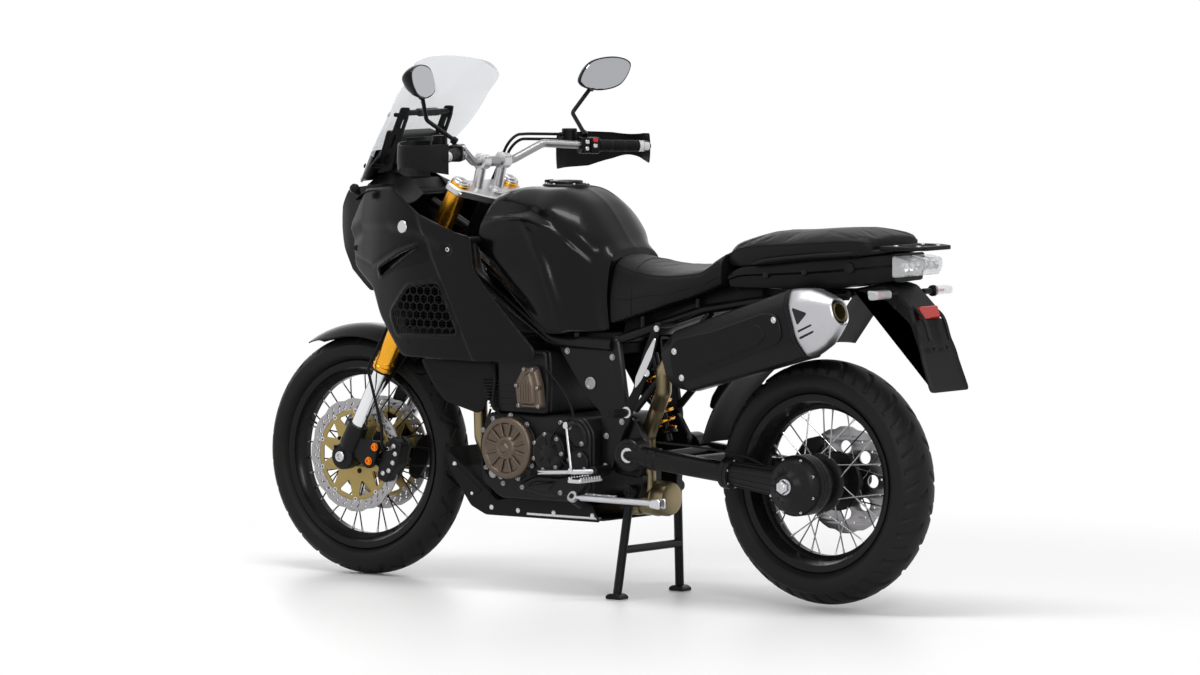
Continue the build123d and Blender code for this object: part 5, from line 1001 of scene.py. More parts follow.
    def mirrors(self) -> None:
        """Leaf-shaped housings with a soft back, their glass, and stems with knuckles."""
        house, glass, stems = Shape(), Shape(), Shape()
        yaw = math.radians(17.0)
        wide, tall = 88.0, 47.0
        leaf = np.array([(-0.98, -0.30), (-0.55, 0.72), (0.35, 0.98), (0.97, 0.55), (0.62, -0.62), (-0.12, -0.99),
                         (-0.80, -0.80)])
        for side in SIDES:
            outwards = np.array([-math.sin(yaw), side * math.cos(yaw), 0.0])
            back = np.array([-math.cos(yaw), -side * math.sin(yaw), 0.0])
            centre = np.array([288.0, side * 398.0, 1368.0])
            up = np.array([0.0, 0.0, 1.0])
            rings = []
            for depth, off in ((0.6, 3.2), (0.2, 1.2), (3.0, 0.4), (9.0, 1.0), (18.0, 5.0), (27.0, 12.0), (34.0, 20.0),
                               (38.5, 29.0), (39.8, 36.0)):
                flat = smooth_line(leaf * np.array([wide - off, tall - off]), 9, closed=True)
                rings.append(centre - back * depth + flat[:, :1] * outwards + flat[:, 1:] * up)
            house.loft(np.array(rings))
            pane = []
            for depth, off in ((1.4, 4.2), (0.0, 4.2), (-1.2, 5.4)):
                flat = smooth_line(leaf * np.array([wide - off, tall - off]), 9, closed=True)
                pane.append(centre - back * depth + flat[:, :1] * outwards + flat[:, 1:] * up)
            glass.loft(np.array(pane))
            foot, elbow = grip_point(-12, side, 2, 28.6), flip((342, 318, 1262), side)
            knuckle, neck = flip((318, 366, 1326), side), flip((312, 384, 1352), side)
            stems.tube(bent([foot, elbow, knuckle], 14), 5.8, 20)
            stems.tube([knuckle, neck], 8.6, 20)
            stems.lathe(foot - np.array([0, 0, 2.0]), unit(elbow - foot), [(0, 8), (2, 10.5), (14, 10.5), (17, 7)], 6)
            stems.lathe(knuckle - unit(neck - knuckle) * 4, unit(neck - knuckle),
                        [(0, 6), (2, 10.6), (8, 10.8), (10, 8)], 24)
        house.build("mirror_housings", SATIN, self.body, ["mirrors"], sharp=40)
        glass.build("mirror_panes", MIRROR, self.body, ["mirror_glass"])
        stems.build("mirror_stems", SATIN, self.body)


# ------------------------------------------------------------------ wheels
SPOKES = 32
VALVE_ANGLE = 0.4  # radians
TREAD_DEPTH = 5.0
CROWN_STEPS = 61  # points across the tread
TYRE_STEPS = 560  # points round a tyre


@dataclass(frozen=True)
class WheelSize:
    """What one wheel measures, in millimetres."""

    radius: float
    half_width: float
    flange: float
    rim_half: float
    rim_inner: float
    hub_radius: float
    hub_half: float
    spoke_lean: float

    @property
    def shoulder(self) -> float:
        """Radius at which the sidewall meets the tread."""
        return self.radius - self.half_width * 0.42

    @property
    def reach(self) -> float:
        """Half the width of the tread."""
        return self.half_width * 0.86


@dataclass
class Wheel:
    """A laced wheel: tyre with its tread, rim, spokes, hub and discs."""

    name: str
    body: str
    axle: np.ndarray
    size: WheelSize
    spoke_finish: Finish

    def build(self) -> None:
        """Make all of its pieces."""
        self.tyre()
        self.rim()
        self.spokes()
        self.hub()
        self.discs()

    def round(self, angle: np.ndarray | float, radius: np.ndarray | float, y: np.ndarray | float) -> np.ndarray:
        """Points at angles and radii about the axle, at these y values."""
        angle, radius, y = np.broadcast_arrays(angle, radius, y)
        return np.stack([self.axle[0] + np.cos(angle) * radius, y, self.axle[2] + np.sin(angle) * radius], -1)

    def section(self) -> np.ndarray:
        """The tyre's outer section from one bead over the crown to the other: rows of y and radius."""
        s = self.size
        lip = s.flange + 1.5
        waist = (s.shoulder + lip) / 2
        side = smooth_line([(s.rim_half - 8, lip), (s.half_width * 0.90, lip + 13), (s.half_width - 1.2, waist),
                            (s.half_width * 0.955, s.shoulder - 9), (s.reach, s.shoulder)], 9)
        circle = arc_radius(s.reach, s.radius - s.shoulder)
        y = np.linspace(-1, 1, CROWN_STEPS)[1:-1] * s.reach
        crown = np.stack([y, s.radius - circle + np.sqrt(circle**2 - y**2)], 1)
        return np.concatenate([side, crown[::-1], side[::-1] * np.array([-1.0, 1.0])])

    def tread(self, angle: np.ndarray, across: np.ndarray) -> np.ndarray:
        """Depth of the grooves, from 0 to 1, at an angle round the tyre and a place across it from -1 to 1."""
        raise NotImplementedError

    def sidewall(self, radius: np.ndarray, across: np.ndarray) -> np.ndarray:
        """Height of the fine raised rings on the sidewall, in millimetres."""
        s = self.size
        out = np.zeros_like(radius)
        for at, wide, high in ((s.flange + 7, 1.6, 0.9), (s.flange + 21, 1.0, 0.6), (s.shoulder - 6, 1.2, 0.7)):
            out += high * np.exp(-(((radius - at) / wide) ** 2))
        return out * (np.abs(across) > 0.84)

    def tyre(self) -> None:
        """The tyre as one skin over angle and section; its tread is pressed inwards where the groove mask is high."""
        s = self.size
        section = self.section()
        step = np.gradient(section, axis=0)
        normal = np.stack([step[:, 1], -step[:, 0]], 1)
        normal /= np.linalg.norm(normal, axis=1, keepdims=True)
        normal *= np.sign(np.sum(normal * (section - np.array([0.0, s.flange + 20.0])), axis=1))[:, None]
        angle = np.linspace(0, 2 * np.pi, TYRE_STEPS, endpoint=False)[:, None]
        across = np.clip(section[:, 0] / s.reach, -1.2, 1.2)
        on_tread = section[:, 1] > s.shoulder - 14
        cut = self.tread(angle, across[None, :]) * on_tread[None, :]
        shift = self.sidewall(section[:, 1], across)[None, :] - TREAD_DEPTH * cut
        y = section[None, :, 0] + normal[None, :, 0] * shift
        radius = section[None, :, 1] + normal[None, :, 1] * shift
        outer = self.round(angle, radius, y)
        inner = np.array([(-s.rim_half + 8, s.flange - 14), (-s.rim_half + 20, s.flange - 14), (0, s.flange - 6),
                          (s.rim_half - 20, s.flange - 14), (s.rim_half - 8, s.flange - 14)])
        inside = self.round(angle, inner[None, :, 1], inner[None, :, 0])
        rings = np.concatenate([outer, inside], 1)
        shape = Shape().loft(rings, caps=False, along=True)
        shape.build(f"{self.name}_tyre_skin", TYRE, self.body, [f"{self.name}_tyre"], sharp=38)

    def rim(self) -> None:
        """The rim: a turned section with flanges, a stepped well and the rib that takes the nipples."""
        s = self.size
        profile = [(s.rim_half, s.flange + 0.4), (s.rim_half - 1.5, s.flange + 1.2), (s.rim_half - 4.5, s.flange - 0.6),
                   (s.rim_half - 7.0, s.flange - 16), (s.rim_half * 0.45, s.flange - 20), (9, s.flange - 30),
                   (-9, s.flange - 30), (-s.rim_half * 0.45, s.flange - 20), (7 - s.rim_half, s.flange - 16),
                   (4.5 - s.rim_half, s.flange - 0.6), (1.5 - s.rim_half, s.flange + 1.2),
                   (-s.rim_half, s.flange + 0.4), (-s.rim_half + 0.5, s.flange - 8), (3 - s.rim_half, s.flange - 17),
                   (-18, s.rim_inner + 12), (-12, s.rim_inner + 2), (-10, s.rim_inner), (10, s.rim_inner),
                   (12, s.rim_inner + 2), (18, s.rim_inner + 12), (s.rim_half - 3, s.flange - 17),
                   (s.rim_half - 0.5, s.flange - 8)]
        shape = Shape().lathe(self.axle, ACROSS, profile, 180, closed=True)
        valve = self.round(VALVE_ANGLE, s.rim_inner - 26.0, 14.0)
        foot = self.round(VALVE_ANGLE, s.rim_inner + 6.0, 10.0)
        shape.rod(foot, valve, 2.8)
        shape.build(f"{self.name}_rim_ring", RIM, self.body, [f"{self.name}_rim"], sharp=30)

    def spokes(self) -> None:
        """The spokes in crossed pairs, each with its bend at the hub, and a nipple at the rim."""
        s = self.size
        wires, nipples = Shape(), Shape()
        for index in range(SPOKES):
            side = 1 if index % 2 == 0 else -1
            trailing = 1 if (index // 2) % 2 == 0 else -1
            rim_angle = 2 * math.pi * (index + 0.5) / SPOKES
            hub_angle = rim_angle + trailing * s.spoke_lean
            hub_y = side * (s.hub_half + trailing * 4.2)
            start = self.round(hub_angle, s.hub_radius - 3.0, hub_y)
            end = self.round(rim_angle, s.rim_inner + 4.0, side * 5.0)
            wires.tube([start, end], 1.9, 8)
            along = unit(start - end)
            nipples.rod(end, end + along * 14, 3.3, 2.9, sides=8, ease=0.3)
            wires.rod(start, start + along * -7, 2.6, sides=8, ease=0.3)
        wires.build(f"{self.name}_spoke_wires", self.spoke_finish, self.body, [f"{self.name}_spokes"])
        nipples.build(f"{self.name}_nipples", STEEL, self.body)

    def hub(self) -> None:
        """The hub, turned with two drilled flanges."""
        raise NotImplementedError

    def discs(self) -> None:
        """The brake discs."""
        raise NotImplementedError

    def disc_plate(self, y: float, outer: float, inner: float, waves: int, name: str, replaces: Sequence[str],
                   windows: Sequence[np.ndarray] = (), thick: float = 4.2) -> None:
        """A disc with a scalloped rim and rows of small drilled holes.

        The rim's radius is the outer one less a cosine wave of the angle, flattened at its crests.

        Args:
            y: Middle of the disc.
            outer: Largest radius.
            inner: Radius of the opening.
            waves: Scallops round the rim.
            name: Name of the piece.
            replaces: CAD nodes that it stands for.
            windows: Larger holes.
            thick: Thickness.
        """
        turn = np.linspace(0, 2 * np.pi, waves * 16, endpoint=False)
        edge = outer - 4.5 * np.clip(1 - np.abs(((turn * waves / (2 * np.pi)) % 1) - 0.5) * 4.4, 0, 1) ** 0.7
        outlines = [np.stack([np.cos(turn) * edge, np.sin(turn) * edge], 1), ring(inner, 72)[::-1]]
        outlines += list(windows)
        for row in range(waves * 3):
            at = 2 * np.pi * (row + 0.5) / (waves * 3)
            for k, share in enumerate((0.16, 0.42, 0.68)):
                radius = inner + (outer - 6 - inner) * (share + 0.10 * ((row + k) % 2))
                spin = at + (k - 1) * 0.035
                if windows and radius < 112:
                    continue
                outlines.append(ring(2.9, 10, (math.cos(spin) * radius, math.sin(spin) * radius))[::-1])
        mesh = pierced(outlines, lambda p: np.stack([self.axle[0] + p[:, 0], y + p[:, 2], self.axle[2] + p[:, 1]], 1),
                       thick, 0.4)
        place(mesh, name, DISC, self.body, replaces, 30)


class FrontWheel(Wheel):
    """The front wheel with two floating discs on their carriers."""

    def tread(self, angle: np.ndarray, across: np.ndarray) -> np.ndarray:
        """Slanted short grooves in three rows, swept backwards from the middle, and a line of sipes."""
        pitch = 26
        a = angle * pitch / (2 * np.pi)
        side = np.abs(across)
        sweep = 0.55 * side + np.where(across > 0, 0.5, 0.0)
        phase = (a + sweep) % 1.0
        band = (side > 0.16) & (side < 0.97)
        groove = np.clip(1.0 - np.abs(phase - 0.5) / 0.085, 0, 1) ** 0.35 * band
        phase_b = (a + 0.5 - 0.9 * side + np.where(across > 0, 0.5, 0.0)) % 1.0
        short = np.clip(1.0 - np.abs(phase_b - 0.5) / 0.06, 0, 1) ** 0.4 * ((side > 0.38) & (side < 0.74))
        return np.maximum(groove, short * 0.8)

    def hub(self) -> None:
        """A slim hub between two flanges, with the disc seats outside them."""
        profile = [(-59, 12), (-59, 50), (-56, 57), (-50, 57), (-47, 34), (-43, 30), (-41, 48), (-38, 50), (-28, 50),
                   (-25, 47), (-23, 30), (-12, 27), (12, 27), (23, 30), (25, 47), (28, 50), (38, 50), (41, 48),
                   (43, 30), (47, 34), (50, 57), (56, 57), (59, 50), (59, 12)]
        shape = Shape().lathe(self.axle, ACROSS, profile, 72)
        shape.build("front_hub_body", CASTING, self.body, ["front_hub"])

    def discs(self) -> None:
        """Carriers with triangular windows, the wave discs round them and the buttons that join the two."""
        buttons, bolts = Shape(), Shape()
        for side, which in zip(SIDES, ("left", "right")):
            y = side * 61.2
            outer = ring(123.5, 120)
            windows = [ring(30, 40)[::-1]]
            for k in range(10):
                at = 2 * math.pi * k / 10
                tri = np.array([[114, 0.225], [114, -0.225], [70, 0.0]])
                base = np.stack([tri[:, 0] * np.cos(at + tri[:, 1]), tri[:, 0] * np.sin(at + tri[:, 1])], 1)
                windows.append(rounded(base, 9)[::-1])
            mesh = pierced([outer, *windows],
                           lambda p, y=y: np.stack([self.axle[0] + p[:, 0], y + p[:, 2], self.axle[2] + p[:, 1]], 1),
                           4.0, 0.5)
            replaces = ["front_disc_carriers"] if side > 0 else []
            place(mesh, f"front_carrier_{which}", CARRIER, self.body, replaces, 30)
            self.disc_plate(y, 155, 124.2, 12, f"front_disc_{which}",
                            ["front_discs"] if side > 0 else [])
            for k in range(10):
                at = 2 * math.pi * (k + 0.5) / 10
                centre = self.round(at, 121.0, y)
                buttons.lathe(centre, ACROSS * side, [(-3, 6.5), (2.6, 6.5), (3.0, 6.0), (3.0, 3.0), (2.0, 2.6)], 16)
            for k in range(6):
                at = 2 * math.pi * k / 6 + 0.2
                centre = self.round(at, 45.0, side * 63.3)
                bolts.bolt(centre, ACROSS * side, 5.5, 4.0)
        buttons.build("front_disc_buttons", STEEL, self.body)
        bolts.build("front_disc_bolts", CASTING, self.body)


class RearWheel(Wheel):
    """The rear wheel with one disc on the right."""

    def tread(self, angle: np.ndarray, across: np.ndarray) -> np.ndarray:
        """Bold chevron grooves that leave the middle at a slant and curve outwards to the shoulder."""
        pitch = 22
        a = angle * pitch / (2 * np.pi)
        side = np.abs(across)
        sweep = -0.75 * side + 0.25 * side**2 + np.where(across > 0, 0.5, 0.0)
        phase = (a + sweep) % 1.0
        band = (side > 0.10) & (side < 0.98)
        groove = np.clip(1.0 - np.abs(phase - 0.5) / 0.095, 0, 1) ** 0.35 * band
        phase_b = (a + 0.5 + sweep * 1.25) % 1.0
        short = np.clip(1.0 - np.abs(phase_b - 0.5) / 0.055, 0, 1) ** 0.4 * ((side > 0.52) & (side < 0.98))
        return np.maximum(groove, short * 0.8)

    def hub(self) -> None:
        """A wide hub whose left end is the drive's round carrier."""
        profile = [(-80, 14), (-80, 50), (-76, 57), (-72, 57), (-70, 44), (-52, 44), (-50, 74), (-47, 78), (-37, 78),
                   (-34, 74), (-32, 48), (-20, 43), (20, 43), (32, 48), (34, 74), (37, 78), (47, 78), (50, 74),
                   (52, 60), (60, 64), (82, 65), (84, 62), (84, 14)]
        shape = Shape().lathe(self.axle, ACROSS, profile, 84)
        shape.build("rear_hub_body", CASTING, self.body, ["rear_hub"])

    def discs(self) -> None:
        """The single disc with its own round windows, bolted to the hub."""
        windows = [ring(17, 28, (math.cos(a) * 87, math.sin(a) * 87))[::-1]
                   for a in np.linspace(0, 2 * np.pi, 8, endpoint=False)]
        self.disc_plate(-82.2, 141, 40.5, 12, "rear_disc_plate", ["rear_disc"], windows)
        bolts = Shape()
        for k in range(5):
            at = 2 * math.pi * k / 5
            centre = self.round(at, 52.0, -84.4)
            bolts.bolt(centre, -ACROSS, 5.5, 4.0)
        bolts.build("rear_disc_bolts", STEEL, self.body)


# ------------------------------------------------------------------ bodywork
TANK_RINGS = [
    (290, [(0, 1046), (76, 1040), (146, 980), (164, 934), (158, 908), (142, 890)]),
    (284, [(0, 1056), (82, 1050), (156, 986), (175, 934), (166, 906), (150, 882)]),
    (268, [(0, 1064), (87, 1057), (163, 987), (182, 926), (171, 895), (153, 870)]),
    (200, [(0, 1080), (96, 1071), (173, 985), (189, 905), (180, 855), (160, 822)]),
    (130, [(0, 1083), (98, 1073), (175, 994), (189, 900), (182, 820), (164, 762)]),
    (60, [(0, 1081), (98, 1070), (175, 997), (187, 885), (178, 780), (160, 703)]),
    (0, [(0, 1054), (90, 1042), (163, 979), (173, 868), (165, 770), (148, 703)]),
    (-40, [(0, 1017), (84, 1003), (147, 951), (155, 850), (146, 765), (130, 703)]),
    (-84, [(0, 958), (76, 948), (122, 908), (136, 824), (130, 760), (118, 707)]),
    (-112, [(0, 924), (70, 916), (107, 889), (123, 810), (119, 755), (112, 713)]),
]
COWL_PLAN = [(776, 114), (690, 162), (590, 208), (470, 238), (320, 238), (200, 222), (80, 186)]
COWL_SIDE = [(700, 1062), (560, 1074), (452, 1010), (309, 958), (266, 950), (256, 862), (84, 652), (84, 627),
             (230, 618), (502, 622), (600, 726), (640, 800), (742, 850), (770, 960)]
GRILLE = [(541, 735), (474, 808), (375, 823), (309, 689), (513, 683)]
FACET = ((293, 684), (378, 860))
SLIT = [(594, 833), (601, 854), (509, 896), (442, 920)]
LOWER_FAIRING = [(500, 612), (250, 612), (236, 560), (300, 470), (420, 500), (470, 560)]


class Tank:
    """The fuel tank and its cap."""

    def build(self) -> None:
        """Make both."""
        self.shell()
        self.cap()

    def shell(self) -> None:
        """The tank's skin.

        Rings square to the bike are joined smoothly along it. Each ring is a smooth curve from the top centre down
        to the lower lip. A flute is pressed in along the upper shoulder, a second one runs down behind it, the knee
        recess is a wide shallow hollow, and the lip flares out along the lower edge.
        """
        xs = np.array([x for x, _ in TANK_RINGS], float)
        rings = np.array([points for _, points in TANK_RINGS], float)
        half = np.array([smooth_line(r, 14) for r in rings])
        long = np.concatenate([np.broadcast_to(xs[:, None, None], (*half.shape[:2], 1)), half], -1)
        along = np.stack([smooth_line(long[:, j], 10) for j in range(long.shape[1])], 1)
        rows, columns = along.shape[:2]
        u = np.linspace(0, 1, rows)[:, None]
        v = np.linspace(0, 1, columns)[None, :]
        across_u = np.gradient(along, axis=0)
        across_v = np.gradient(along, axis=1)
        normal = np.cross(across_u, across_v)
        normal /= np.maximum(np.linalg.norm(normal, axis=2, keepdims=True), 1e-9)
        outward = np.stack([np.zeros_like(along[..., 0]), along[..., 1] + 1, along[..., 2] - 850], -1)
        normal *= np.where(np.sum(normal * outward, axis=2, keepdims=True) < 0, -1, 1)
        normal[:, 0] = normal[:, 0] * np.array([1, 0, 1])
        x, z = along[..., 0], along[..., 2]
        crest = np.interp(x, [-110, -40, 40, 120, 200, 290], [850, 910, 976, 1000, 996, 984])
        flute = np.exp(-(((z - crest - 22) / 15.0) ** 2)) * ease_step(v, 0.10, 0.22) * ease_step(x, -100, -20)
        ridge = np.exp(-(((z - crest) / 11.0) ** 2)) * ease_step(v, 0.10, 0.22) * ease_step(x, -100, 20)
        line = np.interp(z, [700, 780, 880, 960, 1010], [12, 22, 52, 96, 150])
        rear_edge = np.exp(-(((x - line) / 12.0) ** 2)) * (1 - ease_step(z, 960, 1010))
        knee = ease_step(line + 8 - x, 0, 34) * ease_step(x, -112, -70) * (1 - ease_step(z, 900, 965))
        lip = np.exp(-(((v - 1.0) / 0.035) ** 2))
        fade = 1 - ease_step(x, 225, 285)
        shift = fade * (ridge * 5.0 - flute * 6.5) + rear_edge * 4.0 - knee * 10.0 + lip * 3.0
        skin = along + normal * (shift * ease_step(u, 0.0, 0.06))[..., None]
        other = skin[:, ::-1] * np.array([1.0, -1.0, 1.0])
        Shape().loft(np.concatenate([other[:, :-1], skin], 1), around=True).build(
            "tank_skin", GLOSS, "chassis", ["fuel_tank"], sharp=48)
        lower = skin[:, -1] + np.array([0.0, 1.2, 1.0])
        seam = Shape()
        for side in SIDES:
            seam.tube(lower[6:-2] * np.array([1.0, side, 1.0]), 2.2, 10)
        seam.build("tank_lower_trim", SATIN, "chassis")

    def cap(self) -> None:
        """The filler's ring with its bolts, and the lid with its lock flap on its own body."""
        centre = np.array([118.0, 0.0, 0.0])
        collar = Shape().lathe(centre, (0, 0, 1), [(1074, 66), (1084, 64), (1087.4, 61), (1088, 58), (1088, 30),
                                                     (1070, 29)], 72)
        bolts = Shape()
        for k in range(6):
            turn = 2 * math.pi * (k + 0.5) / 6
            bolts.bolt(centre + np.array([math.cos(turn) * 54, math.sin(turn) * 54, 1088.0]), (0, 0, 1), 3.4, 2.4,
                       False)
        for side in SIDES:
            collar.prism(rounded([(171.6, 1083), (180.4, 1083), (180.4, 1097), (171.6, 1097)], 3), (0, 0, 0), (1, 0, 0),
                         (0, 0, 1), side * 10.2, side * 14.8, 0.6)
        collar.rod((176, -15, 1093), (176, 15, 1093), 2.0)
        collar.build("filler_ring", SATIN, "chassis")
        bolts.build("filler_bolts", STEEL, "chassis")
        lid = Shape().lathe(centre, (0, 0, 1), [(1088.3, 44), (1089, 45), (1094, 44.6), (1096, 43), (1096.3, 38),
                                                  (1095.2, 36), (1096.1, 33)], 72)
        lid.prism(rounded([(-14, -9), (16, -9), (16, 9), (-14, 9)], 7), centre + np.array([-4, 0, 0]), (1, 0, 0),
                  (0, 1, 0), 1094, 1096.2, 0.8)
        lid.prism(rounded([(40, -9), (57, -9), (57, 9), (40, 9)], 3), centre, (1, 0, 0), (0, 1, 0), 1088.4, 1095, 0.6)
        lid.lathe((176, -8.8, 1093), ACROSS, [(0, 2.1), (0, 4.2), (17.6, 4.2), (17.6, 2.1)], 24)
        lid.build("filler_lid", SATIN, "fuel_cap", ["fuel_cap"])


class Cowls:
    """Side cowls with their openings, caps and bolts, the lower fairings, and the dark panels inside."""

    def build(self) -> None:
        """Make all of its pieces."""
        self.sides()
        self.fairings()
        self.trims()

    def trims(self) -> None:
        """Dark pieces that close what lies inside.

        They are panels from the cowls' top edges in to the dash, a backing behind each opening of the cowls, a tray
        under the tank, one under the seat, and a shelf under the dash.
        """
        shell = Shape()
        outer = smooth_line([(500, 214, 1034), (560, 198, 1062), (640, 170, 1062), (700, 142, 1054), (760, 112, 1030)],
                            8)
        inner = smooth_line([(560, 60, 1052), (600, 64, 1092), (642, 70, 1104), (700, 70, 1096), (752, 60, 1070)], 8)
        share = np.linspace(0, 1, 13)[:, None, None]
        sheet = outer[None] * (1 - share) + inner[None] * share
        sheet = sheet - np.array([0, 0, 1.0]) * 9.0 * np.sin(np.pi * share)
        for side in SIDES:
            both = np.concatenate([sheet, sheet[::-1] - np.array([0, 0, 3.0])]) * np.array([1.0, side, 1.0])
            shell.loft(both.transpose(1, 0, 2))
        for outline, inner in (([(592, 720), (560, 790), (482, 840), (362, 846), (288, 672), (560, 662)], 173.0),
                               ([(618, 824), (626, 864), (514, 914), (434, 938)], 176.0)):
            for side in SIDES:
                shell.slab(outline, *span(side, inner, inner + 3.0), 8, 1.0)
        shell.slab([(-140, 646), (44, 646), (60, 682), (230, 690), (296, 760), (308, 850), (284, 876), (56, 706),
                    (-140, 706)], -98, 98, 6, 4.0)
        shell.slab([(-142, 694), (-150, 738), (-330, 786), (-500, 844), (-600, 852), (-600, 808), (-420, 766),
                    (-200, 694)], -95, 95, 6, 4.0)
        shell.slab([(566, 1046), (760, 1052), (760, 1056), (700, 1092), (600, 1090)], -64, 64, 4, 2.0)
        shell.build("cockpit_trims", MATTE, "chassis", sharp=50)

    def outward(self, x: np.ndarray) -> np.ndarray:
        """Half the cowl's width at x, a smooth curve through the plan's points."""
        plan = smooth_line(COWL_PLAN[::-1], 12)
        return np.interp(x, plan[:, 0], plan[:, 1])

    def relief(self, panel: Panel) -> np.ndarray:
        """How far each point of a side cowl stands out from its plain curve, in millimetres.

        A flat panel is raised behind the facet line; a shoulder ridge runs back from the nose with a hollow under
        it; the openings have raised rims; the lower band steps in; the top edge rolls inwards.
        """
        p = panel.flat
        x, z = p[:, 0], p[:, 1]
        (foot_x, foot_z), (head_x, head_z) = FACET
        facet = (x - foot_x) - (z - foot_z) * (head_x - foot_x) / (head_z - foot_z)
        lift = -5.5 + 4.5 * (1 - ease_step(facet, -9, 0))
        crest = np.interp(x, [266, 309, 380, 452, 560, 700, 770], [918, 930, 950, 972, 985, 978, 950])
        over = z - crest
        ridge = np.exp(-((over / 16.0) ** 2)) * 4.0 * ease_step(x, 300, 380)
        hollow = np.exp(-(((over + 34) / 17.0) ** 2)) * 5.0 * ease_step(x, 330, 420)
        top = ease_step(over, 14, 95) * 15.0
        rims = 3.6 * (1 - ease_step(panel.from_rim(1), 8.5, 13.0)) + 3.0 * (1 - ease_step(panel.from_rim(2), 6.0, 10.0))
        band = np.exp(-((away(p, [(470, 660), (330, 668), (250, 668), (150, 664)]) / 4.0) ** 2)) * 2.2
        dent = 5.0 * (1 - ease_step(np.hypot(x - 339, z - 914), 11, 19))
        lines = np.exp(-((away(p, [(748, 880), (640, 858), (520, 912), (420, 940)]) / 4.5) ** 2)) * 2.4
        return lift + ridge - hollow - top + rims - band - dent - lines

    def sides(self) -> None:
        """Both side cowls, their stubs, round caps and bolts."""
        shell, bolts, caps, stubs = Shape(), Shape(), Shape(), Shape()
        outline = rounded(COWL_SIDE, 16)
        panel = Panel([outline, rounded(GRILLE, 14)[::-1], rounded(SLIT, 5)[::-1]], 5.5)
        y = self.outward(panel.flat[:, 0]) + self.relief(panel)
        for side in SIDES:
            panel.sideways(shell, y, 3.5, side, curl=4.0)
            cap = np.array([494.0, side * 233.0, 970.0])
            out = unit([0.16, side, 0.10])
            caps.lathe(cap - out * 9, out, [(0, 17.5), (9, 17.5), (10.5, 16.6), (11.5, 15.2), (11.8, 0.5)], 40)
            bolts.bolt((339, side * 230.5, 914), ACROSS * side, 6.5, 4.5)
            bolts.lathe((219, side * 219.0, 637), ACROSS * side, [(0, 5.4), (1.6, 5.0), (2.4, 3.6), (2.6, 0.4)], 20)
            bolts.lathe((470, side * 229.5, 646), ACROSS * side, [(0, 5.4), (1.6, 5.0), (2.4, 3.6), (2.6, 0.4)], 20)
            stubs.rod((735, side * 115.9, 900), (735, side * 134, 900), 7.8)
            stubs.rod((274, side * 181.6, 940), (274, side * 230, 940), 8.8)
            stubs.rod((252, side * 140.2, 560), (252, side * 146.8, 560), 8.8)
        cowl = shell.build("cowl_shells", SATIN, "chassis", ["side_cowls"], sharp=36)
        cowl.data.materials.append(SHOULDER.material())
        centres = np.zeros(len(cowl.data.polygons) * 3, np.float32)
        cowl.data.polygons.foreach_get("center", centres)
        x, _, z = centres.reshape(-1, 3).T / MM
        glossy = ((x - 300) - (z - 684) * 0.483 > 0) & (z > np.interp(x, [300, 600, 780], [905, 830, 860]))
        cowl.data.polygons.foreach_set("material_index", glossy.astype(np.int32))
        caps.build("cowl_round_caps", STEEL, "chassis")
        bolts.build("cowl_bolts", STEEL, "chassis")
        stubs.build("cowl_stubs", MATTE, "chassis")

    def fairings(self) -> None:
        """The lower fairings, pressed in along a line, behind the side cowls' lower edge."""
        shell = Shape()
        panel = Panel([rounded(LOWER_FAIRING, 16)], 7.0)
        crease = away(panel.flat, [(250, 560), (330, 540), (470, 560)])
        y = 149.6 - 2.5 * ease_step(560 - panel.flat[:, 1], 0, 60) - 1.6 * np.exp(-((crease / 5.0) ** 2))
        for side in SIDES:
            panel.sideways(shell, y, 3.0, side, curl=2.0)
        shell.build("lower_fairings", MATTE, "chassis", sharp=36)


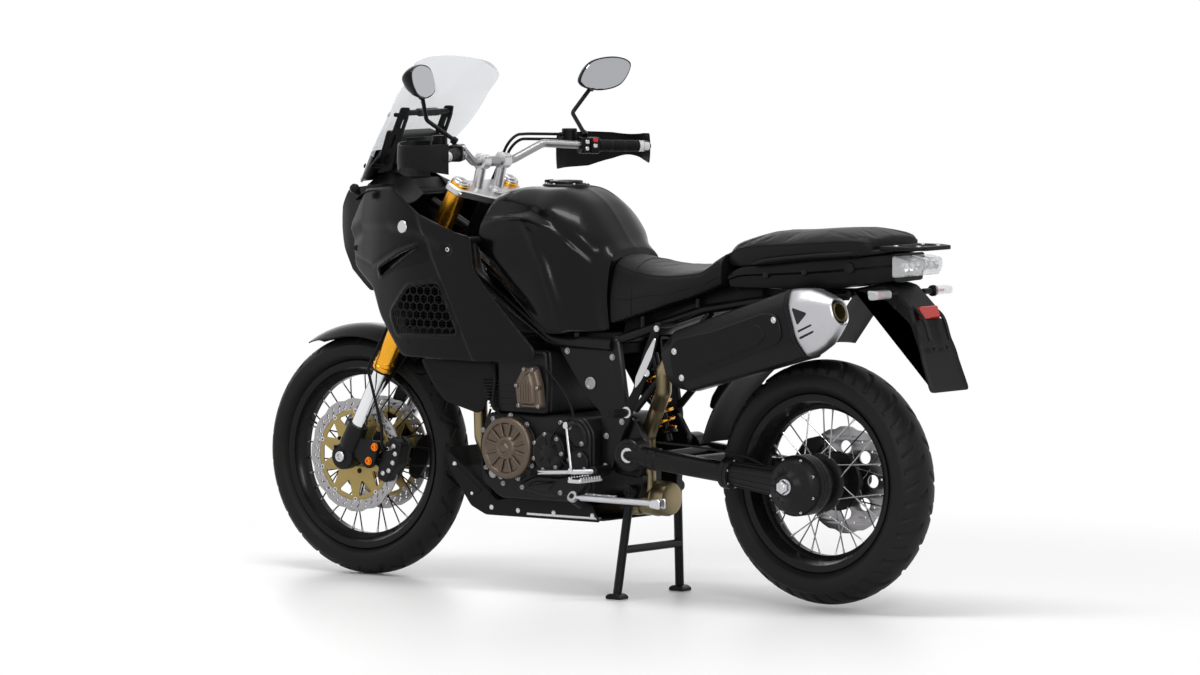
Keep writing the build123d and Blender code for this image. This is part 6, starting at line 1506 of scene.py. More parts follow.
class Screen:
    """The windscreen, its stays and the instruments."""

    def build(self) -> None:
        """Make all of its pieces."""
        self.sheet()
        self.dash()

    def sheet(self) -> None:
        """The clear screen.

        At height z it is an arc, bowed forwards, through the levels' nose and half width; its sides and top follow a
        smooth outline, and its lower part is dark.
        """
        levels = np.array([(1084, 790, 110, 60), (1200, 716, 168, 88), (1320, 628, 205, 96), (1422, 548, 190, 76)],
                          float)
        foot, corner, crown = 1077, 1372, 1421.6
        edge = smooth_line([(104, foot), (148, 1150), (184, 1240), (200, 1330), (196, corner), (166, 1400), (120, 1412),
                            (60, 1419.5), (0, crown)], 8)
        bend = 33  # the outline's points up to its upper corner
        t = np.linspace(-1, 1, 61)[None, :]
        v = np.linspace(0, 1, 81)[:, None]
        top = np.interp(np.abs(t) * 200, edge[::-1, 0][:bend], edge[::-1, 1][:bend])
        side_z = np.linspace(foot, corner, 60)
        side_w = np.interp(side_z, edge[:bend, 1], edge[:bend, 0])
        z = foot + (np.minimum(top, crown) - foot) * v
        wide = np.interp(np.minimum(z, corner), side_z, side_w)
        y = t * np.where(z > corner, 198, wide)
        thick = 3.2
        faces = []
        for depth in (0.0, thick):
            nose = np.interp(z, levels[:, 0], levels[:, 1])
            half = np.interp(z, levels[:, 0], levels[:, 2])
            bow = np.interp(z, levels[:, 0], levels[:, 3])
            circle = arc_radius(half, bow)
            x = nose - depth - circle + np.sqrt(np.maximum(circle**2 - y**2, 1.0))
            faces.append(np.stack([x, y, z], -1))
        sheet = Shape()
        split = 20  # rows of the dark lower part
        sheet.loft(np.concatenate([faces[0][split:], faces[1][split:, ::-1]], 1))
        sheet.build("screen_clear", SCREEN, "chassis", ["windscreen"], sharp=60)
        dark = Shape().loft(np.concatenate([faces[0][: split + 1], faces[1][: split + 1, ::-1]], 1))
        dark.build("screen_foot", DISPLAY, "chassis", sharp=60)
        bolts = Shape()
        for side in SIDES:
            for z_at in (1122.0, 1262.0):
                nose = float(np.interp(z_at, levels[:, 0], levels[:, 1]))
                half = float(np.interp(z_at, levels[:, 0], levels[:, 2]))
                bow = float(np.interp(z_at, levels[:, 0], levels[:, 3]))
                circle = arc_radius(half, bow)
                x_at = nose - circle + math.sqrt(circle**2 - 96.0**2)
                bolts.bolt((x_at - 0.5, side * 96, z_at), (0.9, side * 0.25, 0.4), 5.5, 3.0)
        bolts.build("screen_bolts", SATIN, "chassis")

    def dash(self) -> None:
        """Instrument housing with its display, the screen's stays with holes, and the cross bar."""
        house, stays, glass, bar = Shape(), Shape(), Shape(), Shape()
        house.slab([(652, 1112), (602, 1142), (619, 1206), (660, 1222), (686, 1150)], -94, 94, 10, 4.0)
        house.slab([(688, 1079), (642, 1079), (652, 1138), (680, 1138)], -68, 68, 4, 2.0)
        face = np.array([601.6, 0, 1142.0])
        slope = unit([17.0, 0, 64.0])
        glass.prism(rounded([(-78, 6), (78, 6), (70, 60), (-70, 60)], 12), face, (0, -1, 0), slope, -1.5, 2.5, 1.2)
        stay = [(688, 1102), (681, 1140), (640, 1210), (606, 1283), (579, 1283), (585, 1254), (618, 1180), (640, 1112)]
        holes = [rounded([(650, 1128), (668, 1128), (664, 1146), (648, 1156)], 5)[::-1],
                 rounded([(634, 1176), (646, 1170), (628, 1208), (620, 1206)], 4)[::-1],
                 rounded([(606, 1226), (614, 1226), (602, 1252), (596, 1250)], 3)[::-1]]
        panel = Panel([rounded(stay, 7), *holes], 8.0)
        for side in SIDES:
            panel.sideways(stays, np.full(len(panel.flat), 99.6), 7.0, side, curl=1.2)
            for level, start in ((1122.0, 668.0), (1262.0, 600.0)):
                reach = 706.0 if level < 1200 else 629.0
                stays.rod((start, side * 96, level), (reach, side * 96, level), 5.8)
        bar.rod((592, -100, 1268), (592, 100, 1268), 7.8)
        bar.prism(rounded([(-46, -9), (46, -9), (46, 9), (-46, 9)], 5), (592, 0, 1268), (0, 1, 0), unit([-0.4, 0, 1]),
                  -9, 9, 2.0)
        house.build("dash_housing", MATTE, "chassis", ["instrument_panel"])
        stays.build("screen_stays", MATTE, "chassis", sharp=40)
        glass.build("dash_display", DISPLAY, "chassis")
        bar.build("dash_bar", SATIN, "chassis")


# ------------------------------------------------------------------ engine, drive and frame
CASE_SIDE = [(-90, 282), (-64, 250), (216, 250), (280, 292), (288, 400), (262, 478), (-60, 478), (-90, 440)]
SIDE_PIVOT = np.array([-42.0, 180.0, 268.0])
SIDE_STOWED = unit([-1.0, 0.08, 0.0])
SIDE_DOWN = unit([0.55, 0.367, -0.75])
KEEL = [(428, 372), (412, 318), (340, 222), (290, 202), (-96, 202), (-118, 205)]


class Engine:
    """Case, cylinders, head, the round covers of both sides, the small pieces on them, and the skid plate."""

    generator = np.array([176.0, 0.0, 388.0])
    gear = np.array([36.0, 0.0, 384.0])
    starter = np.array([-48.0, 0.0, 354.0])
    drum_start = 160

    def build(self) -> None:
        """Make all of its pieces."""
        self.case()
        self.covers()
        self.small_pieces()
        self.skid()

    def case(self) -> None:
        """Case and head with eased edges, ribs, joint lines and the cover flanges of both sides."""
        case = Shape()
        case.slab(CASE_SIDE, -152, 152, 14, 4.0)
        rim = [(x * 0.985 + 1.2, z * 0.985 + 5.4) for x, z in CASE_SIDE]
        for side in SIDES:
            case.slab(rim, *span(side, 150, 164.6), 18, 3.5)
        lug = unit(np.cross(SIDE_DOWN, SIDE_STOWED))
        case.rod(SIDE_PIVOT - lug * 40, SIDE_PIVOT - lug * 6.1, 15.8, sides=32)
        case.rod(SIDE_PIVOT - lug * 7, SIDE_PIVOT + lug * 8.8, 6.9, sides=24)
        low = self.drum_start
        for y, radius, centre in ((172.8, 87.6, self.generator), (186.6, 52.6, self.gear), (172.8, 37.6, self.starter)):
            case.lathe(centre + ACROSS * low, ACROSS, [(0, radius - 1), (1.6, radius), (y - low - 2, radius),
                                                       (y - low, radius - 2), (y - low, 1)], 64)
        case.slab([(62, 478.8), (262, 478.8), (299, 560), (309, 640), (66, 649), (59, 560)], -139.5, 139.5, 12, 4.0)
        for side in SIDES:
            case.slab([(64, 480), (228, 480), (229, 560), (229, 642), (67, 647), (60, 560)],
                      *span(side, 139, 157), 12, 4.0)
            for rib in range(9):
                z = 492 + rib * 8.4
                front = np.interp(z, [478, 560], [262, 299])
                case.slab([(74, z), (front - 12, z), (front - 12, z + 3.4), (74, z + 3.4)],
                          *span(side, 120, 157.6 if rib % 2 else 157.2), 1.2, 0.8)
        case.slab([(61, 601), (299, 591), (295, 667), (81, 675)], -91.5, 91.5, 10, 5.0)
        case.slab([(100, 646), (270, 642), (262, 668.5), (108, 674)], -80, 80, 6, 2.0)
        case.build("engine_block", CASTING, "chassis", ["engine_case", "cylinder_head"], sharp=34)

    def covers(self) -> None:
        """The bronze generator cover with its hub ring and ribs, the chain cover, and the right side's covers."""
        bronze, black = Shape(), Shape()
        centre = self.generator
        bronze.lathe(centre + ACROSS * 173.2, ACROSS, [
            (0, 83.4), (11, 83.6), (17, 81.8), (20.5, 78), (22, 73), (22, 68), (16.6, 64), (14.6, 54), (16.4, 34),
            (21.6, 30), (24.6, 27.4), (25.4, 24.5), (25.4, 20.5), (23.6, 18.4), (24, 14), (26.6, 11.6), (29, 9.5),
            (29.4, 0.6)],
            96)
        for number in range(12):
            angle = 2 * math.pi * (number + 0.5) / 12
            along = np.array([math.cos(angle), 0, math.sin(angle)])
            bronze.rod(centre + along * 27 + ACROSS * 191.6, centre + along * 69 + ACROSS * 191.4, 4.2, 3.4, 10)
        bronze.slab([(61, 493), (149, 493), (158, 560), (129, 610), (85, 610), (68, 560)], 158.5, 181, 14, 4.5, 3.0)
        bronze.slab([(82, 504), (132, 504), (137, 555), (115, 592), (95, 592), (85, 556)], 176, 189.4, 12, 4.0, 3.0)
        for x, z in ((72, 503), (138, 503), (146, 556), (120, 600), (92, 600), (76, 552)):
            bronze.lathe((x, 170, z), ACROSS, [(0, 7.6), (11, 7.4), (12.2, 6.6)], 20)
        for number in range(5):
            x = 92 + number * 8.6
            bronze.rod((x, 189.6, 514), (x + 2, 189.2, 574 - abs(number - 2) * 7), 2.0, 2.0, 8)
        gear = self.gear + ACROSS * 186.4
        black.lathe(gear, ACROSS, [(0, 51), (3, 50), (5.4, 46), (6.2, 38), (4.2, 33), (3.4, 22), (5.6, 18), (6.6, 12),
                                   (6.8, 1)], 64)
        for number in range(6):
            angle = math.pi / 3 * number + 0.3
            along = np.array([math.cos(angle), 0, math.sin(angle)])
            black.rod(gear + along * 20 + ACROSS * 4.2, gear + along * 42 + ACROSS * 4.2, 2.6, 2.0, 8)
        black.slab([(-84, 300), (-52, 268), (60, 262), (140, 276), (150, 292), (92, 318), (0, 318), (-30, 330),
                    (-76, 336)], 163, 172, 14, 3.6, 2.0)
        black.slab([(20, 306), (44, 278), (100, 280), (116, 290), (90, 304)], 170, 177, 8, 3.0, 1.0)
        black.slab([(-78, 398), (-40, 396), (-14, 424), (-10, 462), (-56, 466), (-78, 440)], 163, 171, 12, 3.6, 2.0)
        for centre, radius, low, high in ((np.array([136.0, 0, 388]), 95.4, -162, -198.6),
                                          (np.array([-4.0, 0, 372]), 53.5, -162, -180.6)):
            depth = abs(high - low)
            black.lathe(centre + ACROSS * low, -ACROSS, [(0, radius), (depth - 8, radius - 1), (depth - 3, radius - 5),
                                                         (depth - 0.8, radius - 12), (depth, radius * 0.6),
                                                         (depth - 3, radius * 0.54), (depth - 3, radius * 0.2),
                                                         (depth - 0.4, radius * 0.17), (depth - 0.4, 1)], 72)
        bronze.build("bronze_covers", BRONZE, "chassis", ["engine_covers"], sharp=36)
        black.build("black_covers", CASTING, "chassis", sharp=34)

    def small_pieces(self) -> None:
        """Bolts round every cover, the thin cables, plugs and clips."""
        bolts, cables = Shape(), Shape()
        for centre, radius, y, count, phase in (
            (self.generator, 80.5, 172.6, 9, 0.2), (self.gear, 47.5, 190.4, 7, 0.5),
            (self.starter, 28, 172.8, 4, 0.4),
        ):
            for number in range(count):
                angle = 2 * math.pi * number / count + phase
                where = centre + np.array([math.cos(angle), 0, math.sin(angle)]) * radius
                if centre is self.generator:
                    where = centre + (where - centre) * (85.0 / radius)
                    bolts.lathe(where + ACROSS * 166, ACROSS, [(0, 7.8), (6.4, 7.6), (7.2, 6.6)], 20)
                    bolts.bolt(where + ACROSS * 173.0, ACROSS, 5.0, 4.5, False)
                else:
                    bolts.bolt(where + ACROSS * y, ACROSS, 4.6, 4.5)
        for x, z, y in ((-70, 322, 172), (6, 276, 172), (134, 284, 172), (-64, 410, 171), (-24, 452, 171),
                        (204, 290, 164.8), (262, 330, 164.8), (272, 430, 164.8), (238, 462, 164.8), (10, 462, 164.8)):
            bolts.bolt((x, y, z), ACROSS, 5.2, 5.0)
        for x, z in ((72, 503), (138, 503), (146, 556), (120, 600), (92, 600), (76, 552)):
            bolts.bolt((x, 182, z), ACROSS, 4.8, 4.6, False)
        for x, z in ((-78, 300), (-52, 264), (250, 280), (282, 392), (258, 470), (80, 640), (220, 636), (222, 492)):
            bolts.bolt((x, -164.6 if z < 478 else -157.2, z), -ACROSS, 5.0, 4.6)
        for number in range(8):
            angle = 2 * math.pi * number / 8
            bolts.bolt((136 + math.cos(angle) * 88, -192.5, 388 + math.sin(angle) * 88), -ACROSS, 4.6, 3.2, False)
        cables.tube(smooth_line([(-20, 166, 472), (6, 178, 452), (20, 194, 424), (14, 197, 396), (-8, 190, 368),
                                 (-32, 180, 336), (-50, 176, 306)], 8), 2.6, 10)
        cables.tube(smooth_line([(60, 160, 600), (28, 150, 560), (-6, 152, 520), (-26, 158, 484), (-32, 165, 462)], 8),
                    3.4, 12)
        cables.tube(smooth_line([(214, 161, 470), (236, 166, 500), (236, 161, 560), (244, 150, 610)], 8), 4.2, 12)
        cables.tube(smooth_line([(250, 162, 300), (268, 166, 330), (276, 163, 380), (268, 158, 440), (258, 150, 486)],
                                8), 3.2, 12)
        bolts.lathe((238, 158, 316), ACROSS, [(0, 15), (4, 15), (4.6, 13.6), (9, 13), (10, 11), (8, 8), (8, 1)], 12)
        bolts.build("engine_bolts", TITANIUM, "chassis")
        cables.build("engine_cables", RUBBER, "chassis")

    def skid(self) -> None:
        """The folded skid plate: keel, side plates with raised lines, and the bright lower rails with bolts."""
        plate, rail = Shape(), Shape()
        keel = bent([(x, 0, z) for x, z in KEEL], 30, 8)[:, [0, 2]]
        t = np.linspace(-1, 1, 33)
        lip = np.where(np.abs(t) < 0.93, 0.0, 1.6 * ((np.abs(t) - 0.93) / 0.07) ** 2)
        profile = lip + 0.9 * (np.abs(np.sin(t * 9.4)) < 0.3)
        tangent = np.gradient(keel, axis=0)
        tangent /= np.linalg.norm(tangent, axis=1, keepdims=True)
        normal = np.stack([-tangent[:, 1], tangent[:, 0]], 1)
        normal *= np.sign(normal[:, 1:] + 1e-6) * -1
        rings = []
        for depth, sign in ((0.0, 1), (-3.6, -1)):
            lift = (depth - profile * 0.6)[None, :, None]
            flat = keel[:, None] + normal[:, None] * lift
            rings.append(np.stack([flat[..., 0], np.broadcast_to(t * 127.8, flat.shape[:2]), flat[..., 1]], -1)[:,
                                                                                                                ::sign])
        plate.loft(np.concatenate(rings, 1))
        shape = [(431, 371), (413, 316), (341, 221), (290, 199), (-95, 199), (-64, 249), (206, 249), (250, 240),
                 (330, 300)]
        for side in SIDES:
            plate.slab(shape, *span(side, 128.2, 131.6), 8, 1.4)
            plate.slab([(300, 262), (340, 244), (396, 312), (404, 336)], *span(side, 130, 134), 8, 1.6)
            rail.tube(bent([(-90, side * 124, 207), (284, side * 124, 207), (334, side * 124, 228),
                            (392, side * 124, 304)], 30, 8), 5.2, 14)
            for x, z in ((-70, 216), (60, 216), (180, 216), (270, 220), (336, 254), (396, 330)):
                rail.hex_bolt((x, side * 131.2, z), (0, side, 0), 5.0, 3.6)
            rail.slab([(-86, 206), (150, 206), (150, 213), (-80, 213)], *span(side, 130, 133.4), 2, 1.0)
        plate.build("skid_plates", MATTE, "chassis", ["skid_plate"], sharp=30)
        rail.build("skid_rails", SILVER, "chassis")


class Drive:
    """The shaft-drive swingarm, its ribbed boot, the final-drive casting, axle ends, brake and shock."""

    def build(self) -> None:
        """Make all of its pieces."""
        self.arm()
        self.final_drive()
        self.brake()
        self.shock()

    def arm(self) -> None:
        """The left tube with flanges and bosses, and the right arm."""
        arm, bright = Shape(), Shape()
        arm.lathe(arm_point(2, 135), DRIVE, [(0, 26), (1.5, 28), (60, 28), (64, 30.5), (84, 30.5), (88, 28), (296, 28),
                                             (306, 34), (308, 41.6), (321.4, 41.8), (322.4, 40.6)], 48)
        for side in SIDES:
            arm.lathe(PIVOT + ACROSS * side * 107, (0, side, 0), [(0, 42), (2, 44), (47, 44), (51, 41), (52.6, 34),
                                                                  (50, 30), (50, 1)], 56)
            arm.slab([(-206, 430), (-160, 414), (-160, 352), (-206, 340), (-244, 360), (-244, 412)],
                     *span(side, 112, 150), 16, 4.0)
        arm.rod(arm_point(62, -130), arm_point(62, 135), 17.8, sides=28)
        arm.rod(arm_point(170, -132), arm_point(170, 135), 19.8, sides=28)
        right = [(-205, 412), (-205, 356), (-620, 318), (-744, 300), (-782, 320), (-782, 346), (-744, 366), (-620, 368)]
        arm.slab(right, -149.8, -122.2, 12, 5.0)
        arm.slab([(-250, 398), (-250, 366), (-600, 334), (-690, 330), (-690, 352), (-600, 354)], -149.9, -146, 8, 2.6)
        for number in range(6):
            angle = math.pi / 3 * number + 0.2
            where = arm_point(308, 135) + 35.5 * (math.cos(angle) * basis(DRIVE)[0] + math.sin(angle) * basis(DRIVE)[1])
            bright.bolt(where + DRIVE * 27.6, DRIVE, 3.6, 4.0, False)
            bright.bolt(where + DRIVE * 4.0, -DRIVE, 3.6, 3.4, False)
        for side in SIDES:
            bright.lathe(PIVOT + ACROSS * side * 156, (0, side, 0),
                         [(-1, 20), (2.4, 20), (3.4, 18.6), (3.4, 12), (0.6, 11), (0.6, 1)], 32)
        arm.build("swingarm_tubes", FRAME, "chassis", ["swingarm"], sharp=30)
        bright.build("swingarm_bolts", STEEL, "chassis")

    def final_drive(self) -> None:
        """The casting's turned drum with cooling ribs, its cone with ribs along it, plugs, sensor and axle nut."""
        cast, bright, boot = Shape(), Shape(), Shape()
        axle = REAR_AXLE
        cast.lathe(axle + ACROSS * 88.2, ACROSS, [
            (0, 12.5), (0, 68), (1.5, 69.8), (6, 77), (9, 79.6), (22, 79.8), (24, 76), (26, 79.8), (36, 79.8), (38, 76),
            (40, 79.8), (50, 79.8), (52, 76), (54, 79.8), (62, 79.6), (68, 76.4), (75, 71), (81, 65.6), (84, 58),
            (87.4, 50), (91.4, 42), (99, 34), (104.6, 30), (105.6, 28), (105.6, 12.4)], 96)
        for number in range(16):
            angle = 2 * math.pi * number / 16
            along = np.array([math.cos(angle), 0, math.sin(angle)])
            cast.rod(axle + along * 76 + ACROSS * 154, axle + along * 44 + ACROSS * 178, 2.9, 2.5, 10)
        for number in range(8):
            angle = 2 * math.pi * (number + 0.5) / 8
            along = np.array([math.cos(angle), 0, math.sin(angle)])
            cast.lathe(axle + along * 73.0 + ACROSS * 140, ACROSS, [(0, 6.4), (18.5, 6.2), (20, 5.2)], 18)
            bright.bolt(axle + along * 73.0 + ACROSS * 159.4, ACROSS, 4.0, 3.6, False)
        cast.lathe(arm_point(325.2, 135), DRIVE, [(0, 39.5), (1, 41.8), (11.4, 41.8), (12.4, 40), (13, 32), (20, 31.2),
                                                 (150, 37.5), (166, 38.4)], 48)
        first, second = basis(DRIVE)
        for number in range(14):
            angle = 2 * math.pi * number / 14
            out = first * math.cos(angle) + second * math.sin(angle)
            cast.rod(arm_point(334, 135) + out * 31.4, arm_point(486, 135) + out * 38.0, 2.4, 2.6, 8)
        cast.lathe(axle + np.array([-30.0, 150, -64]), unit([-0.3, 0.5, -0.8]), [(-14, 12), (-2, 12), (0, 11), (0, 1)],
                   24)
        bright.lathe(axle + np.array([36.0, 164, -44]), unit([0.35, 0.9, -0.25]),
                     [(-8, 10), (3, 10), (4, 9), (4, 5), (2, 4.6), (2, 0.5)], 24)
        bright.lathe(axle + np.array([24.0, 160, 52]), unit([0.2, 0.9, 0.35]), [(-8, 8), (5, 8), (6, 7), (6, 1)], 6)
        bright.lathe(axle + ACROSS * 194.3, ACROSS, [(0, 20.5), (1.6, 20.5), (2.2, 18.8), (2.3, 10)], 40)
        bright.lathe(axle + ACROSS * 196.2, ACROSS, [(0, 18.6), (10, 18.6), (13, 16.8), (13.2, 12.4)], 6)
        bright.lathe(axle + ACROSS * 197, ACROSS, [(0, 11.6), (13.6, 11.6), (14.6, 10.4), (14.6, 6.4), (4, 6),
                                                   (4, 0.5)], 32)
        bright.lathe(axle - ACROSS * 149.9, -ACROSS, [(0, 18.6), (8.4, 18.6), (9.6, 17.4), (9.8, 12.4), (6, 11.6),
                                                      (6, 0.5)], 6)
        bright.rod(axle - ACROSS * 121.8, axle - ACROSS * 85.3, 17.8, sides=32)
        bright.rod(axle - ACROSS * 152, axle + ACROSS * 196, 11.9, sides=32)
        boot.tube(smooth_line([(-640, 142, 380), (-600, 152, 398), (-520, 156, 412), (-420, 156, 420),
                               (-300, 150, 424)], 8), 3.0, 10)
        cast.build("final_drive_casting", CASTING, "chassis", ["final_drive"], sharp=34)
        bright.build("axle_ends", STEEL, "chassis", ["rear_axle"])
        boot.build("sensor_lead", RUBBER, "chassis")

    def brake(self) -> None:
        """The rear caliper over its disc, its bolts and bracket."""
        x, z = -632, 395
        outline = [(x + a, z + b) for a, b in ((-52, 24), (-40, 52), (10, 40), (44, -6), (16, -30), (-16, -8))]
        body, bits = Shape(), Shape()
        body.slab(outline, -121.4, -106.6, 10, 3.0)
        body.slab(outline, -94.6, -62.4, 10, 4.0)
        bridge = [(x + a, z + b) for a, b in ((-50, 30), (-40, 52), (10, 40), (42, 0), (30, -6), (2, 26), (-34, 34))]
        body.slab(bridge, -107, -94, 4, 1.0)
        for a, b in ((-34, 36), (12, 24), (20, -14)):
            bits.bolt((x + a, -121.2, z + b), -ACROSS, 5.5, 0.2 + 3.0)
        body.build("rear_caliper_body", CASTING, "chassis", ["rear_caliper"], sharp=30)
        bits.build("rear_caliper_bolts", STEEL, "chassis")

    def shock(self) -> None:
        """Damper body, rod and the coil spring round it."""
        foot, top = np.array([-206.0, -25.0, 408.0]), np.array([-150.0, -25.0, 655.0])
        along = unit(top - foot)
        long = float(np.linalg.norm(top - foot))
        body, coil = Shape(), Shape()
        body.lathe(foot, along, [(4, 12), (22, 12), (24, 29), (30, 29.6), (34, 27), (36, 9), (150, 9), (152, 16.6),
                                 (long - 62, 16.8), (long - 60, 29.6), (long - 52, 29.6), (long - 50, 16),
                                 (long - 12, 14)], 36)
        first, second = basis(along)
        turn = np.linspace(0, 2 * np.pi * 6.2, 190)
        rise = np.linspace(36, long - 66, 190)
        path = foot + along * rise[:, None] + 24.4 * (first * np.cos(turn)[:, None] + second * np.sin(turn)[:, None])
        coil.tube(path, 4.6, 10)
        body.build("shock_body", FRAME, "chassis", ["rear_shock"], sharp=30)
        coil.build("shock_spring", GOLD, "chassis")


class FrameWork:
    """Main frame with its side plates and spars, and the subframe's rails and stays."""

    def build(self) -> None:
        """Make all of its pieces."""
        tubes, bright = Shape(), Shape()
        tubes.lathe(fork_point(606, 0, -43.2), UP, [(0, 22), (0, 33.5), (2, 35), (16, 35), (18, 32.6), (198, 32.6),
                                                    (200, 35), (214, 35), (216, 33.5), (216, 22)], 48)
        for side in SIDES:
            spar = bent([fork_point(700, side * 14, -55.2), (330, side * 108, 838), (70, side * 118, 676),
                         (-130, side * 118, 672)], 60, 9)
            tubes.tube(spar, 17.9, 24)
            plate = [(-185, 470), (-120, 331), (-90.6, 331), (-90.6, 489), (-40, 529), (8, 599), (49, 655), (43, 689),
                     (-149, 689)]
            tubes.slab(plate, *span(side, 104.2, 123.6), 12, 4.0)
            tubes.slab([(-140, 500), (-96, 500), (-40, 560), (4, 640), (0, 664), (-120, 664), (-140, 560)],
                       *span(side, 122, 123.8), 12, 1.0)
            tubes.slab([(-228, 360), (-200, 321), (-120.5, 331), (-120.5, 499), (-190, 479), (-228, 420)],
                       *span(side, 84.3, 106.2), 10, 4.0)
            tubes.slab([(-206, 330), (-150, 330), (-150, 286), (-162, 264), (-190, 264), (-202, 286)],
                       *span(side, 64.2, 89.8), 6, 2.0)
            tubes.rod(np.array([-176.0, side * 64.5, 286]), (-176, side * 118.4, 286), 6.9)
            tubes.tube([fork_point(652, side * 12, -57.2), (326, side * 96, 560)], 12.9, 20)
            tubes.rod((200, side * 111, 760), (200, side * 111, 800.6), 9.8)
            tubes.rod((-10, side * 118, 676), (-10, side * 118, 701.4), 9.8)
            bright.lathe((-59, side * 123, 568), (0, side, 0),
                         [(0, 17), (4, 17), (5, 15.6), (5, 11), (3.4, 10), (3.4, 1)], 32)
            for x, z in ((-162, 470), (-130, 640), (20, 650), (-106, 350), (-110, 430)):
                bright.hex_bolt((x, side * 123.2, z), (0, side, 0), 6.6, 5.5)
            rail = bent([(-151.8, side * 106, 689.2), (-420, side * 106, 776), (-700, side * 84, 822),
                         (-849, side * 60, 828)], 80, 9)
            tubes.tube(rail, 12.9, 20)
            tubes.tube([(-187.6, side * 98, 501), (-440, side * 104, 768)], 9.9, 18)
        tubes.rod((-140, -118, 685), (-140, 118, 685), 11.9, sides=20)
        tubes.rod(fork_point(720, 0, -14.4), fork_point(720, 0, 134.1), 12.9)
        for low in (-55, -3):
            tubes.slab([(-160, 689), (-130, 689), (-136, 641), (-164, 641)], low + 0.2, low + 7.8, 4, 1.0)
        tubes.build("frame_tubes", FRAME, "chassis", ["main_frame"], sharp=30)
        bright.build("frame_bolts", TITANIUM, "chassis")


class Rests:
    """Rider's and passenger's rests, the gear lever and its linkage."""

    def build(self) -> None:
        """Make all of its pieces."""
        black, bright, rubber, bracket = Shape(), Shape(), Shape(), Shape()
        for side in SIDES:
            black.rod((-116, side * 124.6, 340), (-116, side * 190.5, 340), 13.8, sides=24)
            bright.slab([(-149, 316.4), (-107, 316.4), (-107, 326), (-149, 326)], *span(side, 190.4, 289), 5, 2.0)
            for number in range(8):
                y = side * (200 + number * 11.4)
                bright.slab([(-149.6, 317), (-106.4, 317), (-106.4, 331.6), (-110, 331.6), (-113, 326.5), (-143, 326.5),
                             (-146, 331.6), (-149.6, 331.6)], *sorted((y, y + side * 4.4)), 1.5, 0.8)
            rubber.slab([(-140, 322), (-116, 322), (-118, 330.8), (-138, 330.8)], *span(side, 206, 284), 3, 1.6)
            shape = [(-322, 743), (-285, 660), (-251, 560), (-223, 520), (-215, 490), (-243, 485), (-271, 540),
                     (-315, 640), (-345, 743)]
            bracket.slab(shape, *span(side, 190.3, 197.6), 10, 2.6)
            inner = [(-318, 720), (-292, 664), (-258, 566), (-268, 560), (-308, 650), (-334, 716)]
            bracket.slab(inner, *span(side, 196, 199.2), 5, 1.2)
            bracket.rod((-332, side * 119.4, 736), (-332, side * 192, 736), 7.9)
            bracket.rod((-230, side * 196, 502), (-230, side * 261.6, 502), 11.4, sides=24)
            rubber.rod((-230, side * 206, 502), (-230, side * 261.4, 502), 11.9, sides=24)
            bright.slab([(-326, 704), (-300, 664), (-264, 596), (-262, 566), (-284, 590), (-318, 652), (-332, 700)],
                        *span(side, 198.4, 201.4), 8, 1.2)
            bright.lathe((-300, side * 198, 610), (0, side, 0), [(0, 10), (1.6, 10), (2.4, 8.6), (1.2, 7.4), (1.2, 1)],
                         28)
            bright.hex_bolt((-332, side * 198, 728), (0, side, 0), 6.4, 4.5)
            bright.lathe((-234, side * 198, 503), (0, side, 0),
                         [(-1, 15), (3, 15), (4.6, 12.6), (4.6, 8), (3, 7), (3, 1)], 32)
        path = bent([(-116, 184, 340), (-60, 207, 337), (50, 217, 331)], 30, 7)
        bright.tube(path, np.linspace(7.4, 5.6, len(path)), 14)
        bright.rod((50, 217, 331), (50, 254, 332), 5.6)
        rubber.rod((50, 224, 331.3), (50, 254.6, 332), 8.4, sides=20)
        bright.rod((-58, 207, 337), (-32, 196, 462), 3.9, sides=14)
        for place_at in ((-58, 207, 340), (-33, 196, 458)):
            bright.lathe(np.array(place_at) - ACROSS * 6, ACROSS, [(0, 8), (12, 8), (12.6, 7)], 20)
        bright.rod((-32, 165.6, 462), (-32, 201.6, 462), 6.4)
        brake = bent([(-116, -184, 340), (-60, -204, 330), (56, -212, 322)], 30, 7)
        bright.tube(brake, np.linspace(7.4, 6.4, len(brake)), 14)
        bracket.build("passenger_brackets", MATTE, "chassis", ["passenger_rests"], sharp=30)
        black.build("rest_tubes", FRAME, "chassis", sharp=30)
        bright.build("pegs_and_lever", STEEL, "chassis", ["footrests"], sharp=34)
        rubber.build("peg_rubbers", RUBBER, "chassis")


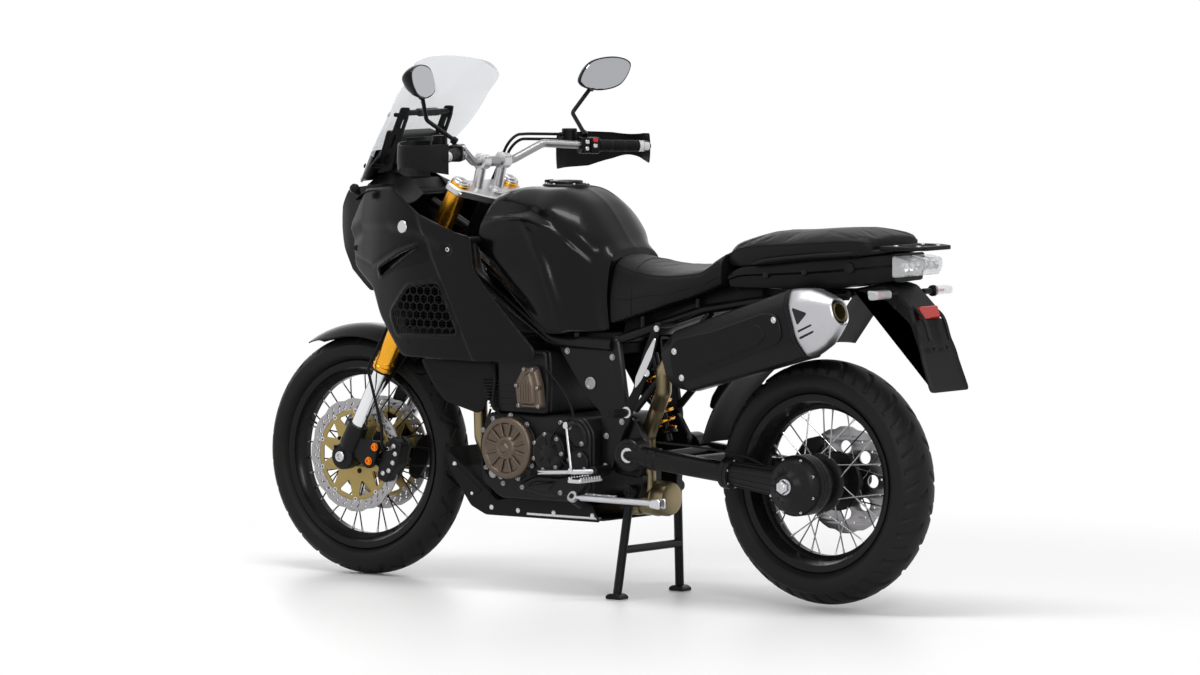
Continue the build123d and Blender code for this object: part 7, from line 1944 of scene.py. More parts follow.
class Stands:
    """The centre stand with its feet and spring, and the side stand folded along the frame."""

    def build(self) -> None:
        """Make both stands on their own bodies."""
        stand, feet = Shape(), Shape()
        for side in SIDES:
            stand.lathe((-176, side * 92.2, 286), (0, side, 0), [(0, 7.1), (0, 15.6), (23.4, 15.6), (23.4, 7.1)], 32,
                        closed=True)
            stand.tube([(-176, side * 104, 285), (-158, side * 138, 14)], 11.9, 20)
            feet.slab([(-183, 0.4), (-133, 0.4), (-133, 9), (-146, 15.6), (-170, 15.6), (-183, 9)],
                      *span(side, 120.4, 159.6), 5, 2.5)
        stand.rod((-168, -124, 130), (-168, 124, 130), 10.9, sides=24)
        stand.build("center_stand_tubes", FRAME, "center_stand", ["center_stand"], sharp=30)
        feet.build("center_stand_feet", FRAME, "center_stand")
        self.side_stand()

    def side_stand(self) -> None:
        """The side stand: eye, neck, leg, the large foot disc and its spring."""
        axis = unit(np.cross(SIDE_DOWN, SIDE_STOWED))
        leg, spring = Shape(), Shape()
        leg.lathe(SIDE_PIVOT - axis * 5.4, axis, [(0, 7.1), (0, 14.4), (0.8, 15), (10.6, 15), (11.4, 14.4),
                                                  (11.4, 7.1)], 32, closed=True)
        leg.rod(SIDE_PIVOT + SIDE_STOWED * 9, SIDE_PIVOT + SIDE_STOWED * 30, 5.3)
        leg.lathe(SIDE_PIVOT, SIDE_STOWED, [(25.5, 5), (29, 8.4), (32, 9), (150, 8.9), (286, 8.2), (290, 7)], 24)
        tip = SIDE_PIVOT + SIDE_STOWED * 290
        pad = rounded([(tip[0] - 30, tip[2] - 14), (tip[0] + 6, tip[2] - 10), (tip[0] + 6, tip[2] + 10),
                       (tip[0] - 30, tip[2] + 14)], 8)
        leg.slab(pad, tip[1] - 11.8, tip[1] - 4, 0, 2.0)
        leg.slab(pad, tip[1] + 12, tip[1] + 21.8, 0, 2.5)
        leg.rod(tip - ACROSS * 6, tip + ACROSS * 14, 8.8)
        spring.tube(self.coil(SIDE_PIVOT + SIDE_STOWED * 44 + np.array([0, -3, 9]),
                              SIDE_PIVOT + SIDE_STOWED * 150 + np.array([0, -3, 8.6]), 3.6, 22), 1.1, 6)
        leg.build("side_stand_leg", STEEL, "side_stand", ["side_stand"], sharp=30)
        spring.build("side_stand_spring", STEEL, "side_stand")

    def coil(self, start: np.ndarray, end: np.ndarray, radius: float, turns: int) -> np.ndarray:
        """Points of a coil spring between two points."""
        first, second = basis(end - start)
        share = np.linspace(0, 1, turns * 12)[:, None]
        turn = share * 2 * np.pi * turns
        return start + (end - start) * share + radius * (first * np.cos(turn) + second * np.sin(turn))


class Nose:
    """The nose cowl with its two headlights, and the radiator."""

    plan = ((560, 136), (700, 120), (800, 93), (880, 50))
    front = ((786, 694), (800, 718), (840, 774), (905, 818), (960, 829), (1012, 824), (1060, 786), (1077, 645))
    rear = ((786, 684), (905, 626), (1062, 567), (1077, 620))

    def build(self) -> None:
        """Make all of its pieces."""
        self.shell()
        self.lights()
        self.radiator()

    def shell(self) -> None:
        """The cowl as rings square to the vertical; its front is hollowed round the lights, its sides creased."""
        levels = np.array([786, 789, 796, 806, 820, 840, 860, 884, 892, 897.6, 898.4, 920, 950, 980, 1001.6, 1002.4,
                           1008,
                           1020, 1040, 1054, 1064, 1071, 1076], float)
        rings = []
        for z in levels:
            back, tip = (np.interp(z, *np.array(line).T) for line in (self.rear, self.front))
            xs = np.linspace(back, tip, 12)
            y = np.interp(xs, *np.array(self.plan).T) - 2.2 * np.exp(-(((z - 842 - (xs - 700) * 0.3) / 7.0) ** 2))
            side = np.stack([xs, y], 1)
            deep = 12.0 if 898 < z < 1002 else 0.0
            across = np.array([(tip - deep * 4.6, 79), (tip - deep * 4.6, 6.5), (tip, 6.5)]) if deep else np.array(
                [(tip, y[-1] * 0.95), (tip + 0.1, 6.5), (tip + 0.2, 6.4)])
            across[:, 1] = np.minimum(across[:, 1], y[-1] * 0.96)
            half = np.concatenate([side, across])
            flat = np.concatenate([half, half[::-1] * np.array([1, -1])])
            rings.append(np.concatenate([flat, np.full((len(flat), 1), z)], 1))
        Shape().loft(np.array(rings)).build("nose_shell", GLOSS, "chassis", ["nose_cowl"], sharp=26)

    def lights(self) -> None:
        """Behind each clear lens a bowl, a round lamp and a light strip."""
        lens, bowls, lamp = Shape(), Shape(), Shape()
        for side in SIDES:
            lens.slab([(798, 901), (813, 901), (824, 960), (820, 999), (805, 999)], *span(side, 9, 50), 5, 2.0)
            lens.slab([(784, 903), (800, 903), (810, 960), (806, 997), (791, 997)], *span(side, 50, 70), 5, 3.0)
            bowls.lathe((778, side * 32, 950), (1, 0, 0), [(0, 8), (2, 14), (24, 21), (26, 20), (6, 10)], 40)
            lamp.lathe((784, side * 32, 950), (1, 0, 0), [(0, 9), (8, 9), (13, 7), (16, 3), (16.6, 0.3)], 28)
            bowls.slab([(778, 906), (788, 906), (788, 914), (778, 914)], *span(side, 12, 60), 2, 1.0)
        lens.build("headlight_lenses", LENS, "chassis", ["headlights"])
        bowls.build("headlight_bowls", REFLECTOR, "chassis", sharp=20)
        lamp.build("headlight_lamps", DISPLAY, "chassis")

    def radiator(self) -> None:
        """The ducts ahead of the knees with their slats."""
        shell = Shape()
        shape = [(529, 691), (321, 701), (385, 816), (477, 804)]
        for side in SIDES:
            shell.slab(shape, *span(side, 168.4, 186), 8, 2.0)
            for number in range(14):
                z = 702 + number * 7.6
                low, high = np.interp(z, [701, 816], [330, 392]), np.interp(z, [691, 804], [520, 470])
                slat = [(low, z), (high, z), (high, z + 1.6), (low, z + 1.6)]
                shell.slab(slat, *span(side, 184, 198.5), 0.4, 0.4)
            for number in range(9):
                x = 372 + number * 14.5
                shell.slab([(x, 700), (x + 1.4, 700), (x + 1.4, 806), (x, 806)], *span(side, 184, 196), 0.3, 0.3)
        shell.rod((386.1, 71.1, 700), (402, 170, 706), 6.9)
        shell.rod((386.1, -71.1, 700), (402, -170, 706), 6.9)
        for side in SIDES:
            shell.rod((335, side * 125.8, 830.4), (392, side * 170, 806), 6.9)
        shell.build("radiator_ducts", MATTE, "chassis", ["radiator"], sharp=30)


# ------------------------------------------------------------------ seats
CLOTH_FRAMES = 20
CLOTH_VOXEL = 0.0055  # metres, as are the next three
LARGEST_SWELL = 0.008
SEAM_HOLD = 0.0045  # what lies this near to a seam or a rim is held
BASE_HOLD = 0.006  # and what lies this low over the pad's base
CUSHION_PRESSURE = 4.0
CROSS_SEAM = 0.20  # share of the rider seat's length, from its first ring
RIDER_RINGS = [
    (-113, [(0, 909), (56, 905), (92, 878), (112, 820), (115, 775), (112, 728)]),
    (-150, [(0, 899), (68, 895), (104, 868), (124, 812), (126, 776), (124, 735)]),
    (-200, [(0, 889), (82, 885), (116, 860), (134, 812), (136, 782), (134, 750)]),
    (-265, [(0, 881), (100, 877), (134, 856), (146, 822), (146, 796), (142, 768)]),
    (-330, [(0, 881), (110, 877), (146, 856), (154, 826), (153, 806), (148, 788)]),
    (-400, [(0, 885), (118, 882), (152, 864), (156, 842), (154, 824), (149, 808)]),
    (-440, [(0, 894), (120, 889), (152, 870), (156, 848), (154, 832), (149, 821)]),
    (-475, [(0, 917), (118, 911), (148, 891), (152, 868), (151, 848), (146, 834)]),
    (-503, [(0, 936), (108, 930), (140, 908), (147, 880), (147, 862), (143, 847)]),
]
PILLION_RINGS = [
    (-507, [(0, 941), (94, 935), (113, 922), (118, 912), (118, 904), (114, 895)]),
    (-530, [(0, 961), (104, 955), (124, 938), (128, 924), (127, 908), (122, 896)]),
    (-560, [(0, 972), (108, 966), (131, 948), (135, 930), (134, 910), (128, 894)]),
    (-620, [(0, 981), (112, 975), (135, 957), (138, 938), (137, 916), (131, 900)]),
    (-700, [(0, 985), (114, 979), (137, 962), (140, 944), (138, 923), (132, 909)]),
    (-800, [(0, 993), (110, 987), (132, 970), (134, 953), (132, 933), (126, 920)]),
    (-900, [(0, 997), (102, 991), (123, 976), (125, 962), (124, 943), (119, 931)]),
    (-940, [(0, 993), (92, 987), (113, 973), (116, 963), (114, 949), (110, 936)]),
    (-957, [(0, 984), (80, 978), (100, 967), (103, 960), (102, 949), (98, 939)]),
]


class Seating:
    """The rider's and the passenger's seat, each a pad filled out by a cloth simulation, with its seams."""

    def build(self) -> None:
        """Make both pads and their seams."""
        for name, rings, node, seams in (
            ("rider_pad", RIDER_RINGS, "rider_seat", ((0.36, 0.06, 0.97), (0.70, 0.14, 0.985))),
            ("pillion_pad", PILLION_RINGS, "passenger_seat", ((0.46, 0.02, 0.98),)),
        ):
            skin = self.skin(rings)
            pad = Shape().loft(np.concatenate([skin[:, ::-1][:, :-1] * np.array([1.0, -1.0, 1.0]), skin], 1)).build(
                name, VINYL, "chassis", [node], sharp=60)
            self.fill(pad, skin, seams)
            lines = Shape()
            for share, start, end in seams:
                column = int(share * (skin.shape[1] - 1))
                first, last = int(start * (len(skin) - 1)), int(end * (len(skin) - 1))
                for side in SIDES:
                    path = self.onto(pad, skin[first:last, column] * np.array([1.0, side, 1.0]))
                    lines.tube(path, 1.5, 8)
            lines.build(f"{name}_seams", RUBBER, "chassis")
        cross = Shape()
        front = self.skin(RIDER_RINGS)
        row = front[int(CROSS_SEAM * (len(front) - 1))]
        full = np.concatenate([row[::-1][:-1] * np.array([1.0, -1.0, 1.0]), row])
        spread = np.abs(full[:, 1:2]) * np.array([[-0.22, 0.0, 0.0]])
        cross.tube(self.onto(bpy.data.objects["rider_pad"], full + spread), 1.4, 8)
        cross.build("rider_cross_seam", RUBBER, "chassis")

    def skin(self, rings: Sequence[tuple]) -> np.ndarray:
        """Half of a pad's outer face: smooth rings from the top middle to the lower edge, joined smoothly."""
        xs = np.array([x for x, _ in rings], float)
        half = np.array([smooth_line(points, 9) for _, points in rings])
        long = np.concatenate([np.broadcast_to(xs[:, None, None], (*half.shape[:2], 1)), half], -1)
        return np.stack([smooth_line(long[:, j], 6) for j in range(long.shape[1])], 1)

    def fill(self, pad: bpy.types.Object, skin: np.ndarray, seams: Sequence[tuple]) -> None:
        """Fill a pad out: remesh it evenly, hold its base and seams, press from inside, and keep what it becomes.

        Args:
            pad: The pad's object.
            skin: Half of its outer face, which says where seams run.
            seams: Share across the skin, and the shares along it where each seam starts and ends.
        """
        remesh = pad.modifiers.new("remesh", "REMESH")
        remesh.mode, remesh.voxel_size = "VOXEL", CLOTH_VOXEL
        self.apply(pad)
        count = len(pad.data.vertices)
        rest = np.zeros(count * 3, np.float32)
        pad.data.vertices.foreach_get("co", rest)
        rest = rest.reshape(-1, 3).astype(float)
        held = [skin[:, int(share * (skin.shape[1] - 1))] for share, _, _ in seams]
        line = np.concatenate([*held, skin[:, -1], skin[0], skin[-1]]) * MM
        near = np.full(count, 1e9)
        folded = np.abs(rest) * np.array([0, 1, 0]) + rest * np.array([1, 0, 1])
        for part in np.array_split(line, 12):
            near = np.minimum(near, np.linalg.norm(folded[:, None] - part, axis=2).min(1))
        base = np.interp(-rest[:, 0], -skin[:, -1, 0] * MM, skin[:, -1, 2] * MM)
        pin = (near < SEAM_HOLD) | (rest[:, 2] < base + BASE_HOLD)
        group = pad.vertex_groups.new(name="held")
        group.add(np.flatnonzero(pin).tolist(), 1.0, "REPLACE")
        cloth = pad.modifiers.new("cloth", "CLOTH")
        cloth.settings.vertex_group_mass = "held"
        cloth.settings.use_pressure = True
        cloth.settings.uniform_pressure_force = CUSHION_PRESSURE
        cloth.settings.effector_weights.gravity = 0.0
        cloth.settings.quality = 5
        cloth.settings.mass = 0.3
        cloth.settings.tension_stiffness = cloth.settings.compression_stiffness = 12.0
        cloth.settings.bending_stiffness = 0.4
        cloth.point_cache.frame_start, cloth.point_cache.frame_end = 1, CLOTH_FRAMES
        for number in range(1, CLOTH_FRAMES + 1):
            bpy.context.scene.frame_set(number)
        done = np.zeros(count * 3, np.float32)
        pad.evaluated_get(bpy.context.evaluated_depsgraph_get()).data.vertices.foreach_get("co", done)
        pad.modifiers.remove(cloth)
        bpy.context.scene.frame_set(1)
        move = done.reshape(-1, 3).astype(float) - rest
        long = np.linalg.norm(move, axis=1, keepdims=True)
        move *= np.minimum(1.0, LARGEST_SWELL / np.maximum(long, 1e-9))
        pad.data.vertices.foreach_set("co", (rest + move).astype(np.float32).ravel())
        pad.data.update()
        smooth = pad.modifiers.new("smooth", "SUBSURF")
        smooth.levels = smooth.render_levels = 1
        pad.data.polygons.foreach_set("use_smooth", np.ones(len(pad.data.polygons), bool))

    def apply(self, obj: bpy.types.Object) -> None:
        """Replace an object's mesh by what its modifiers make of it."""
        mesh = bpy.data.meshes.new_from_object(obj.evaluated_get(bpy.context.evaluated_depsgraph_get()))
        obj.modifiers.clear()
        obj.data = mesh
        mesh.update()

    def onto(self, pad: bpy.types.Object, path: np.ndarray) -> np.ndarray:
        """The path laid onto the pad's face."""
        tree = BVHTree.FromObject(pad, bpy.context.evaluated_depsgraph_get())
        found = [tree.find_nearest(Vector(p * MM))[0] for p in path]
        return np.array([tuple(f) for f in found]) / MM


class Tail:
    """Everything behind the seats: cowl, rack, lamps, plate holder and its turn signals."""

    def build(self) -> None:
        """Make all of its pieces."""
        self.cowl()
        self.lamps()
        self.holder()
        self.rack()

    def cowl(self) -> None:
        """The tail's cowl, rings square to the bike whose sides are creased at two heights; grips and knobs on it."""
        xs = np.array([-521, -560, -640, -700, -760, -840, -900, -940, -975, -999], float)
        wide = np.interp(-xs, [520, 760, 940, 1000], [140, 132, 103, 74])
        top = np.interp(-xs, [520, 560, 700, 900, 1000], [876, 896, 912, 933, 941])
        low = np.interp(-xs, [520, 560, 810, 1000], [839, 839, 843, 869])
        rings = []
        for x, w, t, b in zip(xs, wide, top, low):
            h = t - b
            half = [(0, t), (w * 0.82, t), (w - 5, t - 3), (w - 0.5, t - 0.22 * h), (w, t - 0.38 * h),
                    (w - 7, t - 0.46 * h), (w - 8, t - 0.74 * h), (w - 12, b + 3), (w - 20, b), (0, b)]
            full = [*half, *[(-y, z) for y, z in reversed(half[1:-1])]]
            rings.append([(x, y, z) for y, z in full])
        rings = np.array([smooth_line(np.array(rings)[:, j], 5) for j in range(len(rings[0]))]).transpose(1, 0, 2)
        shell = Shape().loft(rings)
        knobs, grip = Shape(), Shape()
        for side in SIDES:
            out = unit([-0.16, side, 0.05])
            knobs.lathe((-889, side * 108, 903), out, [(0, 15), (6, 14.5), (8, 13), (8.4, 9), (6.8, 8), (7, 0.5)], 32)
            for x, y, z in ((-640, 135, 877), (-760, 131, 888)):
                knobs.lathe((x, side * (y - 2), z), (0, side, 0), [(0, 9), (3.4, 8.6), (4.2, 7.2), (4.4, 0.4)], 24)
            rail = [(-600, side * 141, 904), (-660, side * 144, 916), (-780, side * 138, 930), (-900, side * 119, 940),
                    (-960, side * 96, 946), (-1000, side * 80, 951)]
            grip.tube(smooth_line(rail, 8), np.interp(np.linspace(0, 1, 41), [0, 0.1, 0.8, 1], [3, 6.5, 6.5, 4]), 14)
        shell.build("tail_shell", SATIN, "chassis", ["tail_cowl"], sharp=30)
        knobs.build("tail_knobs", CASTING, "chassis")
        grip.build("grab_rails", MATTE, "chassis")

    def rack(self) -> None:
        """The small rack: a slotted plate on lugs."""
        outline = rounded([(-966, 96), (-966, -96), (-1040, -96), (-1093, -60), (-1093, 60), (-1040, 96)], 14)
        slot = [rounded([(-985, w * 75), (-985, w * 25), (-1070, w * 25), (-1070, w * 62)], 8)[::w] for w in SIDES]
        middle = rounded([(-1078, -14), (-1078, 14), (-990, 14), (-990, -14)], 8)
        mesh = pierced([outline, *slot, middle], lambda p: np.stack([p[:, 0], p[:, 1], 956.4 + p[:, 2]], 1), 10.5, 2.0)
        place(mesh, "rack_plate", MATTE, "chassis", ["luggage_rack"], 35)
        bolts = Shape()
        for side in SIDES:
            for x, y in ((-1000, 60), (-1060, 44)):
                bolts.hex_bolt((x, side * y, 961.6), (0, 0, 1), 5, 0.4)
        bolts.build("rack_bolts_heads", STEEL, "chassis")

    def lamps(self) -> None:
        """Two clear tail lamps with bright faceted bowls and red lenses inside, and the signals' clear lenses."""
        lens, bowls, red, signal, stalk = Shape(), Shape(), Shape(), Shape(), Shape()
        for side in SIDES:
            low, high = span(side, 5.0, 81.0)
            lens.slab([(-1001, 880), (-1041, 884), (-1051, 906), (-1050, 928), (-1001, 937)], low, high, 9, 3.0)
            for k in range(3):
                y = side * (18 + 25 * k)
                bowls.lathe((-1016, y, 908), (-1, 0, 0.05), [(0, 3), (1, 6), (10, 11), (22, 13.2), (22.5, 12.4),
                                                             (8, 3)], 8)
                red.lathe((-1020, y, 908), (-1, 0, 0), [(0, 4.4), (9, 4.0), (12, 2.4), (12.6, 0.3)], 12)
            edge = span(side, 104.0, 171.0)
            signal.slab([(-991, 825), (-1021, 829), (-1021, 849), (-985, 851)], *edge, 8, 4.0)
            stalk.rod((-1000, side * 62.6, 838), (-1000, side * 108, 838), 7.8)
            stalk.lathe((-1000, side * 104, 838), (0, side, 0), [(-4, 9), (0, 14.5), (8, 14.8), (12, 12)], 24)
            red.rod((-1004, side * 120, 838), (-1004, side * 150, 838), 4.0)
            front = np.array([700.0, side * 163.0, 1050.0])
            stalk.rod(front, (700, side * 178, 1061), 7.8)
            stalk.lathe((700, side * 172, 1057), unit([0, side, 0.74]),
                        [(0, 6), (2, 12), (14, 13.5), (21, 10), (23, 3)], 24)
            signal.lathe((709, side * 180, 1063), (1, 0, 0), [(0, 10.5), (4, 8.5), (6, 1)], 24)
        lens.build("tail_lenses", LENS, "chassis", ["tail_light"])
        bowls.build("tail_bowls", REFLECTOR, "chassis", sharp=10)
        # The red lenses take the finish with a painted glow.
        red.build("tail_reds", RED_LENS_PAINTED_GLOW, "chassis")
        signal.build("signal_lenses", LENS, "chassis", ["indicators"])
        stalk.build("signal_stalks", MATTE, "chassis")

    def holder(self) -> None:
        """The plate holder with its facets, the red reflector, stays, blank plate face, and the inner fender."""
        shell, red, bits = Shape(), Shape(), Shape()
        side = [(-861, 846), (-958, 863), (-988, 856), (-1049, 800), (-1122, 592), (-1112, 588), (-1042, 758),
                (-962, 819), (-872, 829)]
        shell.slab(side, -61, 61, 7, 6.0)
        panel = Panel([rounded([(-86, 588), (86, 588), (80, 690), (62, 772), (-62, 772), (-80, 690)], 14)], 9.0)
        y, z = panel.flat[:, 0], panel.flat[:, 1]
        lift = 1.8 * (1 - ease_step(panel.from_rim(), 7, 10)) + 2.5 * ease_step(z, 660, 700)
        x = np.interp(z, [586, 776], [-1132, -1059]) - lift + 1.5
        outer, inner = np.stack([x, y, z], 1), np.stack([x + 5, y, z], 1)
        panel.skin(shell, outer, inner)
        angle = np.radians(np.linspace(14, 95, 40))
        radius = 372.0
        arc = np.array([REAR_AXLE[0] + np.cos(angle) * radius, REAR_AXLE[2] + np.sin(angle) * radius]).T
        line = np.concatenate([arc, [(-880, 838)]])
        t = np.linspace(-1, 1, 17)[None, :]
        rings = []
        for depth in (0.0, -3.6):
            droop = 7.0 * np.abs(t) ** 4
            scale = (radius + depth - droop)[..., None] / radius
            centre = np.array([REAR_AXLE[0], REAR_AXLE[2]])
            flat = centre + (line[:, None] - centre) * scale
            rings.append(np.stack([flat[..., 0], np.broadcast_to(t * 77.5, flat.shape[:2]), flat[..., 1]], -1))
        shell.loft(np.concatenate([rings[0], rings[1][:, ::-1]], 1))
        red.prism(rounded([(-40, -16), (40, -16), (40, 16), (-40, 16)], 5), (-1064, 0, 790), (0, 1, 0),
                  unit([73.0, 0, 190.0]), -4.0, 9.5, 2.0)
        for side_y in SIDES:
            bits.tube(smooth_line([(-1040, side_y * 40, 805), (-1076, side_y * 44, 776), (-1098, side_y * 44, 720)],
                                  6), 5, 12)
            bits.bolt((-1101, side_y * 30, 700), (-0.93, 0, 0.36), 5.5, 3.5)
            bits.hex_bolt((-1000, side_y * 61.2, 806), (0, side_y, 0), 6.0, 5)
        shell.build("plate_holder_shell", MATTE, "chassis", ["plate_holder"], sharp=32)
        # The reflector's faint glow is painted: it comes from the red lens finish, not from a lamp.
        red.build("rear_reflector", RED_LENS_PAINTED_GLOW, "chassis")
        bits.build("holder_bits", CASTING, "chassis")


class Exhaust:
    """Silencer with its raised cover, end cap and outlet, the pipes and the collector."""

    front = np.array([-372.0, 178.0, 632.0])
    rear = np.array([-806.0, 190.0, 762.0])

    def build(self) -> None:
        """Make all of its pieces."""
        self.silencer()
        self.pipes()

    def ring_at(self, distance: float, wide: float, high: float, lean: float = 10.0) -> np.ndarray:
        """The eight-sided section, its corners rounded, at a distance from the front end."""
        along = unit(self.rear - self.front)
        across = ACROSS - along * (ACROSS @ along)
        up = np.cross(across, along)
        w, h = wide, high
        flat = rounded([(-w * 0.55, -h), (w * 0.45, -h), (w, -h * 0.45), (w, h * 0.55), (w * 0.5, h), (-w * 0.55, h),
                        (-w, h * 0.5), (-w, -h * 0.5)], lean, 5)
        return self.front + along * distance + flat[:, :1] * unit(across) + flat[:, 1:] * up

    def silencer(self) -> None:
        """Body, end band, raised cover, cap with dark patches of painted shade where its recess and slots are, and a
        dark disc of painted shade inside the outlet.
        """
        along = unit(self.rear - self.front)
        across = unit(ACROSS - along * (ACROSS @ along))
        up = np.cross(across, along)
        length = float(np.linalg.norm(self.rear - self.front))
        body, cover, cap, bolts, dark = Shape(), Shape(), Shape(), Shape(), Shape()
        body.loft(np.array([self.ring_at(*r) for r in ((0, 38, 52, 8), (3, 44, 60, 9), (50, 56.5, 82, 12),
                                                       (54, 57.5, 83.5, 12), (440, 59.5, 93, 13),
                                                       (length - 12, 59.6, 93.4, 13))]))
        body.loft(np.array([self.ring_at(*r) for r in ((length - 13, 58.4, 92, 13), (length - 10, 60, 93.8, 13),
                                                       (length - 1, 60, 93.8, 13), (length, 58.8, 92.4, 13))]))
        face = self.front + across * 57.0
        shape = [(36, -34), (72, -62), (250, -50), (395, -38), (418, -22), (418, 34), (380, 50), (200, 46), (72, 56),
                 (46, 30)]
        slope = 2.2 / 400
        cover.prism(rounded(shape, 18), face, along + across * slope, up, -1.5, 4.8, 2.6)
        inner = [(120, -36), (330, -28), (372, -8), (352, 26), (150, 26), (104, -2)]
        cover.prism(rounded(inner, 16), face, along + across * slope, up, 3.5, 6.6, 1.8)
        for at, rise in ((62, 26), (66, -46), (404, 24)):
            bolts.bolt(face + along * at + up * rise + across * (4.6 + at * slope), across, 6.5, 4.5)
        cap.loft(np.array([self.ring_at(length + d, w, h, r) for d, w, h, r in (
            (0.4, 56, 90, 14), (2, 57, 91, 14), (30, 54, 84.5, 15), (60, 50, 76, 15), (88, 43, 58, 14),
            (112, 35.5, 40, 12), (117.5, 33, 36, 12), (118, 31.5, 34.5, 12), (112, 28, 29, 12), (60, 27, 28, 12))]),
            caps=False)
        side = self.front + along * length + across * 57.0
        # The recess and slots are not cut: dark prisms of painted shade sit on the cap where they are.
        tri = [(10, 42), (52, 16), (14, -8)]
        dark.prism(rounded(tri, 8), side, along - across * 0.105, up, -3.0, 0.7, 0.5)
        for at in (-26, -44):
            slit = rounded([(12, at), (56, at + 7), (56, at + 12), (12, at + 6)], 3)
            dark.prism(slit, side, along - across * 0.105, up, -3.0, 0.6, 0.4)
        outlet = self.front + along * (length + 118)
        wall = [(0, 24.6), (77, 24.6), (79, 23.8), (78, 22.2), (2, 22), (0, 20)]
        pipe = Shape().lathe(outlet - along * 78, along, wall, 48, closed=True)
        # A dark disc of painted shade closes the outlet pipe a little way in.
        dark.lathe(outlet - along * 74, along, [(0, 0.5), (0, 22.4), (2, 22.4), (2, 0.5)], 32)
        body.build("silencer_body", SATIN, "chassis", ["muffler"], sharp=30)
        cover.build("silencer_cover", MATTE, "chassis")
        cap.build("silencer_cap", BRUSHED, "chassis", ["muffler_cap"], sharp=50)
        pipe.build("outlet_pipe", TINTED, "chassis")
        bolts.build("silencer_bolts", STEEL, "chassis")
        dark.build("silencer_painted_shade", PAINTED_SHADE, "chassis")

    def pipes(self) -> None:
        """Header pipes, the collector with its welds, and the link pipe up to the silencer."""
        metal = Shape()
        for side in SIDES:
            metal.tube(bent([(304.9, side * 48, 596), (352, side * 48, 590), (376, side * 47, 540),
                             (372, side * 46, 400), (312, side * 40, 244), (210, side * 36, 226.5), (0, side * 24, 227),
                             (-152, side * 21, 234)], 44, 9), 18.9, 28)
            metal.lathe((304.9, side * 48, 596), (47, 0, -6), [(0, 24), (4, 24), (6, 19.5)], 32)
        metal.lathe((-150, 10, 262), (-100, 4, 0), [(0, 30), (6, 42), (16, 46.6), (84, 46.8), (96, 42), (100, 30)], 56)
        metal.lathe((-150, 10, 262), (-100, 4, 0), [(44, 46.9), (46, 48.2), (54, 48.2), (56, 46.9)], 56)
        along = unit(self.rear - self.front)
        metal.tube(bent([(-186, 38, 280), (-186, 40, 430), (-238, 62, 516), (-312, 138, 560), self.front - along * 34,
                         self.front - along * 0.4], 46, 9), 20.9, 32)
        metal.lathe(self.front - along * 22, along, [(0, 21), (1, 26), (16, 26), (17, 21)], 40)
        metal.build("exhaust_tubes", TINTED, "chassis", ["exhaust_pipes"])


FRONT_SIZE = WheelSize(329.0, 55.0, 256.0, 37.95, 217.0, 50.0, 33.0, 0.55)
REAR_SIZE = WheelSize(321.0, 75.0, 232.0, 57.0, 192.0, 78.0, 42.0, 0.42)
ASSEMBLIES: list[Assembly] = [
    FrontWheel("front", "front_wheel", FRONT_AXLE, FRONT_SIZE, RIM),
    RearWheel("rear", "rear_wheel", REAR_AXLE, REAR_SIZE, SPOKE),
    Fork(),
    Cockpit(),
    Tank(),
    Cowls(),
    Screen(),
    Seating(),
    Tail(),
    Exhaust(),
    Engine(),
    Drive(),
    FrameWork(),
    Rests(),
    Stands(),
    Nose(),
]


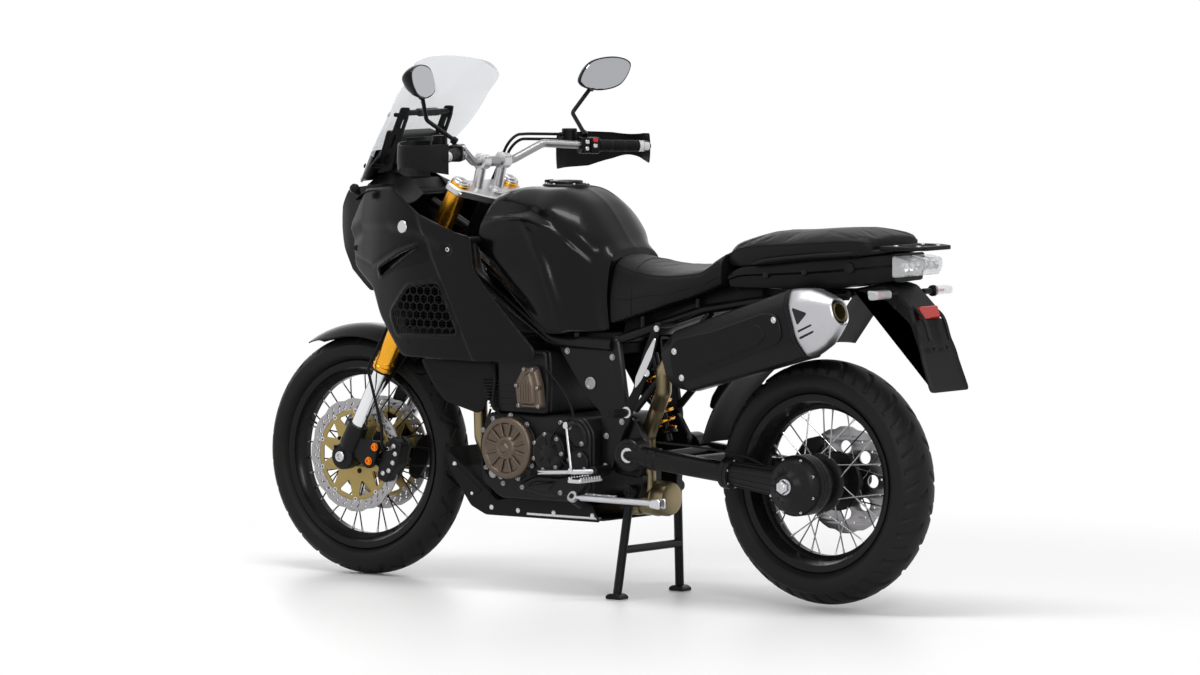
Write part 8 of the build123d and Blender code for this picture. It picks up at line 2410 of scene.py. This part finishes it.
# ------------------------------------------------------------------ studio
class Studio:
    """Floor, background, lamps and camera."""

    AMBIENT = 0.45
    FADE = (1.1, 2.7)  # metres from the middle, between which the floor goes over to white

    def build(self) -> None:
        """Make them all."""
        self.floor()
        self.world()
        self.lamps()
        self.camera()

    def floor(self) -> None:
        """A plain pale floor that keeps the shadow near the object and goes over to the white of the background."""
        mesh = bpy.data.meshes.new("floor")
        mesh.from_pydata([(-60, -60, 0), (60, -60, 0), (60, 60, 0), (-60, 60, 0)], [], [(0, 1, 2, 3)])
        obj = bpy.data.objects.new("floor", mesh)
        bpy.context.scene.collection.objects.link(obj)
        material = bpy.data.materials.new("floor")
        material.use_nodes = True
        nodes, links = material.node_tree.nodes, material.node_tree.links
        shader = nodes["Principled BSDF"]
        shader.inputs["Base Color"].default_value = (0.97, 0.97, 0.97, 1.0)
        shader.inputs["Roughness"].default_value = 0.42
        shader.inputs["Specular IOR Level"].default_value = 0.25
        white, mix = nodes.new("ShaderNodeEmission"), nodes.new("ShaderNodeMixShader")
        place_at, length = nodes.new("ShaderNodeTexCoord"), nodes.new("ShaderNodeVectorMath")
        length.operation = "LENGTH"
        links.new(place_at.outputs["Object"], length.inputs[0])
        far = nodes.new("ShaderNodeMapRange")
        far.interpolation_type = "SMOOTHSTEP"
        far.inputs["From Min"].default_value, far.inputs["From Max"].default_value = self.FADE
        links.new(length.outputs["Value"], far.inputs["Value"])
        shown = nodes.new("ShaderNodeMath")
        shown.operation = "MULTIPLY"
        links.new(far.outputs["Result"], shown.inputs[0])
        links.new(self.passing(nodes, links, glossy=True), shown.inputs[1])
        links.new(shown.outputs[0], mix.inputs[0])
        links.new(shader.outputs[0], mix.inputs[1])
        links.new(white.outputs[0], mix.inputs[2])
        links.new(mix.outputs[0], nodes["Material Output"].inputs["Surface"])
        obj.data.materials.append(material)

    def passing(self, nodes: bpy.types.Nodes, links: bpy.types.NodeLinks, glossy: bool) -> bpy.types.NodeSocket:
        """One where the camera or a glass looks past the object, and a gloss too if asked for."""
        path, either = nodes.new("ShaderNodeLightPath"), nodes.new("ShaderNodeMath")
        either.operation = "MAXIMUM"
        links.new(path.outputs["Is Camera Ray"], either.inputs[0])
        links.new(path.outputs["Is Transmission Ray"], either.inputs[1])
        if not glossy:
            return either.outputs[0]
        also = nodes.new("ShaderNodeMath")
        also.operation = "MAXIMUM"
        links.new(either.outputs[0], also.inputs[0])
        links.new(path.outputs["Is Glossy Ray"], also.inputs[1])
        return also.outputs[0]

    def world(self) -> None:
        """Soft light all round, white wherever the camera, a gloss or a glass looks past the object."""
        world = bpy.data.worlds.new("studio")
        bpy.context.scene.world = world
        world.use_nodes = True
        nodes, links = world.node_tree.nodes, world.node_tree.links
        nodes.clear()
        out, back = nodes.new("ShaderNodeOutputWorld"), nodes.new("ShaderNodeBackground")
        back.inputs["Color"].default_value = (1.0, 1.0, 1.0, 1.0)
        strength = nodes.new("ShaderNodeMath")
        strength.operation = "MULTIPLY_ADD"
        strength.inputs[1].default_value = 1.0 - self.AMBIENT
        strength.inputs[2].default_value = self.AMBIENT
        links.new(self.passing(nodes, links, glossy=True), strength.inputs[0])
        links.new(strength.outputs[0], back.inputs["Strength"])
        links.new(back.outputs[0], out.inputs["Surface"])

    def lamps(self) -> None:
        """A wide soft box overhead, one behind the camera's shoulder and a low one at the far side."""
        for name, place_at, size, power in (
            ("overhead", (-0.5, 0.8, 4.4), (3.4, 0.6), 100.0),
            ("shoulder", (-4.4, 3.6, 3.0), (0.9, 2.4), 85.0),
            ("far_side", (3.8, -3.0, 2.6), (2.4, 3.2), 40.0),
        ):
            data = bpy.data.lights.new(name, "AREA")
            data.shape = "RECTANGLE"
            data.size, data.size_y = size
            data.energy = power
            lamp = bpy.data.objects.new(name, data)
            lamp.location = place_at
            aim = np.array([0.0, 0.0, 0.6]) - np.array(place_at)
            lamp.rotation_mode = "QUATERNION"
            lamp.rotation_quaternion = Vector(aim).to_track_quat("-Z", "Y")
            bpy.context.scene.collection.objects.link(lamp)

    def camera(self) -> None:
        """A long lens from behind the left side, a little above the horizon."""
        turn, rise, away = 0.920, 0.073, 20.0
        back = np.array([-math.cos(turn) * math.cos(rise), math.sin(turn) * math.cos(rise), math.sin(rise)])
        data = bpy.data.cameras.new("camera")
        data.lens, data.sensor_width = 224.8, 36.0
        data.shift_x, data.shift_y = -0.0012, 0.0249
        data.clip_end = 200.0
        camera = bpy.data.objects.new("camera", data)
        camera.location = np.array([0.0, 0.0, 0.6]) + back * away
        camera.rotation_mode = "QUATERNION"
        camera.rotation_quaternion = Vector(-back).to_track_quat("-Z", "Y")
        bpy.context.scene.collection.objects.link(camera)
        bpy.context.scene.camera = camera


NODE_FINISHES: dict[str, Finish] = {
    "front_tyre": TYRE, "rear_tyre": TYRE, "front_rim": RIM, "rear_rim": RIM, "front_spokes": RIM,
    "rear_spokes": SPOKE, "front_hub": CASTING, "rear_hub": CASTING, "front_disc_carriers": CARRIER,
    "front_discs": DISC, "rear_disc": DISC, "fork_bottoms": CASTING, "front_axle": STEEL, "fork_tubes": CHROME,
    "fork_sleeves": GOLD, "triple_clamps": SILVER, "handlebar": TITANIUM, "grips": RUBBER, "bar_controls": SATIN,
    "hand_guards": MATTE, "mirrors": SATIN, "mirror_glass": MIRROR, "front_fender": SATIN, "front_calipers": CASTING,
    "main_frame": FRAME, "brake_hoses": RUBBER, "engine_case": CASTING, "engine_covers": BRONZE,
    "cylinder_head": CASTING, "skid_plate": MATTE, "muffler": SATIN, "muffler_cap": BRUSHED, "exhaust_pipes": TINTED,
    "swingarm": FRAME, "final_drive": CASTING, "rear_axle": STEEL, "rear_caliper": CASTING, "rear_shock": FRAME,
    "fuel_tank": GLOSS, "fuel_cap": SATIN, "side_cowls": SATIN, "grilles": MATTE, "radiator": MATTE,
    "nose_cowl": GLOSS, "headlights": LENS, "windscreen": SCREEN, "instrument_panel": MATTE, "rider_seat": VINYL,
    "passenger_seat": VINYL, "tail_cowl": SATIN, "luggage_rack": MATTE, "tail_light": LENS, "plate_holder": MATTE,
    "indicators": SATIN, "subframe": FRAME, "footrests": FRAME, "passenger_rests": MATTE, "center_stand": FRAME,
    "side_stand": STEEL,
}


def finish_nodes() -> None:
    """Give every CAD node its finish, whether it shows or a smoother piece stands for it."""
    for name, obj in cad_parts.items():
        obj.data.materials.clear()
        obj.data.materials.append(NODE_FINISHES.get(name, SATIN).material())


def main() -> None:
    """Build every sub-assembly, the studio and the camera, and close the frame."""
    logging.basicConfig(level=logging.INFO, format="%(message)s", stream=sys.stdout)
    scene = bpy.context.scene
    scene.view_settings.view_transform = "Standard"
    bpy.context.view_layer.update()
    finish_nodes()
    for assembly in ASSEMBLIES:
        assembly.build()
        LOG.info("built %s", type(assembly).__name__)
    Studio().build()
    bpy.context.view_layer.update()


if __name__ == "__main__":
    main()
